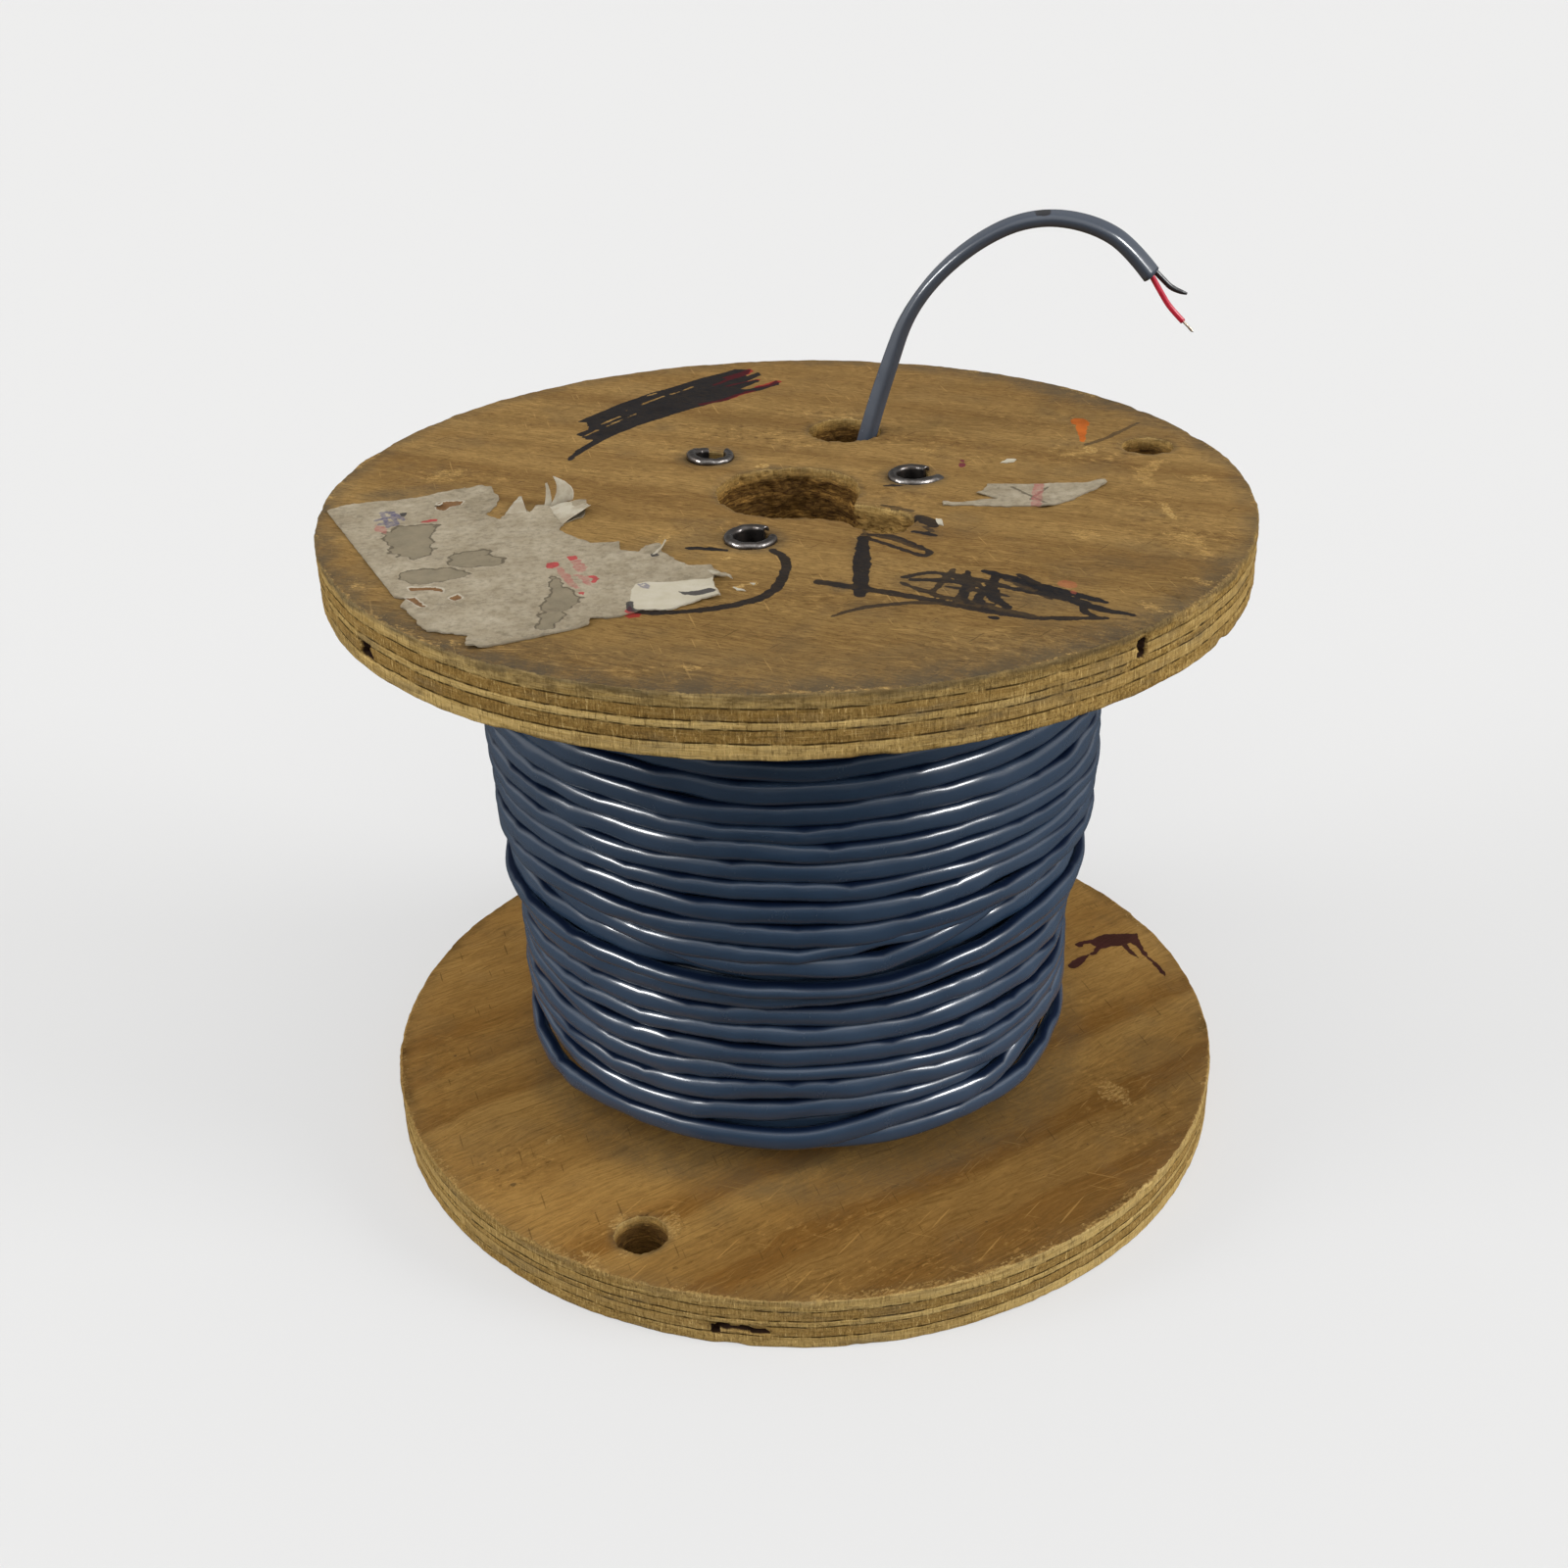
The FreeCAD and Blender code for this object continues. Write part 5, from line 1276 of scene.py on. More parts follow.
def curl(base_a, base_b, tip_a, tip_b, pull, thick=0.22, nu=9, nv=16, seed=0):
    """A sheet that rises from the line base_a..base_b and bends over to tip_a..tip_b."""
    A, B, C, D = [np.array(p, float) for p in (base_a, base_b, tip_a, tip_b)]
    pull = np.array(pull, float)
    u = np.linspace(0, 1, nu)[:, None, None]
    v = np.linspace(0, 1, nv)[None, :, None]
    lo = A + (B - A) * u
    hi = C + (D - C) * u
    mid = (lo + hi) / 2 + pull * (0.8 + 0.4 * u)
    S = lo * (1 - v) ** 2 + 2 * mid * v * (1 - v) + hi * v ** 2
    jag = 0.22 * vnoise(u[..., 0] * 7, v[..., 0] * 9, seed, 61 + seed)
    S[..., 2] += jag
    du = np.gradient(S, axis=0)
    dv = np.gradient(S, axis=1)
    nrm = np.cross(du, dv)
    nrm /= np.linalg.norm(nrm, axis=-1)[..., None] + 1e-12
    top, bot = S + nrm * thick / 2, S - nrm * thick / 2
    P = np.vstack([top.reshape(-1, 3), bot.reshape(-1, 3)])
    ids = np.arange(nu * nv).reshape(nu, nv)
    q = np.stack([ids[:-1, :-1], ids[1:, :-1], ids[1:, 1:], ids[:-1, 1:]], -1).reshape(-1, 4)
    m = nu * nv
    ring = np.concatenate([ids[:, 0], ids[-1, 1:], ids[::-1, -1][1:], ids[0, ::-1][1:-1]])
    nx = np.roll(ring, -1)
    side = np.stack([ring, m + ring, m + nx, nx], -1)
    return P, np.vstack([q, q[:, ::-1] + m, side]), np.zeros((0, 3), int)


PRINT_RED = (((-117.0, -20.3), (-112.0, -18.2), (-111.7, -20.9), (-116.6, -22.1)),
             ((-73.2, -58.8), (-69.6, -57.7), (-68.9, -61.2), (-70.7, -63.4), (-72.7, -62.8)),
             ((-67.5, -54.1), (-64.6, -53.2), (-63.5, -56.0), (-66.0, -57.4)),
             ((-59.6, -69.9), (-57.4, -69.2), (-56.2, -72.1), (-57.2, -75.2), (-58.4, -74.6), (-57.9, -72.0)),
             ((-61.6, -81.6), (-59.4, -81.4), (-59.8, -84.4), (-61.4, -83.4)),
             ((-45.9, -92.8), (-44.2, -97.6), (-41.0, -99.6), (-45.0, -101.4), (-47.0, -97.0)))
PRINT_PINK = (((-65.8, -58.2), (-62.8, -56.2), (-59.9, -65.3), (-62.4, -66.7), (-64.1, -63.2)),
              ((-70.4, -62.6), (-68.2, -61.4), (-61.1, -79.8), (-59.4, -81.0), (-60.4, -83.0), (-66.4, -73.5)),
              ((-63.4, -68.6), (-58.6, -71.2), (-58.2, -77.4), (-59.9, -76.0)),
              ((-132.0, -22.0), (-127.6, -24.6), (-126.4, -30.0), (-130.4, -28.4)))
TORN = (((-127.1, -30.7), (-123.7, -25.0), (-111.7, -24.2), (-110.2, -37.0), (-108.3, -50.3), (-114.2, -52.1), (-121.5, -48.3)),
        ((-103.8, -55.0), (-102.1, -49.6), (-94.1, -46.7), (-87.4, -54.0), (-87.2, -59.4), (-95.6, -61.0), (-102.5, -58.4)),
        ((-116.7, -63.9), (-112.8, -61.0), (-102.2, -60.0), (-96.1, -65.3), (-100.8, -70.2), (-107.7, -72.9), (-114.6, -70.4)),
        ((-71.3, -65.8), (-70.1, -72.2), (-69.9, -84.5), (-71.1, -92.4), (-70.2, -103.1), (-71.7, -107.7), (-70.9, -110.0),
         (-67.3, -107.6), (-66.9, -104.2), (-63.7, -96.8), (-60.8, -85.1), (-62.6, -82.8), (-67.0, -74.4)))
BARE = (((-112.1, -75.6), (-106.5, -75.3), (-101.8, -77.1), (-101.1, -79.6), (-106.2, -77.6), (-111.3, -77.9)),
        ((-98.9, -83.8), (-96.8, -81.6), (-94.9, -84.0), (-97.0, -86.3)),
        ((-113.9, -9.9), (-113.9, -4.4), (-111.4, -2.9), (-105.5, -2.9), (-106.2, -6.3), (-109.6, -8.2), (-110.9, -11.3)),
        ((-111.5, -83.6), (-109.0, -83.2), (-104.8, -90.0), (-106.4, -90.4)))
CLEAN = ((-46.0, -81.0), (-45.0, -76.9), (-42.3, -75.7), (-34.2, -76.0), (-27.8, -74.6), (-21.5, -74.2), (-20.3, -81.6), (-19.0, -90.7),
         (-22.7, -91.5), (-25.0, -93.6), (-30.4, -95.6), (-38.8, -98.9), (-44.3, -96.6), (-45.9, -92.5))
DARK_MARKS = (((-32.8, -83.0), (-30.0, -84.0), (-26.4, -83.0), (-22.9, -81.0), (-21.0, -83.2), (-22.0, -85.7), (-27.5, -87.0), (-30.6, -86.0)),
              ((-42.2, -53.5), (-40.2, -52.3), (-39.0, -54.6), (-41.2, -56.0)),
              ((-125.0, -12.6), (-122.8, -12.0), (-122.6, -15.6), (-124.2, -16.0)))
BLUE_MARKS = ([(-131.0, -12.0), (-128.6, -18.5), (-126.6, -25.0)], [(-127.5, -11.5), (-126.2, -17.6), (-124.0, -22.4)],
              [(-131.6, -18.6), (-128.0, -16.0), (-123.6, -16.6)], [(-130.0, -22.6), (-127.0, -21.0), (-124.4, -24.4)],
              [(-129.4, -11.2), (-126.0, -13.8), (-122.8, -18.8)])
BLUE_SMALL = ([(-44.2, -76.9), (-43.2, -79.6)], [(-43.4, -77.6), (-42.4, -76.9), (-41.5, -78.0), (-42.3, -79.6), (-43.2, -78.8)],
              [(-42.6, -80.0), (-41.2, -80.6), (-41.0, -78.8)])


def gap_all(x, y, polys):
    d = np.full(np.shape(x), 60.0)
    for p in polys:
        d = np.minimum(d, area_gap(x, y, p))
    return d


def label_masks(x, y):
    wob = 0.35 * vnoise(x / 1.9, y / 1.9, 0, 501) + 0.25 * vnoise(x / 0.8, y / 0.8, 0, 502)
    red = gap_all(x, y, PRINT_RED) + wob * 0.5
    pink = gap_all(x, y, PRINT_PINK) + wob * 1.6
    torn = gap_all(x, y, TORN) + wob + 1.3 * vnoise(x / 4.6, y / 3.2, 0, 503) + 0.9 * vnoise(x / 1.9, y / 1.6, 0, 504)
    bare = gap_all(x, y, BARE) + wob * 0.6
    clean = area_gap(x, y, CLEAN) + wob * 0.4
    dark = gap_all(x, y, DARK_MARKS) + wob * 0.35
    pen = line_gap(x, y, curve(STROKES[1][0]))[0] - 1.1
    dark = np.minimum(dark, pen + wob * 0.5)
    blue = np.full(np.shape(x), 60.0)
    for s in BLUE_MARKS:
        blue = np.minimum(blue, line_gap(x, y, s)[0] - 0.85)
    for s in BLUE_SMALL:
        blue = np.minimum(blue, line_gap(x, y, s)[0] - 0.42)
    blue = blue + wob * 0.7
    return red, pink, torn, bare, clean, dark, blue


def label_base(x, y):
    h = top_height_up(x, y)
    return 231.0 + h * 0.6


def label_height(x, y):
    red, pink, torn, bare, clean, dark, blue = label_masks(x, y)
    z = label_base(x, y)
    z = z + 0.10 + 0.10 * fbm(x / 9.0, y / 9.0, 0, 511, 3)
    z = z - 0.14 * smooth(0.35, -0.25, torn) - 0.20 * smooth(0.3, -0.3, bare) + 0.10 * smooth(0.3, -0.3, clean)
    # edges of the torn patches are lifted
    z = z + 0.12 * np.exp(-((torn - 0.6) / 0.5) ** 2) + 0.16 * np.exp(-((bare - 0.6) / 0.5) ** 2)
    # creases
    z = z + 0.12 * np.exp(-(vnoise(x / 11.0, y / 11.0, 0, 515) / 0.06) ** 2)
    e = gap_edge(x, y)
    # lifted places along the outline
    lift = np.zeros(np.shape(x))
    for cx, cy, rad, hh in ((-18.5, -75.0, 6.0, 1.5), (-21.0, -88.0, 5.0, 0.9), (-87.2, -4.0, 8.0, 1.0), (-98.5, 8.0, 6.0, 0.5), (-66.5, -12.0, 8.0, 2.2),
                            (-39.5, -47.5, 4.0, 0.8), (-51.5, -45.0, 4.0, 0.6), (-88.0, -118.5, 5.0, 0.8), (-56.5, -104.0, 5.0, 0.6), (-101.5, 10.0, 4, 0.5),
                            (-111.5, -6.0, 3.5, 0.6), (-147.0, -9.0, 6.0, 0.35), (-25.0, -92.5, 5.0, 0.5), (-105, -66, 4, 0.35), (-124, -26, 4, 0.35)):
        d = np.hypot(x - cx, y - cy)
        lift = np.maximum(lift, hh * smooth(rad, rad * 0.15, d))
    return z + lift + 0.10 * smooth(1.8, 0.2, -e)


_outline = ragged(LABEL, 0.8, 0.42, 601, CUT_EDGES)
_out_t = [tuple(p) for p in _outline]


def gap_edge(x, y):
    return area_gap(x, y, LABEL)


def want_fine(x, y):
    red, pink, torn, bare, clean, dark, blue = label_masks(x, y)
    m = np.minimum.reduce([np.abs(q) for q in (red, pink, torn, bare, clean, dark, blue)])
    return m < 1.5


lv, lq, lt = paper_sheet(_outline, label_height, 0.22, 1.9, (0.8, want_fine), 71)
parts = [(lv, lq, lt)]
# curled tatters that stand up from the torn edge
parts.append(curl((-78.6, -9.6, 231.1), (-76.2, -9.0, 231.1), (-77.9, -6.4, 238.0), (-77.4, -6.2, 238.1), (0.9, -1.2, 0.6), seed=1))
parts.append(curl((-76.9, -9.8, 231.2), (-69.8, -6.6, 232.0), (-75.2, -7.2, 240.6), (-74.5, -6.9, 240.2), (4.4, 0.6, 0.6), seed=2, nu=12, nv=20))
parts.append(curl((-77.2, -10.4, 231.2), (-71.2, -26.0, 231.3), (-67.4, -9.6, 233.2), (-62.9, -14.6, 233.0), (0.6, -1.0, 1.2), seed=3, nu=14, nv=16))
parts.append(curl((-90.6, -16.0, 231.1), (-83.6, -15.0, 231.1), (-87.4, -3.4, 232.6), (-86.6, -3.2, 232.6), (0.0, 0.0, 0.6), seed=4, nu=10, nv=12))
parts.append(curl((-41.6, -54.2, 231.2), (-40.6, -53.6, 231.2), (-37.4, -49.2, 234.2), (-37.1, -49.4, 234.1), (0.6, -0.2, -0.6), seed=5, nu=4, nv=10))
parts.append(curl((-24.6, -66.5, 231.2), (-21.6, -72.5, 231.2), (-17.4, -76.6, 232.8), (-16.4, -77.6, 232.6), (0.4, 0.4, 0.8), seed=6, nu=8, nv=12))
parts.append(curl((-115.2, -7.0, 231.1), (-112.0, -5.6, 231.1), (-112.8, -9.4, 232.4), (-111.8, -8.6, 232.6), (0.0, 0.6, 0.8), seed=7, nu=6, nv=8))


def unite(name, parts):
    vs, qs, ts, off = [], [], [], 0
    for v, q, t in parts:
        vs.append(v); qs.append(np.asarray(q).reshape(-1, 4) + off); ts.append(np.asarray(t).reshape(-1, 3) + off)
        off += len(v)
    return fast_mesh(name, np.vstack(vs) * MM, np.vstack(qs), np.vstack(ts)), np.vstack(vs)


label_paper, PP = unite("label_paper_torn", parts)
red, pink, torn, bare, clean, dark, blue = label_masks(PP[:, 0], PP[:, 1])
n0 = len(lv)
low_lying = (np.arange(len(PP)) < n0).astype(float)
edge_in = -gap_edge(PP[:, 0], PP[:, 1])
set_colour(label_paper, "print", np.column_stack([ink_value(red) * low_lying, ink_value(pink) * low_lying, ink_value(blue) * low_lying, ink_value(dark) * low_lying]))
set_colour(label_paper, "torn", np.column_stack([ink_value(torn) * low_lying, ink_value(bare) * low_lying,
                                                 np.where(low_lying > 0, ink_value(clean), 1.0), np.clip(edge_in / 6.0, 0, 1) * low_lying]))

# ---- the small scrap and a few shreds
so = ragged(SCRAP, 0.7, 0.32, 641)


def scrap_height(x, y):
    z = 231.0 + top_height_up(x, y) * 0.7 + 0.10
    for cx, cy, rad, hh in ((105, 0, 6, 0.9), (50.5, -16, 4, 0.4), (83, -21, 4, 0.6), (63, -8, 4, 0.5)):
        z = z + hh * smooth(rad, rad * 0.2, np.hypot(x - cx, y - cy))
    return z + 0.14 * np.exp(-(vnoise(x / 7.0, y / 7.0, 0, 535) / 0.08) ** 2) + 0.08 * fbm(x / 5.0, y / 5.0, 0, 536, 3)


label_scrap, PS = unite("label_scrap_torn", [paper_sheet(so, scrap_height, 0.20, 1.0, None, 81)])
stripe = line_gap(PS[:, 0], PS[:, 1], [(84.2, 2.5), (82.0, -8.0), (79.6, -22.5)])[0] - 1.7 + 0.5 * vnoise(PS[:, 0] / 1.5, PS[:, 1] / 1.5, 0, 7)
cross = np.minimum(line_gap(PS[:, 0], PS[:, 1], [(74.5, -2.0), (78.5, -9.0), (83.5, -17.0)])[0] - 0.35,
                   line_gap(PS[:, 0], PS[:, 1], [(86.0, -3.0), (79.0, -14.0)])[0] - 0.3)
z0s = np.zeros(len(PS))
set_colour(label_scrap, "print", np.column_stack([z0s, ink_value(np.minimum(stripe, 60)), z0s, z0s]))
set_colour(label_scrap, "torn", np.column_stack([ink_value(cross) * 0.9, z0s, z0s + 0.42, np.clip(-area_gap(PS[:, 0], PS[:, 1], SCRAP) / 3.0, 0, 1)]))

shreds = []
for poly, sd in ((((73.2, 22.6), (76.0, 26.2), (79.2, 25.4), (78.0, 23.4), (75.4, 22.2)), 1), (((47.2, -29.0), (48.9, -29.6), (49.2, -35.2), (47.5, -33.6)), 2),
                 (((-16.4, -80.2), (-13.0, -82.6), (-12.6, -83.6), (-15.2, -82.8)), 3), (((-11.4, -77.2), (-9.9, -77.6), (-10.2, -78.8)), 4),
                 (((-109.4, 8.0), (-107.2, 10.6), (-106.4, 9.6), (-107.8, 7.6)), 5)):
    shreds.append(paper_sheet(ragged(poly, 0.5, 0.2, 660 + sd), lambda x, y: 231.02 + top_height_up(x, y) * 0.7 + 0.15 * vnoise(x, y, 0, 3), 0.16, 0.8, None, 90 + sd))
paper_shreds, PH = unite("paper_shreds", shreds)
z0h = np.zeros(len(PH))
set_colour(paper_shreds, "print", np.column_stack([z0h, z0h, z0h, z0h]))
set_colour(paper_shreds, "torn", np.column_stack([z0h, z0h, z0h + 0.6, z0h + 0.5]))

# ------------------------------------------------------------------ tie tubes
def tie_tube(name, at, gap_az, gap_deg, crest, reach, pinch, seed, n_ang=132):
    """A rolled strip with a slit, curled out over the board at both ends. crest and reach give the upper
    curl's height and spread at angles round the tube, in degrees from the middle of the slit."""
    ri, wall = 5.15, 1.2
    a = np.radians(gap_az) + np.radians(np.linspace(gap_deg / 2, 360 - gap_deg / 2, n_ang))
    rel = np.degrees(a - math.radians(gap_az))
    cr = np.interp(rel, *zip(*crest)) + 0.10 * vnoise(rel / 16.0, seed, 0, seed) + 0.05 * vnoise(rel / 6.0, seed, 0, seed + 1)
    re = np.interp(rel, *zip(*reach)) + 0.14 * vnoise(rel / 20.0, seed, 0, seed + 2) + 0.07 * vnoise(rel / 7.0, seed, 0, seed + 3)
    pi_ = np.interp(rel, *zip(*pinch))
    rings = []
    for k in range(n_ang):
        r_in = ri + pi_[k]
        rc = re[k] * 0.42 + 0.64
        mid = r_in + rc
        top = 231.1 + cr[k] - rc
        outer, inner = [], []
        for t in np.linspace(180, -28, 13):
            q = math.radians(t)
            outer.append((mid + rc * math.cos(q), top + rc * math.sin(q)))
        ic = max(rc - wall * 0.82, 0.25)
        for t in np.linspace(-18, 180, 9):
            q = math.radians(t)
            inner.append((mid + ic * math.cos(q), top + ic * math.sin(q)))
        lo_o = [(ri + wall, 3.0), (ri + wall + 0.5, 2.4), (ri + 3.6, 2.15), (ri + 3.75, 1.4), (ri + 2.9, 0.45), (ri + 1.5, 0.2), (ri + 0.35, 0.9), (ri, 2.0)]
        ring = outer + inner + [(ri + wall, 226.0), (ri + wall, 120.0)] + lo_o + [(ri, 120.0), (ri, 226.0)]
        rings.append(ring)
    R = np.array(rings)
    m = R.shape[1]
    x = at[0] + R[..., 0] * np.cos(a)[:, None]
    y = at[1] + R[..., 0] * np.sin(a)[:, None]
    V = np.stack([x, y, R[..., 1]], -1)
    ids = np.arange(n_ang * m).reshape(n_ang, m)
    nxt = np.roll(ids, -1, 1)
    quads = np.stack([ids[:-1], nxt[:-1], nxt[1:], ids[1:]], -1).reshape(-1, 4)
    verts = V.reshape(-1, 3)
    # the two long edges of the slit
    tris = []
    for e, flip in ((0, False), (n_ang - 1, True)):
        prof = R[e]
        res = delaunay_2d_cdt([Vector(p) for p in prof], [(i, (i + 1) % m) for i in range(m)], [], 0, 1e-9)
        orig = np.array([o[0] if len(o) else -1 for o in res[3]])
        for f in res[2]:
            t = orig[list(f)]
            if len(f) != 3 or (t < 0).any():
                continue
            c = prof[t].mean(0)
            if not inside(np.array([c[0]]), np.array([c[1]]), [tuple(p) for p in prof])[0]:
                continue
            p0, p1, p2 = prof[t]
            s = (p1[0] - p0[0]) * (p2[1] - p0[1]) - (p1[1] - p0[1]) * (p2[0] - p0[0])
            t = t if s > 0 else t[::-1]
            t = ids[e][t]
            tris.append(tuple(t[::-1]) if flip else tuple(t))
    o = fast_mesh(name, verts * MM, quads[:, ::-1], np.array(tris))
    zt = verts[:, 2]
    dx, dy = verts[:, 0] - at[0], verts[:, 1] - at[1]
    front = smooth(-0.2, -0.85, dy / (np.hypot(dx, dy) + 1e-9))
    rr = np.hypot(dx, dy)
    # rub: a painted highlight on the outer side of the upper curl's crest, near 232 mm, strongest on the front side and
    # faint all round
    rub = smooth(0.7, 0.1, np.abs(zt - 232.0 + 0.25 * vnoise(dx, dy, 0, 5))) * (0.12 + 0.88 * front) * smooth(6.6, 7.6, rr)
    set_colour(o, "rub", np.column_stack([rub, rub, rub, np.ones(len(rub))]))
    bm = bmesh.new()
    bm.from_mesh(o.data)
    bmesh.ops.recalc_face_normals(bm, faces=bm.faces)
    bm.to_mesh(o.data)
    bm.free()
    return o


tie_1 = tie_tube("tie_tube_1_steel", (-25.6, 35.4), 66, 62,
                 [(30, 1.6), (60, 1.8), (120, 3.0), (170, 2.3), (230, 1.7), (300, 1.6), (332, 1.9)],
                 [(30, 1.9), (60, 2.1), (120, 2.3), (180, 2.3), (250, 2.2), (300, 1.9), (332, 1.5)],
                 [(30, -1.6), (60, -0.8), (110, -0.3), (180, 0.1), (300, 0.2), (332, 0.5)], 3)
tie_2 = tie_tube("tie_tube_2_steel", (42.6, 11.0), 12, 46,
                 [(23, 2.3), (60, 2.2), (120, 2.0), (180, 1.8), (250, 1.5), (310, 1.5), (337, 1.3)],
                 [(23, 1.7), (60, 2.1), (120, 2.1), (200, 2.2), (270, 2.4), (318, 3.2), (337, 4.6)],
                 [(23, -0.5), (90, -0.2), (180, 0.1), (300, 0.0), (337, 0.9)], 5)
tie_3 = tie_tube("tie_tube_3_steel", (-11.4, -43.0), 14, 40,
                 [(20, 3.2), (60, 2.8), (120, 2.4), (200, 1.9), (280, 1.6), (330, 1.8), (340, 2.0)],
                 [(20, 1.6), (60, 1.9), (120, 2.3), (200, 2.3), (270, 2.2), (330, 2.4), (340, 2.2)],
                 [(20, -0.7), (90, -0.3), (180, 0.1), (300, 0.1), (340, 0.2)], 8)

# ------------------------------------------------------------------ materials
class Look:
    """Short names for the shader nodes used below. Lengths in the shaders are millimetres."""

    def __init__(self, name, roughness=0.6, specular=0.4):
        self.m = bpy.data.materials.new(name)
        self.m.use_nodes = True
        self.t = self.m.node_tree
        self.b = self.t.nodes["Principled BSDF"]
        self.b.inputs["Roughness"].default_value = roughness
        self.b.inputs["Specular IOR Level"].default_value = specular
        tc = self.t.nodes.new("ShaderNodeTexCoord")
        self.p = self.vmath("SCALE", tc.outputs["Object"], scale=1000.0)

    def put(self, sock, v):
        if isinstance(v, bpy.types.NodeSocket):
            self.t.links.new(v, sock)
        elif isinstance(v, (tuple, list)):
            sock.default_value = tuple(v) + ((1.0,) if len(v) == 3 and len(sock.default_value) == 4 else ())
        else:
            sock.default_value = v

    def math(self, op, a, b=0.0, c=0.0, clamp=False):
        n = self.t.nodes.new("ShaderNodeMath")
        n.operation = op
        n.use_clamp = clamp
        for s, v in zip(n.inputs, (a, b, c)):
            self.put(s, v)
        return n.outputs[0]

    def vmath(self, op, a, b=None, scale=None):
        n = self.t.nodes.new("ShaderNodeVectorMath")
        n.operation = op
        self.put(n.inputs[0], a)
        if b is not None:
            self.put(n.inputs[1], b)
        if scale is not None:
            self.put(n.inputs["Scale"], scale)
        return n.outputs["Value"] if op in ("LENGTH", "DOT_PRODUCT", "DISTANCE") else n.outputs[0]

    def mix(self, f, a, b, mode="MIX"):
        n = self.t.nodes.new("ShaderNodeMix")
        n.data_type = "RGBA"
        n.blend_type = mode
        n.clamp_factor = True
        self.put(n.inputs[0], f)
        self.put(n.inputs[6], a)
        self.put(n.inputs[7], b)
        return n.outputs[2]

    def blend(self, f, a, b):
        n = self.t.nodes.new("ShaderNodeMix")
        n.data_type = "FLOAT"
        self.put(n.inputs[0], f)
        self.put(n.inputs[2], a)
        self.put(n.inputs[3], b)
        return n.outputs[0]

    def ramp(self, f, stops, how="LINEAR"):
        n = self.t.nodes.new("ShaderNodeValToRGB")
        n.color_ramp.interpolation = how
        e = n.color_ramp.elements
        while len(e) < len(stops):
            e.new(0.5)
        for el, (pos, col) in zip(e, stops):
            el.position = pos
            el.color = (col, col, col, 1) if not isinstance(col, (tuple, list)) else tuple(col) + (1,)
        self.put(n.inputs[0], f)
        return n.outputs[0]

    def step(self, v, a, b, c=0.0, d=1.0):
        n = self.t.nodes.new("ShaderNodeMapRange")
        n.interpolation_type = "SMOOTHSTEP"
        for s, x in zip(n.inputs, (v, a, b, c, d)):
            self.put(s, x)
        return n.outputs[0]

    def line(self, v, a, b, c=0.0, d=1.0):
        n = self.t.nodes.new("ShaderNodeMapRange")
        n.clamp = True
        for s, x in zip(n.inputs, (v, a, b, c, d)):
            self.put(s, x)
        return n.outputs[0]

    def noise(self, vec, scale=1.0, detail=2.0, rough=0.5, warp=0.0, out=0):
        n = self.t.nodes.new("ShaderNodeTexNoise")
        self.put(n.inputs["Vector"], vec)
        n.inputs["Scale"].default_value = scale
        n.inputs["Detail"].default_value = detail
        n.inputs["Roughness"].default_value = rough
        n.inputs["Distortion"].default_value = warp
        return n.outputs[out]

    def cells(self, vec, scale=1.0, feature="F1"):
        n = self.t.nodes.new("ShaderNodeTexVoronoi")
        n.feature = feature
        self.put(n.inputs["Vector"], vec)
        n.inputs["Scale"].default_value = scale
        return n.outputs["Distance"]

    def sep(self, v, colour=False):
        n = self.t.nodes.new("ShaderNodeSeparateColor" if colour else "ShaderNodeSeparateXYZ")
        self.put(n.inputs[0], v)
        return n.outputs[0], n.outputs[1], n.outputs[2]

    def comb(self, x, y, z=0.0):
        n = self.t.nodes.new("ShaderNodeCombineXYZ")
        for s, v in zip(n.inputs, (x, y, z)):
            self.put(s, v)
        return n.outputs[0]

    def attr(self, name):
        n = self.t.nodes.new("ShaderNodeAttribute")
        n.attribute_name = name
        return self.sep(n.outputs["Color"], True) + (n.outputs["Alpha"],)

    def bump(self, height, strength, distance, normal=None):
        n = self.t.nodes.new("ShaderNodeBump")
        n.inputs["Strength"].default_value = strength
        n.inputs["Distance"].default_value = distance
        self.put(n.inputs["Height"], height)
        if normal is not None:
            self.put(n.inputs["Normal"], normal)
        return n.outputs[0]

    def finish(self, colour, rough=None, normal=None):
        self.put(self.b.inputs["Base Color"], colour)
        if rough is not None:
            self.put(self.b.inputs["Roughness"], rough)
        if normal is not None:
            self.put(self.b.inputs["Normal"], normal)
        return self.m


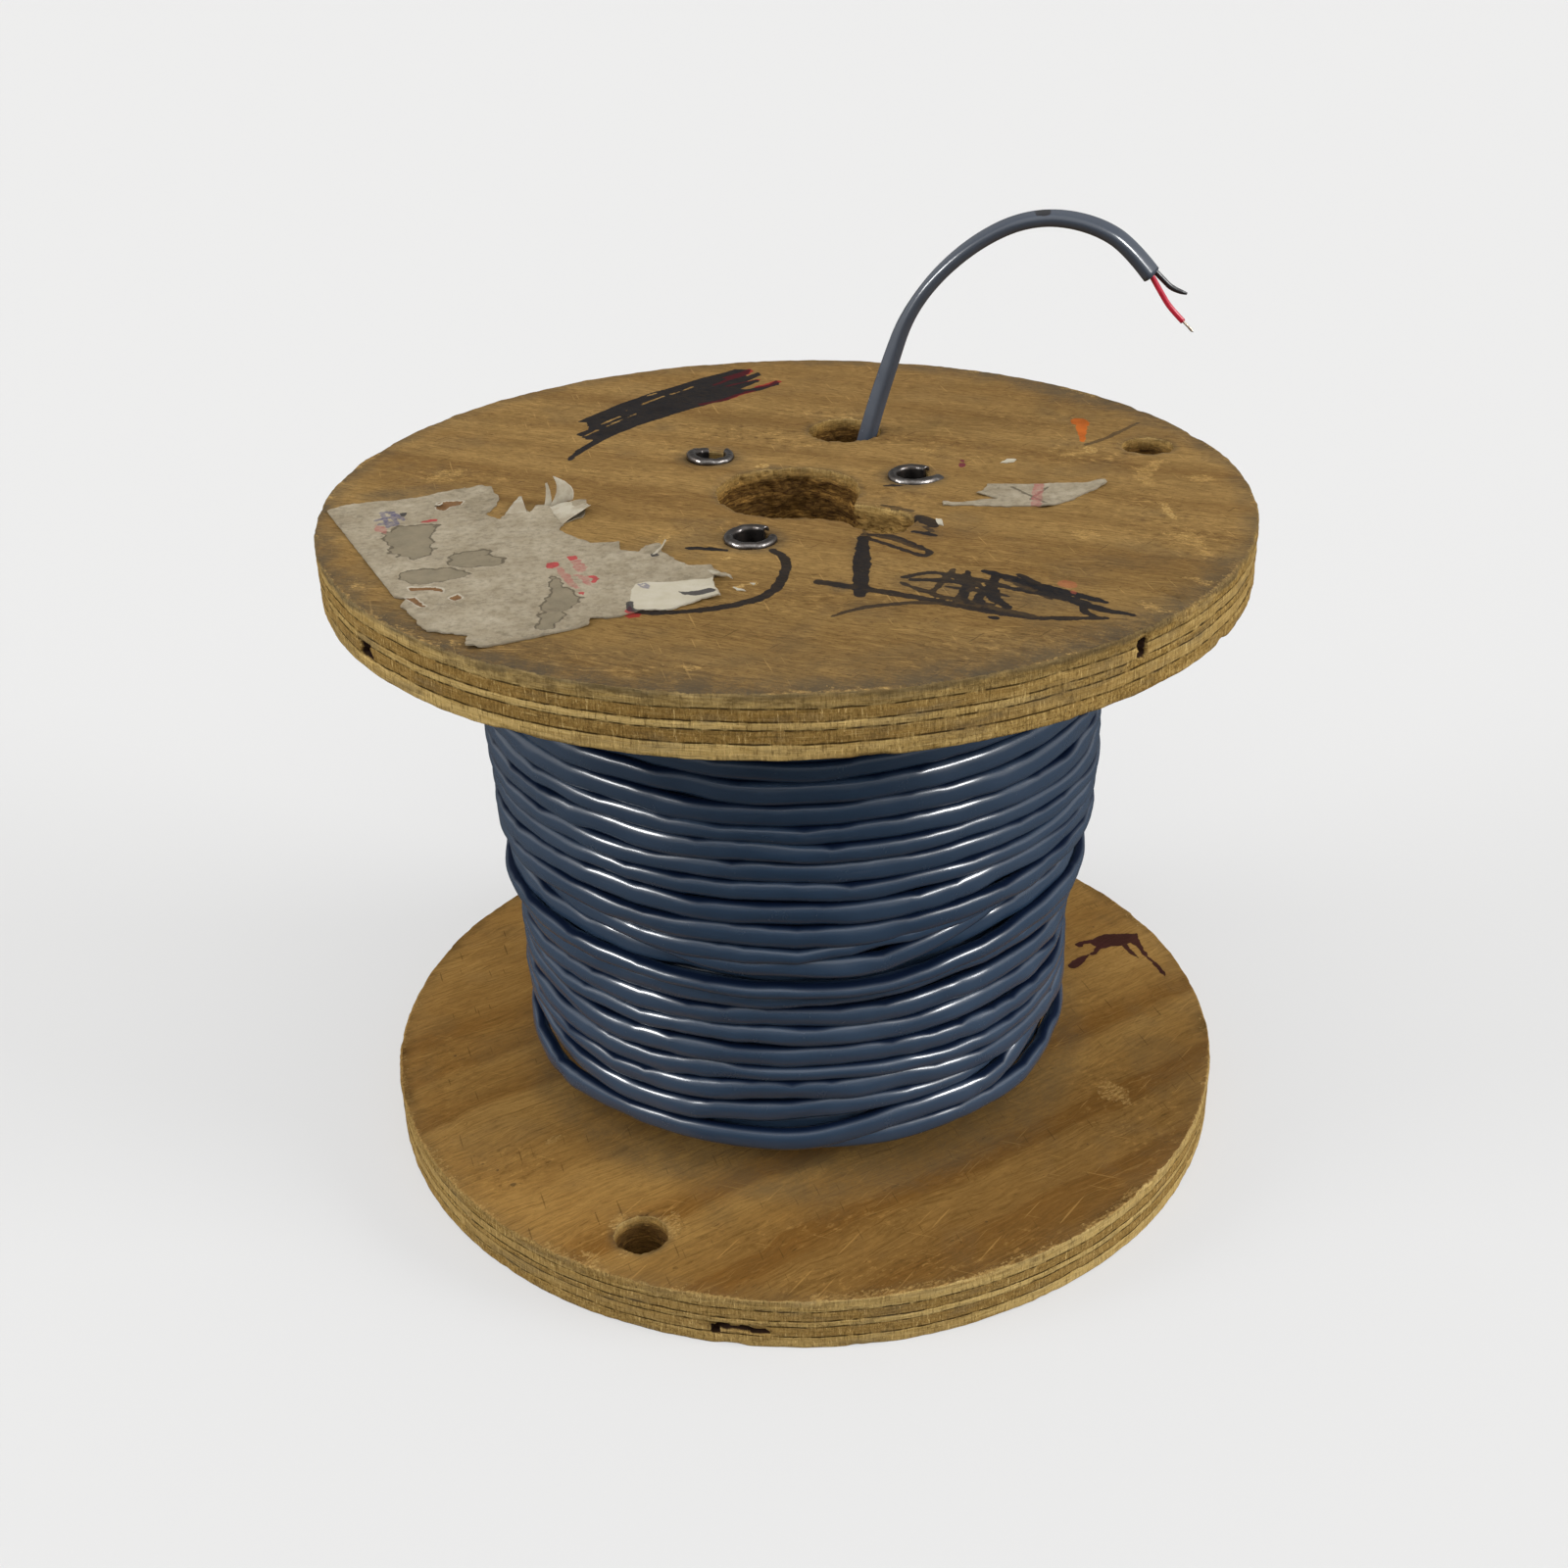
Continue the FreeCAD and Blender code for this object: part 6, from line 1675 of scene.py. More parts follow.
def plywood(name, grain, z_top, bands, tone, face, edge, grime_col, seed, paint_col, coarse, pale):
    """face and edge: colours. bands: how dark the figure is across the grain, at distances in millimetres
    from the middle; tone: how much lighter or darker the whole face is there, along the
    direction of its first value. The ply joints are at the depths of PLY below z_top."""
    k = Look(name, 0.76, 0.06)
    x, y, z = k.sep(k.p)
    g = math.radians(grain)
    u = k.math("ADD", k.math("MULTIPLY", x, math.cos(g)), k.math("MULTIPLY", y, math.sin(g)))
    v = k.math("ADD", k.math("MULTIPLY", x, -math.sin(g)), k.math("MULTIPLY", y, math.cos(g)))
    # the figure wanders as a peeled veneer's does
    w1 = k.noise(k.comb(k.math("MULTIPLY", u, 1 / 120.0), k.math("MULTIPLY", v, 1 / 46.0), seed * 1.7), 1.0, 2.0, 0.5)
    w2 = k.noise(k.comb(k.math("MULTIPLY", u, 1 / 34.0), k.math("MULTIPLY", v, 1 / 15.0), seed * 2.3), 1.0, 2.0, 0.55)
    w3 = k.noise(k.comb(k.math("MULTIPLY", u, 1 / 13.0), k.math("MULTIPLY", v, 1 / 3.0), seed * 2.9), 1.0, 2.0, 0.55)
    vw = k.math("ADD", v, k.math("ADD", k.math("MULTIPLY", k.math("SUBTRACT", w1, 0.5), 13.0), k.math("MULTIPLY", k.math("SUBTRACT", w2, 0.5), 7.0)))
    vw = k.math("ADD", vw, k.math("MULTIPLY", k.math("SUBTRACT", w3, 0.5), 2.6))
    fig = k.ramp(k.math("ADD", k.math("MULTIPLY", vw, 1 / 312.0), 0.5), [(0.5 + c / 312.0, d) for c, d in bands], "EASE")
    thin = k.noise(k.comb(k.math("MULTIPLY", u, 1 / 90.0), k.math("MULTIPLY", vw, 1 / 3.4), 2.0 + seed), 1.0, 3.0, 0.6)
    where = k.noise(k.comb(k.math("MULTIPLY", u, 1 / 70.0), k.math("MULTIPLY", v, 1 / 30.0), seed * 3.1 + 4), 1.0, 2.0, 0.5)
    fig = k.math("MULTIPLY", fig, k.line(where, 0.30, 0.60, 1.0 - 0.24 * coarse, 1.08))
    fig = k.math("MULTIPLY", fig, k.line(thin, 0.30, 0.62, 0.84, 1.12), clamp=True)
    streak = k.noise(k.comb(k.math("MULTIPLY", u, 1 / 15.0), k.math("MULTIPLY", vw, 1 / 1.3), 3.0 + seed), 1.0, 4.0, 0.66)
    fibre = k.noise(k.comb(k.math("MULTIPLY", u, 1 / 4.2), k.math("MULTIPLY", vw, 1 / 0.55), 5.0 + seed), 1.0, 4.0, 0.68)
    pore = k.noise(k.comb(k.math("MULTIPLY", u, 1 / 5.0), k.math("MULTIPLY", vw, 1 / 0.42), 9.0 + seed), 1.0, 2.0, 0.5)
    pore = k.step(pore, 0.640, 0.72)
    fleck = k.step(k.noise(k.comb(k.math("MULTIPLY", u, 1 / 4.6), k.math("MULTIPLY", v, 1 / 1.8), 19.0 + seed), 1.0, 3.0, 0.62), 0.63, 0.73)
    patch = k.noise(k.p, 1 / 34.0, 4.0, 0.55)
    patch2 = k.noise(k.p, 1 / 9.0, 4.0, 0.6)
    patch3 = k.noise(k.comb(k.math("MULTIPLY", u, 1 / 16.0), k.math("MULTIPLY", v, 1 / 7.0), 31.0 + seed), 1.0, 3.0, 0.6)
    light, mid, dark, band = face
    fine = k.noise(k.p, 1 / 1.1, 4.0, 0.65)
    tex = k.noise(k.comb(k.math("MULTIPLY", u, 1 / 2.6), k.math("MULTIPLY", v, 1 / 1.0), 41.0 + seed), 1.0, 4.0, 0.68)
    col = k.mix(k.line(patch, 0.3, 0.7), light, mid)
    col = k.mix(k.line(patch3, 0.44, 0.24, 0.0, 0.55), col, tuple(min(c * 1.16, 1) for c in light))
    col = k.mix(k.line(patch3, 0.50, 0.74, 0.0, 0.45), col, tuple(c * 0.72 for c in mid))
    col = k.mix(fig, col, k.mix(k.line(patch3, 0.4, 0.7), band, tuple(c * 0.86 for c in band)))
    col = k.mix(k.line(streak, 0.46, 0.70, 0.0, 0.42 + 0.16 * coarse), col, tuple(c * 0.80 for c in dark))
    col = k.mix(k.line(streak, 0.44, 0.26, 0.0, 0.30 + 0.12 * coarse), col, tuple(min(c * 1.18, 1) for c in light))
    hair = k.noise(k.comb(k.math("MULTIPLY", u, 1 / 60.0), k.math("MULTIPLY", vw, 1 / 0.62), 13.0 + seed), 1.0, 3.0, 0.6)
    col = k.mix(k.step(hair, 0.56, 0.66, 0.0, 0.40 + 0.14 * coarse), col, tuple(c * 0.75 for c in dark))
    col = k.mix(k.step(hair, 0.42, 0.32, 0.0, 0.26 + 0.14 * coarse), col, tuple(min(c * 1.25, 1) for c in light))
    col = k.mix(k.line(fibre, 0.46, 0.70, 0.0, 0.46 * coarse), col, tuple(c * 0.62 for c in dark))
    col = k.mix(k.line(fibre, 0.44, 0.26, 0.0, 0.36 * coarse), col, tuple(min(c * 1.38, 1) for c in light))
    col = k.mix(k.step(tex, 0.54, 0.66, 0.0, 0.56 * coarse), col, tuple(c * 0.55 for c in dark))
    col = k.mix(k.line(tex, 0.44, 0.24, 0.0, 0.36 * coarse), col, tuple(min(c * 1.32, 1) for c in light))
    col = k.mix(k.math("MULTIPLY", pore, 0.50), col, tuple(c * 0.34 for c in dark))
    col = k.mix(k.math("MULTIPLY", fleck, 0.46 * coarse), col, tuple(c * 0.36 for c in dark))
    col = k.mix(k.line(patch2, 0.44, 0.70, 0.0, 0.34 * coarse), col, tuple(c * 0.62 for c in mid))
    ta = math.radians(tone[0])
    tv = k.math("ADD", k.math("MULTIPLY", x, -math.sin(ta)), k.math("MULTIPLY", y, math.cos(ta)))
    tv = k.math("ADD", tv, k.math("MULTIPLY", k.math("SUBTRACT", patch, 0.5), 60.0))
    shade = k.ramp(k.math("ADD", k.math("MULTIPLY", tv, 1 / 312.0), 0.5), [(0.5 + c / 312.0, f_ / 1.5) for c, f_ in tone[1]])
    col = k.vmath("SCALE", col, scale=k.math("MULTIPLY", shade, 1.5))
    # thin light and dark scratches, a few of them, across the grain as well as along it
    for sg, sl, amount, tone in ((g + 0.35, 26.0, 0.22 + 0.22 * coarse, tuple(min(c * 1.5, 1) for c in light)), (g - 0.9, 17.0, 0.14 + 0.20 * coarse, tuple(min(c * 1.4, 1) for c in light)),
                                 (g + 1.3, 13.0, 0.50, tuple(c * 0.35 for c in dark))):
        su = k.math("ADD", k.math("MULTIPLY", x, math.cos(sg)), k.math("MULTIPLY", y, math.sin(sg)))
        sv = k.math("ADD", k.math("MULTIPLY", x, -math.sin(sg)), k.math("MULTIPLY", y, math.cos(sg)))
        scr = k.noise(k.comb(k.math("MULTIPLY", su, 1 / sl), k.math("MULTIPLY", sv, 1 / 0.9), 60.0 + sl), 1.0, 0.0, 0.5)
        col = k.mix(k.step(scr, 0.77, 0.82, 0.0, amount), col, tone)
    # rubbed and bruised places
    grime, scuff, chip, bruise = k.attr("wear")
    mott = k.noise(k.comb(k.math("MULTIPLY", u, 1 / 4.2), k.math("MULTIPLY", v, 1 / 2.4), 51.0 + seed), 1.0, 5.0, 0.68)
    col = k.mix(k.math("MULTIPLY", bruise, k.step(mott, 0.53, 0.64, 0.0, 0.72)), col, tuple(c * 0.50 for c in dark))
    col = k.mix(k.math("MULTIPLY", bruise, k.step(mott, 0.45, 0.34, 0.0, 0.62)), col, tuple(min(c * 1.42, 1) for c in light))
    # grime darkens towards grime_col; on the lower board it also carries the painted shade round the foot of the cable
    gr = k.math("MULTIPLY", grime, k.line(k.math("ADD", k.math("MULTIPLY", patch2, 0.55), k.math("MULTIPLY", fine, 0.45)), 0.34, 0.58, 0.22, 1.0))
    col = k.mix(k.math("MULTIPLY", gr, 0.90), col, grime_col)
    sc = k.step(k.math("ADD", scuff, k.math("MULTIPLY", k.math("SUBTRACT", k.math("ADD", k.math("MULTIPLY", fine, 0.5), k.math("MULTIPLY", mott, 0.5)), 0.5), 3.4)), 0.50, 0.74)
    sc = k.math("MULTIPLY", sc, k.step(scuff, 0.02, 0.3))
    fluff = k.mix(k.line(k.noise(k.p, 1 / 0.7, 3.0, 0.7), 0.35, 0.65), (0.40, 0.235, 0.066), (0.64, 0.42, 0.150))
    col = k.mix(k.math("MULTIPLY", k.math("MULTIPLY", sc, k.line(tex, 0.42, 0.60, 0.04, 1.0)), 0.60), col, fluff)
    ch = k.step(k.math("ADD", chip, k.math("MULTIPLY", k.math("SUBTRACT", fine, 0.5), 0.8)), 0.40, 0.62)
    col = k.mix(k.math("MULTIPLY", ch, 0.62), col, k.mix(k.line(fine, 0.4, 0.6), (0.28, 0.16, 0.045), (0.52, 0.35, 0.130)))
    # ---- the sides: plies with their joints
    zone, along, painted_void_shade, hole = k.attr("build")
    dep = k.math("SUBTRACT", z_top, z)
    wob = k.noise(k.comb(k.math("MULTIPLY", x, 1 / 24.0), k.math("MULTIPLY", y, 1 / 24.0), k.math("MULTIPLY", z, 1 / 60.0)), 1.0, 3.0, 0.5)
    dw = k.math("ADD", dep, k.math("MULTIPLY", k.math("SUBTRACT", wob, 0.5), 1.4))
    f = k.math("DIVIDE", dw, 20.0)
    odd = k.ramp(f, [(0.0, 0.0), (PLY[1] / 20, 1.0), (PLY[2] / 20, 0.0), (PLY[3] / 20, 1.0), (PLY[4] / 20, 0.0)], "CONSTANT")
    across = k.math("SQRT", k.math("SUBTRACT", 1.0, k.math("MULTIPLY", along, along), clamp=True))
    end = k.blend(odd, along, across)
    end = k.line(end, 0.30, 0.92)
    long_streak = k.noise(k.comb(k.math("MULTIPLY", x, 1 / 9.0), k.math("MULTIPLY", y, 1 / 9.0), k.math("MULTIPLY", z, 1 / 0.45)), 1.0, 4.0, 0.62)
    broad = k.noise(k.comb(k.math("MULTIPLY", x, 1 / 26.0), k.math("MULTIPLY", y, 1 / 26.0), k.math("MULTIPLY", z, 1 / 2.4)), 1.0, 3.0, 0.6)
    speck = k.noise(k.comb(k.math("MULTIPLY", x, 1 / 0.75), k.math("MULTIPLY", y, 1 / 0.75), k.math("MULTIPLY", z, 1 / 0.95)), 1.0, 3.0, 0.7)
    upright = k.noise(k.comb(k.math("MULTIPLY", x, 1 / 0.8), k.math("MULTIPLY", y, 1 / 0.8), k.math("MULTIPLY", z, 1 / 5.0)), 1.0, 3.0, 0.65)
    side = k.mix(k.line(long_streak, 0.32, 0.66), edge[0], edge[1])
    ends = k.mix(k.line(speck, 0.34, 0.60), edge[1], edge[2])
    ends = k.mix(k.line(upright, 0.50, 0.72, 0.0, 0.5), ends, tuple(c * 0.55 for c in edge[2]))
    ec = k.mix(end, side, ends)
    ec = k.mix(k.line(broad, 0.50, 0.72, 0.0, 0.55), ec, edge[2])
    ec = k.mix(k.line(broad, 0.44, 0.26, 0.0, 0.40), ec, tuple(min(c * 1.10, 1) for c in edge[0]))
    ec = k.mix(k.math("MULTIPLY", k.step(speck, 0.585, 0.70), k.line(end, 0.1, 0.8, 0.40, 1.0)), ec, tuple(c * 0.22 for c in edge[2]))
    ec = k.mix(k.math("MULTIPLY", odd, 0.60), ec, k.mix(0.70, ec, edge[2]))
    hairs = k.noise(k.comb(k.math("MULTIPLY", x, 1 / 11.0), k.math("MULTIPLY", y, 1 / 11.0), k.math("MULTIPLY", z, 1 / 0.28)), 1.0, 3.0, 0.6)
    ec = k.mix(k.step(hairs, 0.58, 0.68, 0.0, 0.62), ec, tuple(c * 0.30 for c in edge[2]))
    ec = k.mix(k.step(hairs, 0.40, 0.30, 0.0, 0.40), ec, tuple(min(c * 1.18, 1) for c in edge[0]))
    mottle = k.noise(k.comb(k.math("MULTIPLY", x, 1 / 6.0), k.math("MULTIPLY", y, 1 / 6.0), k.math("MULTIPLY", z, 1 / 2.2)), 1.0, 4.0, 0.68)
    ec = k.mix(k.step(mottle, 0.54, 0.68, 0.0, 0.50), ec, tuple(c * 0.60 for c in edge[2]))
    saw = k.noise(k.comb(k.math("MULTIPLY", x, 1 / 0.62), k.math("MULTIPLY", y, 1 / 0.62), k.math("MULTIPLY", z, 1 / 4.0)), 1.0, 4.0, 0.7)
    ec = k.mix(k.step(saw, 0.52, 0.66, 0.0, 0.62), ec, tuple(c * 0.42 for c in edge[2]))
    ec = k.mix(k.step(saw, 0.44, 0.30, 0.0, 0.62), ec, tuple(min(c * 1.30, 1) for c in edge[0]))
    near = None
    for j in PLY[1:-1]:
        d = k.math("ABSOLUTE", k.math("SUBTRACT", dw, j))
        near = d if near is None else k.math("MINIMUM", near, d)
    jw = k.noise(k.p, 1 / 5.0, 3.0, 0.6)
    glue = k.math("MULTIPLY", k.step(near, 0.42, 0.10), k.line(jw, 0.38, 0.54, 0.16, 0.96))
    ec = k.mix(glue, ec, tuple(c * 0.16 for c in edge[2]))
    dirt = k.noise(k.comb(k.math("MULTIPLY", x, 1 / 20.0), k.math("MULTIPLY", y, 1 / 20.0), k.math("MULTIPLY", z, 1 / 6.0)), 1.0, 4.0, 0.62)
    ec = k.mix(k.line(dirt, 0.52, 0.74, 0.0, 0.50), ec, tuple(c * 1.5 for c in grime_col))
    lip = k.step(k.math("ADD", dep, k.math("MULTIPLY", k.math("SUBTRACT", dirt, 0.5), 9.0)), 2.6, 0.4)
    ec = k.mix(k.math("MULTIPLY", lip, k.math("MULTIPLY", grime, 0.75)), ec, grime_col)
    if pale:
        # the top ply is darker along the front of the rim
        front_top_ply_dark = k.math("MULTIPLY", k.step(y, -96.0, -132.0), k.step(k.math("ADD", dw, k.math("MULTIPLY", k.math("SUBTRACT", mottle, 0.5), 3.0)), 5.4, 3.8))
        ec = k.mix(k.math("MULTIPLY", front_top_ply_dark, k.line(mottle, 0.36, 0.64, 0.08, 0.72)), ec, (0.150, 0.098, 0.036))
    # the voids in the plies are painted nearly black: painted shade inside the gaps
    ec = k.mix(k.step(painted_void_shade, 0.08, 0.40, 0.0, 0.97), ec, (0.016, 0.0060, 0.0045))
    swirl = k.noise(k.comb(k.math("MULTIPLY", x, 1 / 4.5), k.math("MULTIPLY", y, 1 / 4.5), k.math("MULTIPLY", z, 1 / 0.9)), 1.0, 5.0, 0.66, warp=1.2)
    hw = k.mix(k.line(swirl, 0.34, 0.60), edge[3], edge[4])
    hw = k.mix(k.math("MULTIPLY", k.step(speck, 0.55, 0.70), 0.6), hw, tuple(c * 0.30 for c in edge[4]))
    hw = k.mix(k.line(swirl, 0.40, 0.24, 0.0, 0.7), hw, tuple(min(c * 1.45, 1) for c in edge[3]))
    hw = k.mix(k.math("MULTIPLY", glue, 0.5), hw, tuple(c * 0.3 for c in edge[4]))
    hw = k.mix(k.math("MULTIPLY", odd, 0.35), hw, tuple(c * 0.7 for c in edge[4]))
    hw = k.mix(k.math("MULTIPLY", k.step(dep, 5.0, 0.6), k.line(swirl, 0.3, 0.6, 0.55, 0.15)), hw, edge[1])
    if pale:
        spot = k.step(k.vmath("DISTANCE", k.p, (27.0, -25.0, 226.0)), 15.0, 9.0)
        hw = k.mix(k.math("MULTIPLY", spot, k.line(swirl, 0.36, 0.60, 0.85, 0.25)), hw, (0.52, 0.33, 0.105))
    ec = k.mix(hole, ec, hw)
    border = k.step(k.math("ADD", zone, k.math("MULTIPLY", k.math("SUBTRACT", k.noise(k.p, 1 / 2.6, 4.0, 0.65), 0.5), 1.1)), 0.40, 0.62)
    border = k.math("MULTIPLY", border, k.step(zone, 0.01, 0.12))
    col = k.mix(border, col, ec)
    # ---- pen and paint
    ink, black, red, smudge = k.attr("pen")
    rag = k.math("ADD", k.math("MULTIPLY", k.math("SUBTRACT", fibre, 0.5), 0.30), k.math("MULTIPLY", k.math("SUBTRACT", fine, 0.5), 0.26))
    dry = k.line(k.math("ADD", k.math("MULTIPLY", fibre, 0.5), k.math("MULTIPLY", tex, 0.5)), 0.40, 0.60, 1.0, 0.0)
    smear = k.math("MULTIPLY", smudge, k.line(fine, 0.3, 0.7, 0.3, 0.85))
    col = k.mix(smear, col, (0.032, 0.030, 0.028))
    rd = k.math("MULTIPLY", k.step(k.math("ADD", red, rag), 0.44, 0.56), 0.90)
    im = k.step(k.math("ADD", ink, rag), 0.42, 0.55)
    ik = k.math("MULTIPLY", im, k.blend(k.math("MULTIPLY", k.math("SUBTRACT", 1.05, black), 2.6, clamp=True), black, k.math("MULTIPLY", black, k.line(dry, 0.0, 1.0, 0.66, 1.05))))
    ik = k.math("MULTIPLY", ik, k.line(tex, 0.62, 0.78, 1.04, 0.72), clamp=True)
    inkc = k.mix(k.line(patch2, 0.3, 0.7), (0.0030, 0.0050, 0.0085), (0.0105, 0.0115, 0.0150))
    col = k.mix(ik, col, inkc)
    col = k.mix(rd, col, k.mix(im, (0.25, 0.018, 0.018), (0.060, 0.006, 0.009)))
    pa, pb, pc, _ = k.attr("paint")
    pm = k.step(k.math("ADD", pa, k.math("MULTIPLY", rag, 0.7)), 0.44, 0.56)
    col = k.mix(k.math("MULTIPLY", pm, 0.93), col, k.mix(k.line(patch2, 0.35, 0.65), paint_col, tuple(c * 0.62 for c in paint_col)))
    col = k.mix(k.math("MULTIPLY", k.step(k.math("ADD", pb, rag), 0.44, 0.56), 0.85), col, (0.13, 0.012, 0.035))
    col = k.mix(k.math("MULTIPLY", k.step(k.math("ADD", pc, rag), 0.44, 0.56), 0.38), col, (0.42, 0.10, 0.055))
    rough = k.line(k.math("ADD", k.math("MULTIPLY", patch2, 0.5), k.math("MULTIPLY", fibre, 0.5)), 0.3, 0.7, 0.62, 0.82)
    rough = k.blend(border, rough, 0.9)
    rough = k.blend(k.math("MULTIPLY", im, 0.6), rough, 0.62)
    # ---- relief
    h = k.math("ADD", k.math("MULTIPLY", fibre, 0.5), k.math("MULTIPLY", k.math("SUBTRACT", 1.0, pore), 0.45))
    h = k.math("ADD", h, k.math("MULTIPLY", sc, k.math("MULTIPLY", k.noise(k.p, 1 / 0.8, 3.0, 0.7), 1.6)))
    h = k.math("ADD", h, k.math("MULTIPLY", bruise, k.math("MULTIPLY", mott, -2.2)))
    he = k.math("ADD", k.math("MULTIPLY", long_streak, 1.0), k.math("MULTIPLY", k.math("MULTIPLY", speck, end), 2.2))
    he = k.math("SUBTRACT", k.math("ADD", he, k.math("MULTIPLY", saw, 1.6)), k.math("MULTIPLY", glue, 1.2))
    he = k.blend(hole, he, k.math("MULTIPLY", swirl, 7.0))
    nrm = k.bump(k.blend(border, h, he), 0.55, 0.00030)
    return k.finish(col, rough, nrm)


ply_upper = plywood("plywood_upper", -25.0, 231.0,
                    bands=((-139, 0.5), (-130, 0.15), (-100, 0.45), (-88, 0.1), (-76, 0.6), (-66, 0.2), (-54, 0.0), (-47, 0.05), (-42, 0.3), (-38, 0.8),
                           (-33, 0.55), (-27, 0.75), (-14, 1.0), (-11, 0.45), (-5, 0.05), (6, 0.4), (11, 0.75), (15, 0.3), (25, 0.08), (33, 0.55),
                           (37, 0.75), (41, 0.3), (55, 0.22), (61, 0.65), (66, 1.0), (71, 0.65), (77, 0.12), (86, 0.4), (97, 0.8), (110, 0.42),
                           (124, 0.8), (140, 0.65)),
                    tone=(0.0, ((-150, 0.86), (-100, 0.84), (-70, 0.90), (-40, 0.99), (40, 1.0), (150, 1.0))),
                    face=((0.350, 0.217, 0.074), (0.284, 0.173, 0.057), (0.150, 0.076, 0.021), (0.205, 0.114, 0.034)),
                    edge=((0.67, 0.482, 0.196), (0.47, 0.310, 0.096), (0.278, 0.160, 0.042), (0.38, 0.205, 0.050), (0.085, 0.040, 0.010)),
                    grime_col=(0.070, 0.058, 0.040), seed=1.0, paint_col=(0.52, 0.125, 0.016), coarse=1.0, pale=True)
ply_lower = plywood("plywood_lower", 33.0, 20.0,
                    bands=((-150, 0.85), (-135, 0.95), (-129, 0.5), (-116, 0.34), (-112, 0.55), (-108, 1.0), (-103, 1.0), (-100, 0.5), (-89, 0.34),
                           (-79, 0.0), (-74, 0.28), (-70, 1.0), (-65, 0.8), (-57, 0.3), (-47, 0.04), (-33, 0.08), (-24, 0.4), (-10, 0.42),
                           (4, 0.15), (16, 0.0), (20, 0.85), (26, 0.7), (34, 0.4), (42, 0.2), (46, 0.65), (56, 0.6), (66, 0.85), (78, 0.45),
                           (96, 0.25), (112, 0.14), (128, 0.3)),
                    tone=(33.0, ((-155, 0.74), (-120, 0.78), (-90, 0.86), (-68, 1.0), (-45, 1.05), (0, 1.0), (35, 1.05), (60, 1.16), (150, 1.20))),
                    face=((0.400, 0.230, 0.066), (0.328, 0.180, 0.048), (0.160, 0.078, 0.016), (0.232, 0.108, 0.0215)),
                    edge=((0.66, 0.472, 0.190), (0.48, 0.318, 0.100), (0.298, 0.174, 0.048), (0.38, 0.205, 0.052), (0.12, 0.060, 0.015)),
                    grime_col=(0.100, 0.078, 0.046), seed=4.0, paint_col=(0.040, 0.0065, 0.012), coarse=0.42, pale=False)
upper_flange.data.materials.append(ply_upper)
lower_flange.data.materials.append(ply_lower)


def jacket_look(name, a, b):
    k = Look(name, 0.2, 0.5)
    big = k.noise(k.p, 1 / 60.0, 3.0, 0.5)
    mid = k.noise(k.p, 1 / 9.0, 4.0, 0.6)
    fine = k.noise(k.p, 1 / 0.8, 3.0, 0.6)
    x, y, z = k.sep(k.p)
    rub = k.noise(k.comb(k.math("MULTIPLY", x, 1 / 16.0), k.math("MULTIPLY", y, 1 / 16.0), k.math("MULTIPLY", z, 1 / 1.6)), 1.0, 3.0, 0.6)
    col = k.mix(k.line(big, 0.35, 0.65), a, b)
    col = k.mix(k.line(mid, 0.45, 0.75, 0.0, 0.35), col, tuple((p + q) * 0.42 for p, q in zip(a, b)))
    col = k.mix(k.line(rub, 0.60, 0.80, 0.0, 0.22), col, (0.085, 0.105, 0.145))
    dust = k.math("MULTIPLY", k.step(fine, 0.68, 0.80), k.line(mid, 0.4, 0.7, 0.0, 0.06))
    col = k.mix(dust, col, (0.16, 0.165, 0.175))
    rough = k.line(k.math("ADD", k.math("MULTIPLY", mid, 0.7), k.math("MULTIPLY", fine, 0.3)), 0.3, 0.7, 0.20, 0.29)
    soft = k.noise(k.p, 1 / 13.0, 1.0, 0.4)
    h = k.math("ADD", k.math("MULTIPLY", soft, 1.0), k.math("MULTIPLY", rub, 0.025))
    return k, col, rough, k.bump(h, 0.30, 0.00080)


kj, c1, r1, n1 = jacket_look("cable_jacket_wound", (0.0235, 0.0475, 0.089), (0.036, 0.062, 0.106))
deep = kj.attr("deep")[0]
# painted shade in the grooves between turns: near-black navy colour, less specular reflection and a rougher surface
# where deep is high
c1 = kj.mix(kj.line(deep, 0.0, 1.0, 0.0, 0.92), c1, (0.0022, 0.0060, 0.022))
kj.put(kj.b.inputs["Specular IOR Level"], kj.line(deep, 0.10, 0.85, 0.58, 0.02))
jacket = kj.finish(c1, kj.blend(deep, r1, 0.42), n1)
# the free end gets lighter, greyer jacket colours than the wound turns of the same cable: painted light on the free end
kt, c2, r2, n2 = jacket_look("cable_jacket_tail", (0.050, 0.064, 0.090), (0.064, 0.077, 0.102))
spot = kt.attr("spot")[0]
# painted shade: the jacket is made near-black where spot is high
c2 = kt.mix(kt.step(kt.math("ADD", spot, kt.math("MULTIPLY", kt.math("SUBTRACT", kt.noise(kt.p, 1 / 1.2, 3.0, 0.6), 0.5), 0.5)), 0.42, 0.6), c2, (0.012, 0.013, 0.018))
jacket_tail = kt.finish(c2, r2, n2)


def plain_pvc(name, col_a, col_b, rough):
    k = Look(name, rough, 0.5)
    n = k.noise(k.p, 1 / 1.6, 3.0, 0.6)
    s = k.noise(k.p, 1 / 0.3, 2.0, 0.5)
    col = k.mix(k.line(n, 0.3, 0.7), col_a, col_b)
    return k.finish(col, k.line(s, 0.3, 0.7, rough - 0.06, rough + 0.08), k.bump(k.math("ADD", n, k.math("MULTIPLY", s, 0.3)), 0.25, 0.00008))


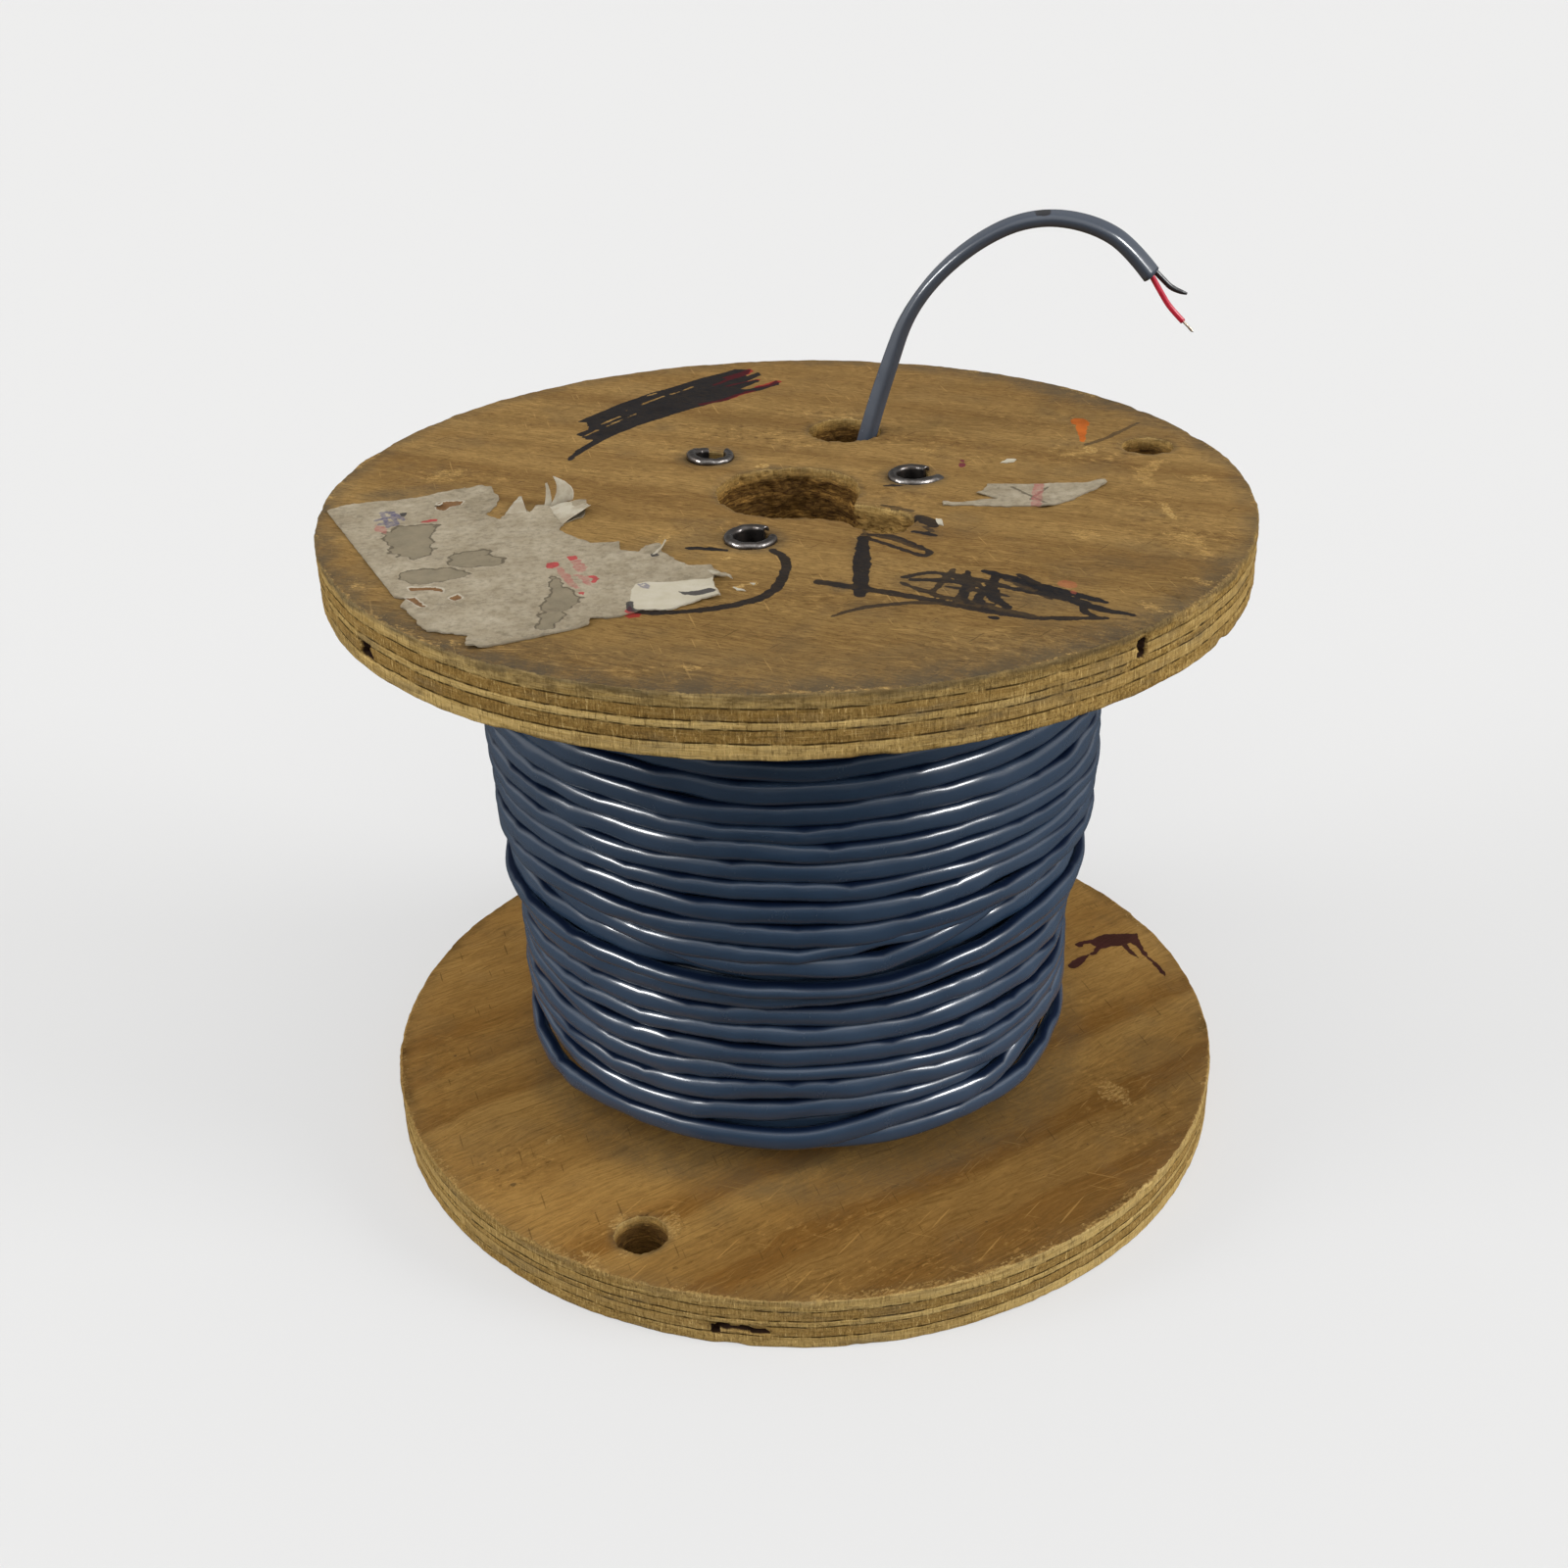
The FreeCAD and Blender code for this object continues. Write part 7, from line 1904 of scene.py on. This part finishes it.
red_pvc = plain_pvc("insulation_red", (0.62, 0.022, 0.060), (0.50, 0.015, 0.042), 0.30)
black_pvc = plain_pvc("insulation_black", (0.010, 0.010, 0.014), (0.018, 0.017, 0.022), 0.32)
k = Look("tinned_wire", 0.30, 0.5)
k.b.inputs["Metallic"].default_value = 1.0
sn = k.noise(k.p, 1 / 0.4, 3.0, 0.6)
tinned = k.finish(k.mix(k.line(sn, 0.35, 0.7), (0.62, 0.55, 0.46), (0.40, 0.33, 0.26)), k.line(sn, 0.3, 0.7, 0.24, 0.42), k.bump(sn, 0.3, 0.00006))


def steel_look(name):
    """Tarnished tinplate: darkened metal, brown in places, with a painted highlight along the crests of the upper
    curls.
    """
    k = Look(name, 0.3, 0.5)
    k.b.inputs["Metallic"].default_value = 0.92
    a = k.noise(k.p, 1 / 5.0, 4.0, 0.6)
    b = k.noise(k.p, 1 / 1.3, 4.0, 0.65)
    rub = k.attr("rub")[0]
    col = k.mix(k.line(a, 0.32, 0.68), (0.088, 0.081, 0.077), (0.048, 0.043, 0.040))
    col = k.mix(k.line(b, 0.48, 0.72, 0.0, 0.6), col, (0.060, 0.042, 0.030))
    # painted highlight: the steel is made bright where rub is high
    col = k.mix(k.math("MULTIPLY", rub, k.line(b, 0.3, 0.6, 1.0, 0.35)), col, (0.24, 0.225, 0.215))
    rough = k.line(k.math("ADD", k.math("MULTIPLY", a, 0.5), k.math("MULTIPLY", b, 0.5)), 0.32, 0.68, 0.20, 0.44)
    scr = k.noise(k.comb(*[k.math("MULTIPLY", q, f) for q, f in zip(k.sep(k.p), (1 / 4.0, 1 / 4.0, 1 / 0.5))]), 1.0, 3.0, 0.6)
    return k.finish(col, rough, k.bump(k.math("ADD", scr, k.math("MULTIPLY", b, 0.6)), 0.4, 0.00012))


steel = steel_look("tie_tube_steel")

k = Look("fibre_board", 0.85, 0.25)
x, y, z = k.sep(k.p)
wrap = k.noise(k.comb(k.math("MULTIPLY", x, 1 / 22.0), k.math("MULTIPLY", y, 1 / 22.0), k.math("MULTIPLY", z, 1 / 3.0)), 1.0, 4.0, 0.6)
fuzz = k.noise(k.p, 1 / 0.9, 4.0, 0.65)
seam = k.step(k.math("ABSOLUTE", k.math("SUBTRACT", k.math("FRACT", k.math("ADD", k.math("MULTIPLY", z, 1 / 88.0), k.math("MULTIPLY", k.math("ARCTAN2", y, x), 1 / 6.2832))), 0.5)), 0.012, 0.004)
col = k.mix(k.line(wrap, 0.3, 0.7), (0.235, 0.150, 0.082), (0.160, 0.098, 0.052))
col = k.mix(k.line(fuzz, 0.4, 0.7, 0.0, 0.5), col, (0.085, 0.052, 0.028))
col = k.mix(k.math("MULTIPLY", seam, 0.7), col, (0.05, 0.03, 0.017))
kraft = k.finish(col, 0.85, k.bump(k.math("ADD", fuzz, k.math("MULTIPLY", wrap, 0.6)), 0.5, 0.0002))


k = Look("label_paper", 0.86, 0.18)
red, pink, blue, dark = k.attr("print")
torn, bare, clean, inner = k.attr("torn")
mott = k.noise(k.p, 1 / 7.0, 5.0, 0.62)
mott2 = k.noise(k.p, 1 / 1.8, 4.0, 0.62)
grain_p = k.noise(k.p, 1 / 0.35, 3.0, 0.6)
blot = k.noise(k.p, 1 / 26.0, 3.0, 0.55)
col = k.mix(k.line(mott, 0.32, 0.68), (0.440, 0.382, 0.276), (0.325, 0.270, 0.178))
col = k.mix(k.line(blot, 0.42, 0.66, 0.0, 0.60), col, (0.262, 0.212, 0.135))
col = k.mix(k.line(mott2, 0.46, 0.70, 0.0, 0.62), col, (0.195, 0.158, 0.100))
col = k.mix(k.line(mott2, 0.42, 0.22, 0.0, 0.35), col, (0.54, 0.49, 0.38))
fibre_p = k.step(k.noise(k.comb(*[k.math("MULTIPLY", q, f) for q, f in zip(k.sep(k.p), (1 / 2.4, 1 / 0.7, 1.0))]), 1.0, 3.0, 0.6), 0.60, 0.70)
col = k.mix(k.math("MULTIPLY", fibre_p, 0.22), col, (0.20, 0.165, 0.11))
rag = k.math("MULTIPLY", k.math("SUBTRACT", k.noise(k.p, 1 / 0.9, 4.0, 0.65), 0.5), 0.42)


def cut(v, soft=0.06, shift=0.0):
    return k.step(k.math("ADD", v, k.math("ADD", rag, shift)), 0.5 - soft, 0.5 + soft)


cl = k.mix(k.line(mott, 0.35, 0.65), (0.56, 0.515, 0.405), (0.50, 0.45, 0.335))
col = k.mix(cut(clean, 0.05), col, cl)
tn = k.mix(k.line(mott, 0.3, 0.7), (0.170, 0.142, 0.090), (0.262, 0.218, 0.142))
tm = cut(torn, 0.08)
col = k.mix(k.math("MULTIPLY", tm, 0.84), col, tn)
rim = k.math("MULTIPLY", cut(torn, 0.08, 0.16), k.math("SUBTRACT", 1.0, cut(torn, 0.08, -0.22)))
col = k.mix(k.math("MULTIPLY", rim, 0.74), col, (0.085, 0.066, 0.042))
bm_ = cut(bare, 0.06)
col = k.mix(bm_, col, k.mix(k.line(mott2, 0.3, 0.7), (0.235, 0.120, 0.045), (0.150, 0.075, 0.028)))
lipb = k.math("MULTIPLY", cut(bare, 0.08, 0.25), k.math("SUBTRACT", 1.0, bm_))
col = k.mix(k.math("MULTIPLY", lipb, 0.5), col, (0.62, 0.57, 0.46))
fade = k.line(mott2, 0.35, 0.65, 0.45, 1.0)
col = k.mix(k.math("MULTIPLY", cut(pink, 0.10), k.math("MULTIPLY", fade, 0.72)), col, (0.40, 0.115, 0.105))
col = k.mix(k.math("MULTIPLY", cut(red), 0.88), col, k.mix(k.line(mott2, 0.4, 0.65), (0.46, 0.030, 0.040), (0.34, 0.030, 0.035)))
col = k.mix(k.math("MULTIPLY", cut(blue, 0.10), k.math("MULTIPLY", fade, 0.78)), col, (0.060, 0.060, 0.155))
col = k.mix(k.math("MULTIPLY", cut(dark), 0.90), col, (0.022, 0.020, 0.026))
edge_l = k.step(k.math("ADD", inner, k.math("MULTIPLY", rag, 0.5)), 0.10, 0.02)
col = k.mix(k.math("MULTIPLY", edge_l, k.line(mott, 0.4, 0.6, 0.1, 0.55)), col, (0.26, 0.20, 0.125))
hp = k.math("ADD", k.math("MULTIPLY", mott2, 1.0), k.math("ADD", k.math("MULTIPLY", grain_p, 0.25), k.math("MULTIPLY", tm, -0.5)))
col = k.mix(1.0, col, (0.86, 0.86, 0.87), "MULTIPLY")
smut = k.math("MULTIPLY", k.line(blot, 0.38, 0.62), k.step(k.noise(k.p, 1 / 3.2, 5.0, 0.68), 0.52, 0.66))
col = k.mix(k.math("MULTIPLY", smut, k.line(cut(clean, 0.05), 0.0, 1.0, 0.55, 0.08)), col, (0.120, 0.098, 0.066))
paper = k.finish(col, 0.88, k.bump(hp, 0.5, 0.00016))

# ------------------------------------------------------------------ assembly
n_t = len(tail_line)
for o in (cable_upper, cable_lower, cable_inner):
    o.data.materials.append(jacket)
n_sec_tail = (len(cable_tail.data.vertices) - 2) // n_t
# spot: a small dark patch on the upper side of the tail just past the top of its arch, painted shade of a recess in the
# jacket
sp = np.zeros(len(cable_tail.data.vertices))
painted_shade_along = np.exp(-((s_tail / TAIL_LEN - 0.735) / 0.018) ** 2)
co = np.array([v.co[:] for v in cable_tail.data.vertices])
ring_of = np.minimum(np.arange(len(sp)) // n_sec_tail, n_t - 1)
up_side = smooth(0.0005, 0.0022, co[:, 2] - tail_line[ring_of][:, 2])
sp[:n_t * n_sec_tail] = (painted_shade_along[ring_of] * up_side)[:n_t * n_sec_tail]
set_colour(cable_tail, "spot", np.column_stack([sp, sp, sp, np.ones(len(sp))]))
cable_tail.data.materials.append(jacket_tail)
red_core.data.materials.append(red_pvc)
black_core.data.materials.append(black_pvc)
bare_strands.data.materials.append(tinned)
drum_cad = bpy.data.objects["drum"]
drum_cad.data.materials.clear()
drum_cad.data.materials.append(kraft)
for o in (tie_1, tie_2, tie_3):
    o.data.materials.append(steel)
for o in (label_paper, label_scrap, paper_shreds):
    o.data.materials.append(paper)
for o in (cable_tail, red_core, black_core, bare_strands, cable_upper, cable_lower, cable_inner, upper_flange, lower_flange,
          tie_1, tie_2, tie_3, label_paper, label_scrap, paper_shreds):
    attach(o, "root")
for o, node in ((cable_tail, "cable_tail"), (red_core, "red_conductor"), (black_core, "black_conductor"), (bare_strands, "red_strands"),
                (cable_upper, "cable_winding"), (upper_flange, "upper_flange"), (lower_flange, "lower_flange"),
                (tie_1, "tie_tube_1"), (tie_2, "tie_tube_2"), (tie_3, "tie_tube_3"), (label_paper, "label_paper"), (label_scrap, "label_scrap")):
    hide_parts(node)

# ------------------------------------------------------------------ floor and light
floor = fast_mesh("studio_floor", np.array([(-14, -14, 0), (14, -14, 0), (14, 14, 0), (-14, 14, 0)], float) + (0, 0, -0.00005), [[0, 1, 2, 3]])
fm = bpy.data.materials.new("studio_floor")
fm.use_nodes = True
fb = fm.node_tree.nodes["Principled BSDF"]
FLOOR_SHARE = 0.29
fb.inputs["Base Color"].default_value = (FLOOR_SHARE, FLOOR_SHARE, FLOOR_SHARE, 1)
fb.inputs["Roughness"].default_value = 1.0
fb.inputs["Specular IOR Level"].default_value = 0.0
fb.inputs["Emission Color"].default_value = (1, 1, 1, 1)
fb.inputs["Emission Strength"].default_value = 0.50
floor.data.materials.append(fm)
floor.visible_diffuse = False
floor.visible_glossy = False

world = bpy.data.worlds.new("studio")
scene.world = world
world.use_nodes = True
nt = world.node_tree
nt.nodes.clear()


def wn(kind, **kw):
    n = nt.nodes.new(kind)
    for a, v in kw.items():
        setattr(n, a, v)
    return n


def wmath(op, a, b=0.0, c=0.0, clamp=False):
    n = wn("ShaderNodeMath", operation=op, use_clamp=clamp)
    for s, v in zip(n.inputs, (a, b, c)):
        if isinstance(v, bpy.types.NodeSocket):
            nt.links.new(v, s)
        else:
            s.default_value = v
    return n.outputs[0]


def wstep(v, a, b, c, d):
    n = wn("ShaderNodeMapRange", interpolation_type="SMOOTHSTEP")
    for s, x in zip(n.inputs, (v, a, b, c, d)):
        if isinstance(x, bpy.types.NodeSocket):
            nt.links.new(x, s)
        else:
            s.default_value = x
    return n.outputs[0]


BELOW = 0.20          # light from under the horizon
FRONT_FILL = 0.24     # from the front and back
SIDE_FILL = 1.12      # from the left and right
TOP_FILL = 0.55
tc = wn("ShaderNodeTexCoord")
sep = wn("ShaderNodeSeparateXYZ")
nt.links.new(tc.outputs["Generated"], sep.inputs[0])
wx, wy, wz = sep.outputs
up = wstep(wz, -0.10, 0.10, BELOW, 1.0)
sides = wmath("ADD", FRONT_FILL, wmath("MULTIPLY", wmath("POWER", wmath("ABSOLUTE", wx), 1.5), SIDE_FILL - FRONT_FILL))
high = wstep(wz, 0.25, 0.85, 0.0, 1.0)
level = wmath("MULTIPLY", up, wmath("ADD", wmath("MULTIPLY", sides, wmath("SUBTRACT", 1.0, high)), wmath("MULTIPLY", TOP_FILL, high)))
lit = wn("ShaderNodeBackground")
nt.links.new(level, lit.inputs["Strength"])
lit.inputs["Color"].default_value = (1.0, 0.985, 0.96, 1)
seen = wn("ShaderNodeBackground")
seen.inputs["Color"].default_value = (0.836, 0.836, 0.836, 1)
lp = wn("ShaderNodeLightPath")
mixw = wn("ShaderNodeMixShader")
nt.links.new(lp.outputs["Is Camera Ray"], mixw.inputs[0])
nt.links.new(lit.outputs[0], mixw.inputs[1])
nt.links.new(seen.outputs[0], mixw.inputs[2])
out = wn("ShaderNodeOutputWorld")
nt.links.new(mixw.outputs[0], out.inputs["Surface"])


def sun(name, azimuth, elevation, energy, angle, diffuse=True, glossy=True, colour=(1, 1, 1)):
    """A far soft light from that side: azimuth 0 is in front, 90 to the right."""
    d = bpy.data.lights.new(name, "SUN")
    d.energy = energy
    d.angle = math.radians(angle)
    d.color = colour
    o = bpy.data.objects.new(name, d)
    COL.objects.link(o)
    a, e = math.radians(azimuth), math.radians(elevation)
    v = Vector((math.sin(a) * math.cos(e), -math.cos(a) * math.cos(e), math.sin(e)))
    o.rotation_mode = "QUATERNION"
    o.rotation_quaternion = v.to_track_quat("Z", "Y")
    o.location = v * 3
    o.visible_diffuse = diffuse
    o.visible_glossy = glossy
    return o


sun("overhead", 6, 62, 1.02, 70)
sun("left_window", -80, 21, 1.25, 24, glossy=False)
sun("right_window", 78, 21, 1.85, 24, glossy=False)
sun("left_glint", -67, 31, 3.4, 15, diffuse=False)
sun("right_glint", 63, 31, 3.9, 15, diffuse=False)
scene.view_settings.view_transform = "Standard"
scene.view_settings.look = "None"
scene.view_settings.exposure = 0.0
scene.view_settings.gamma = 1.0
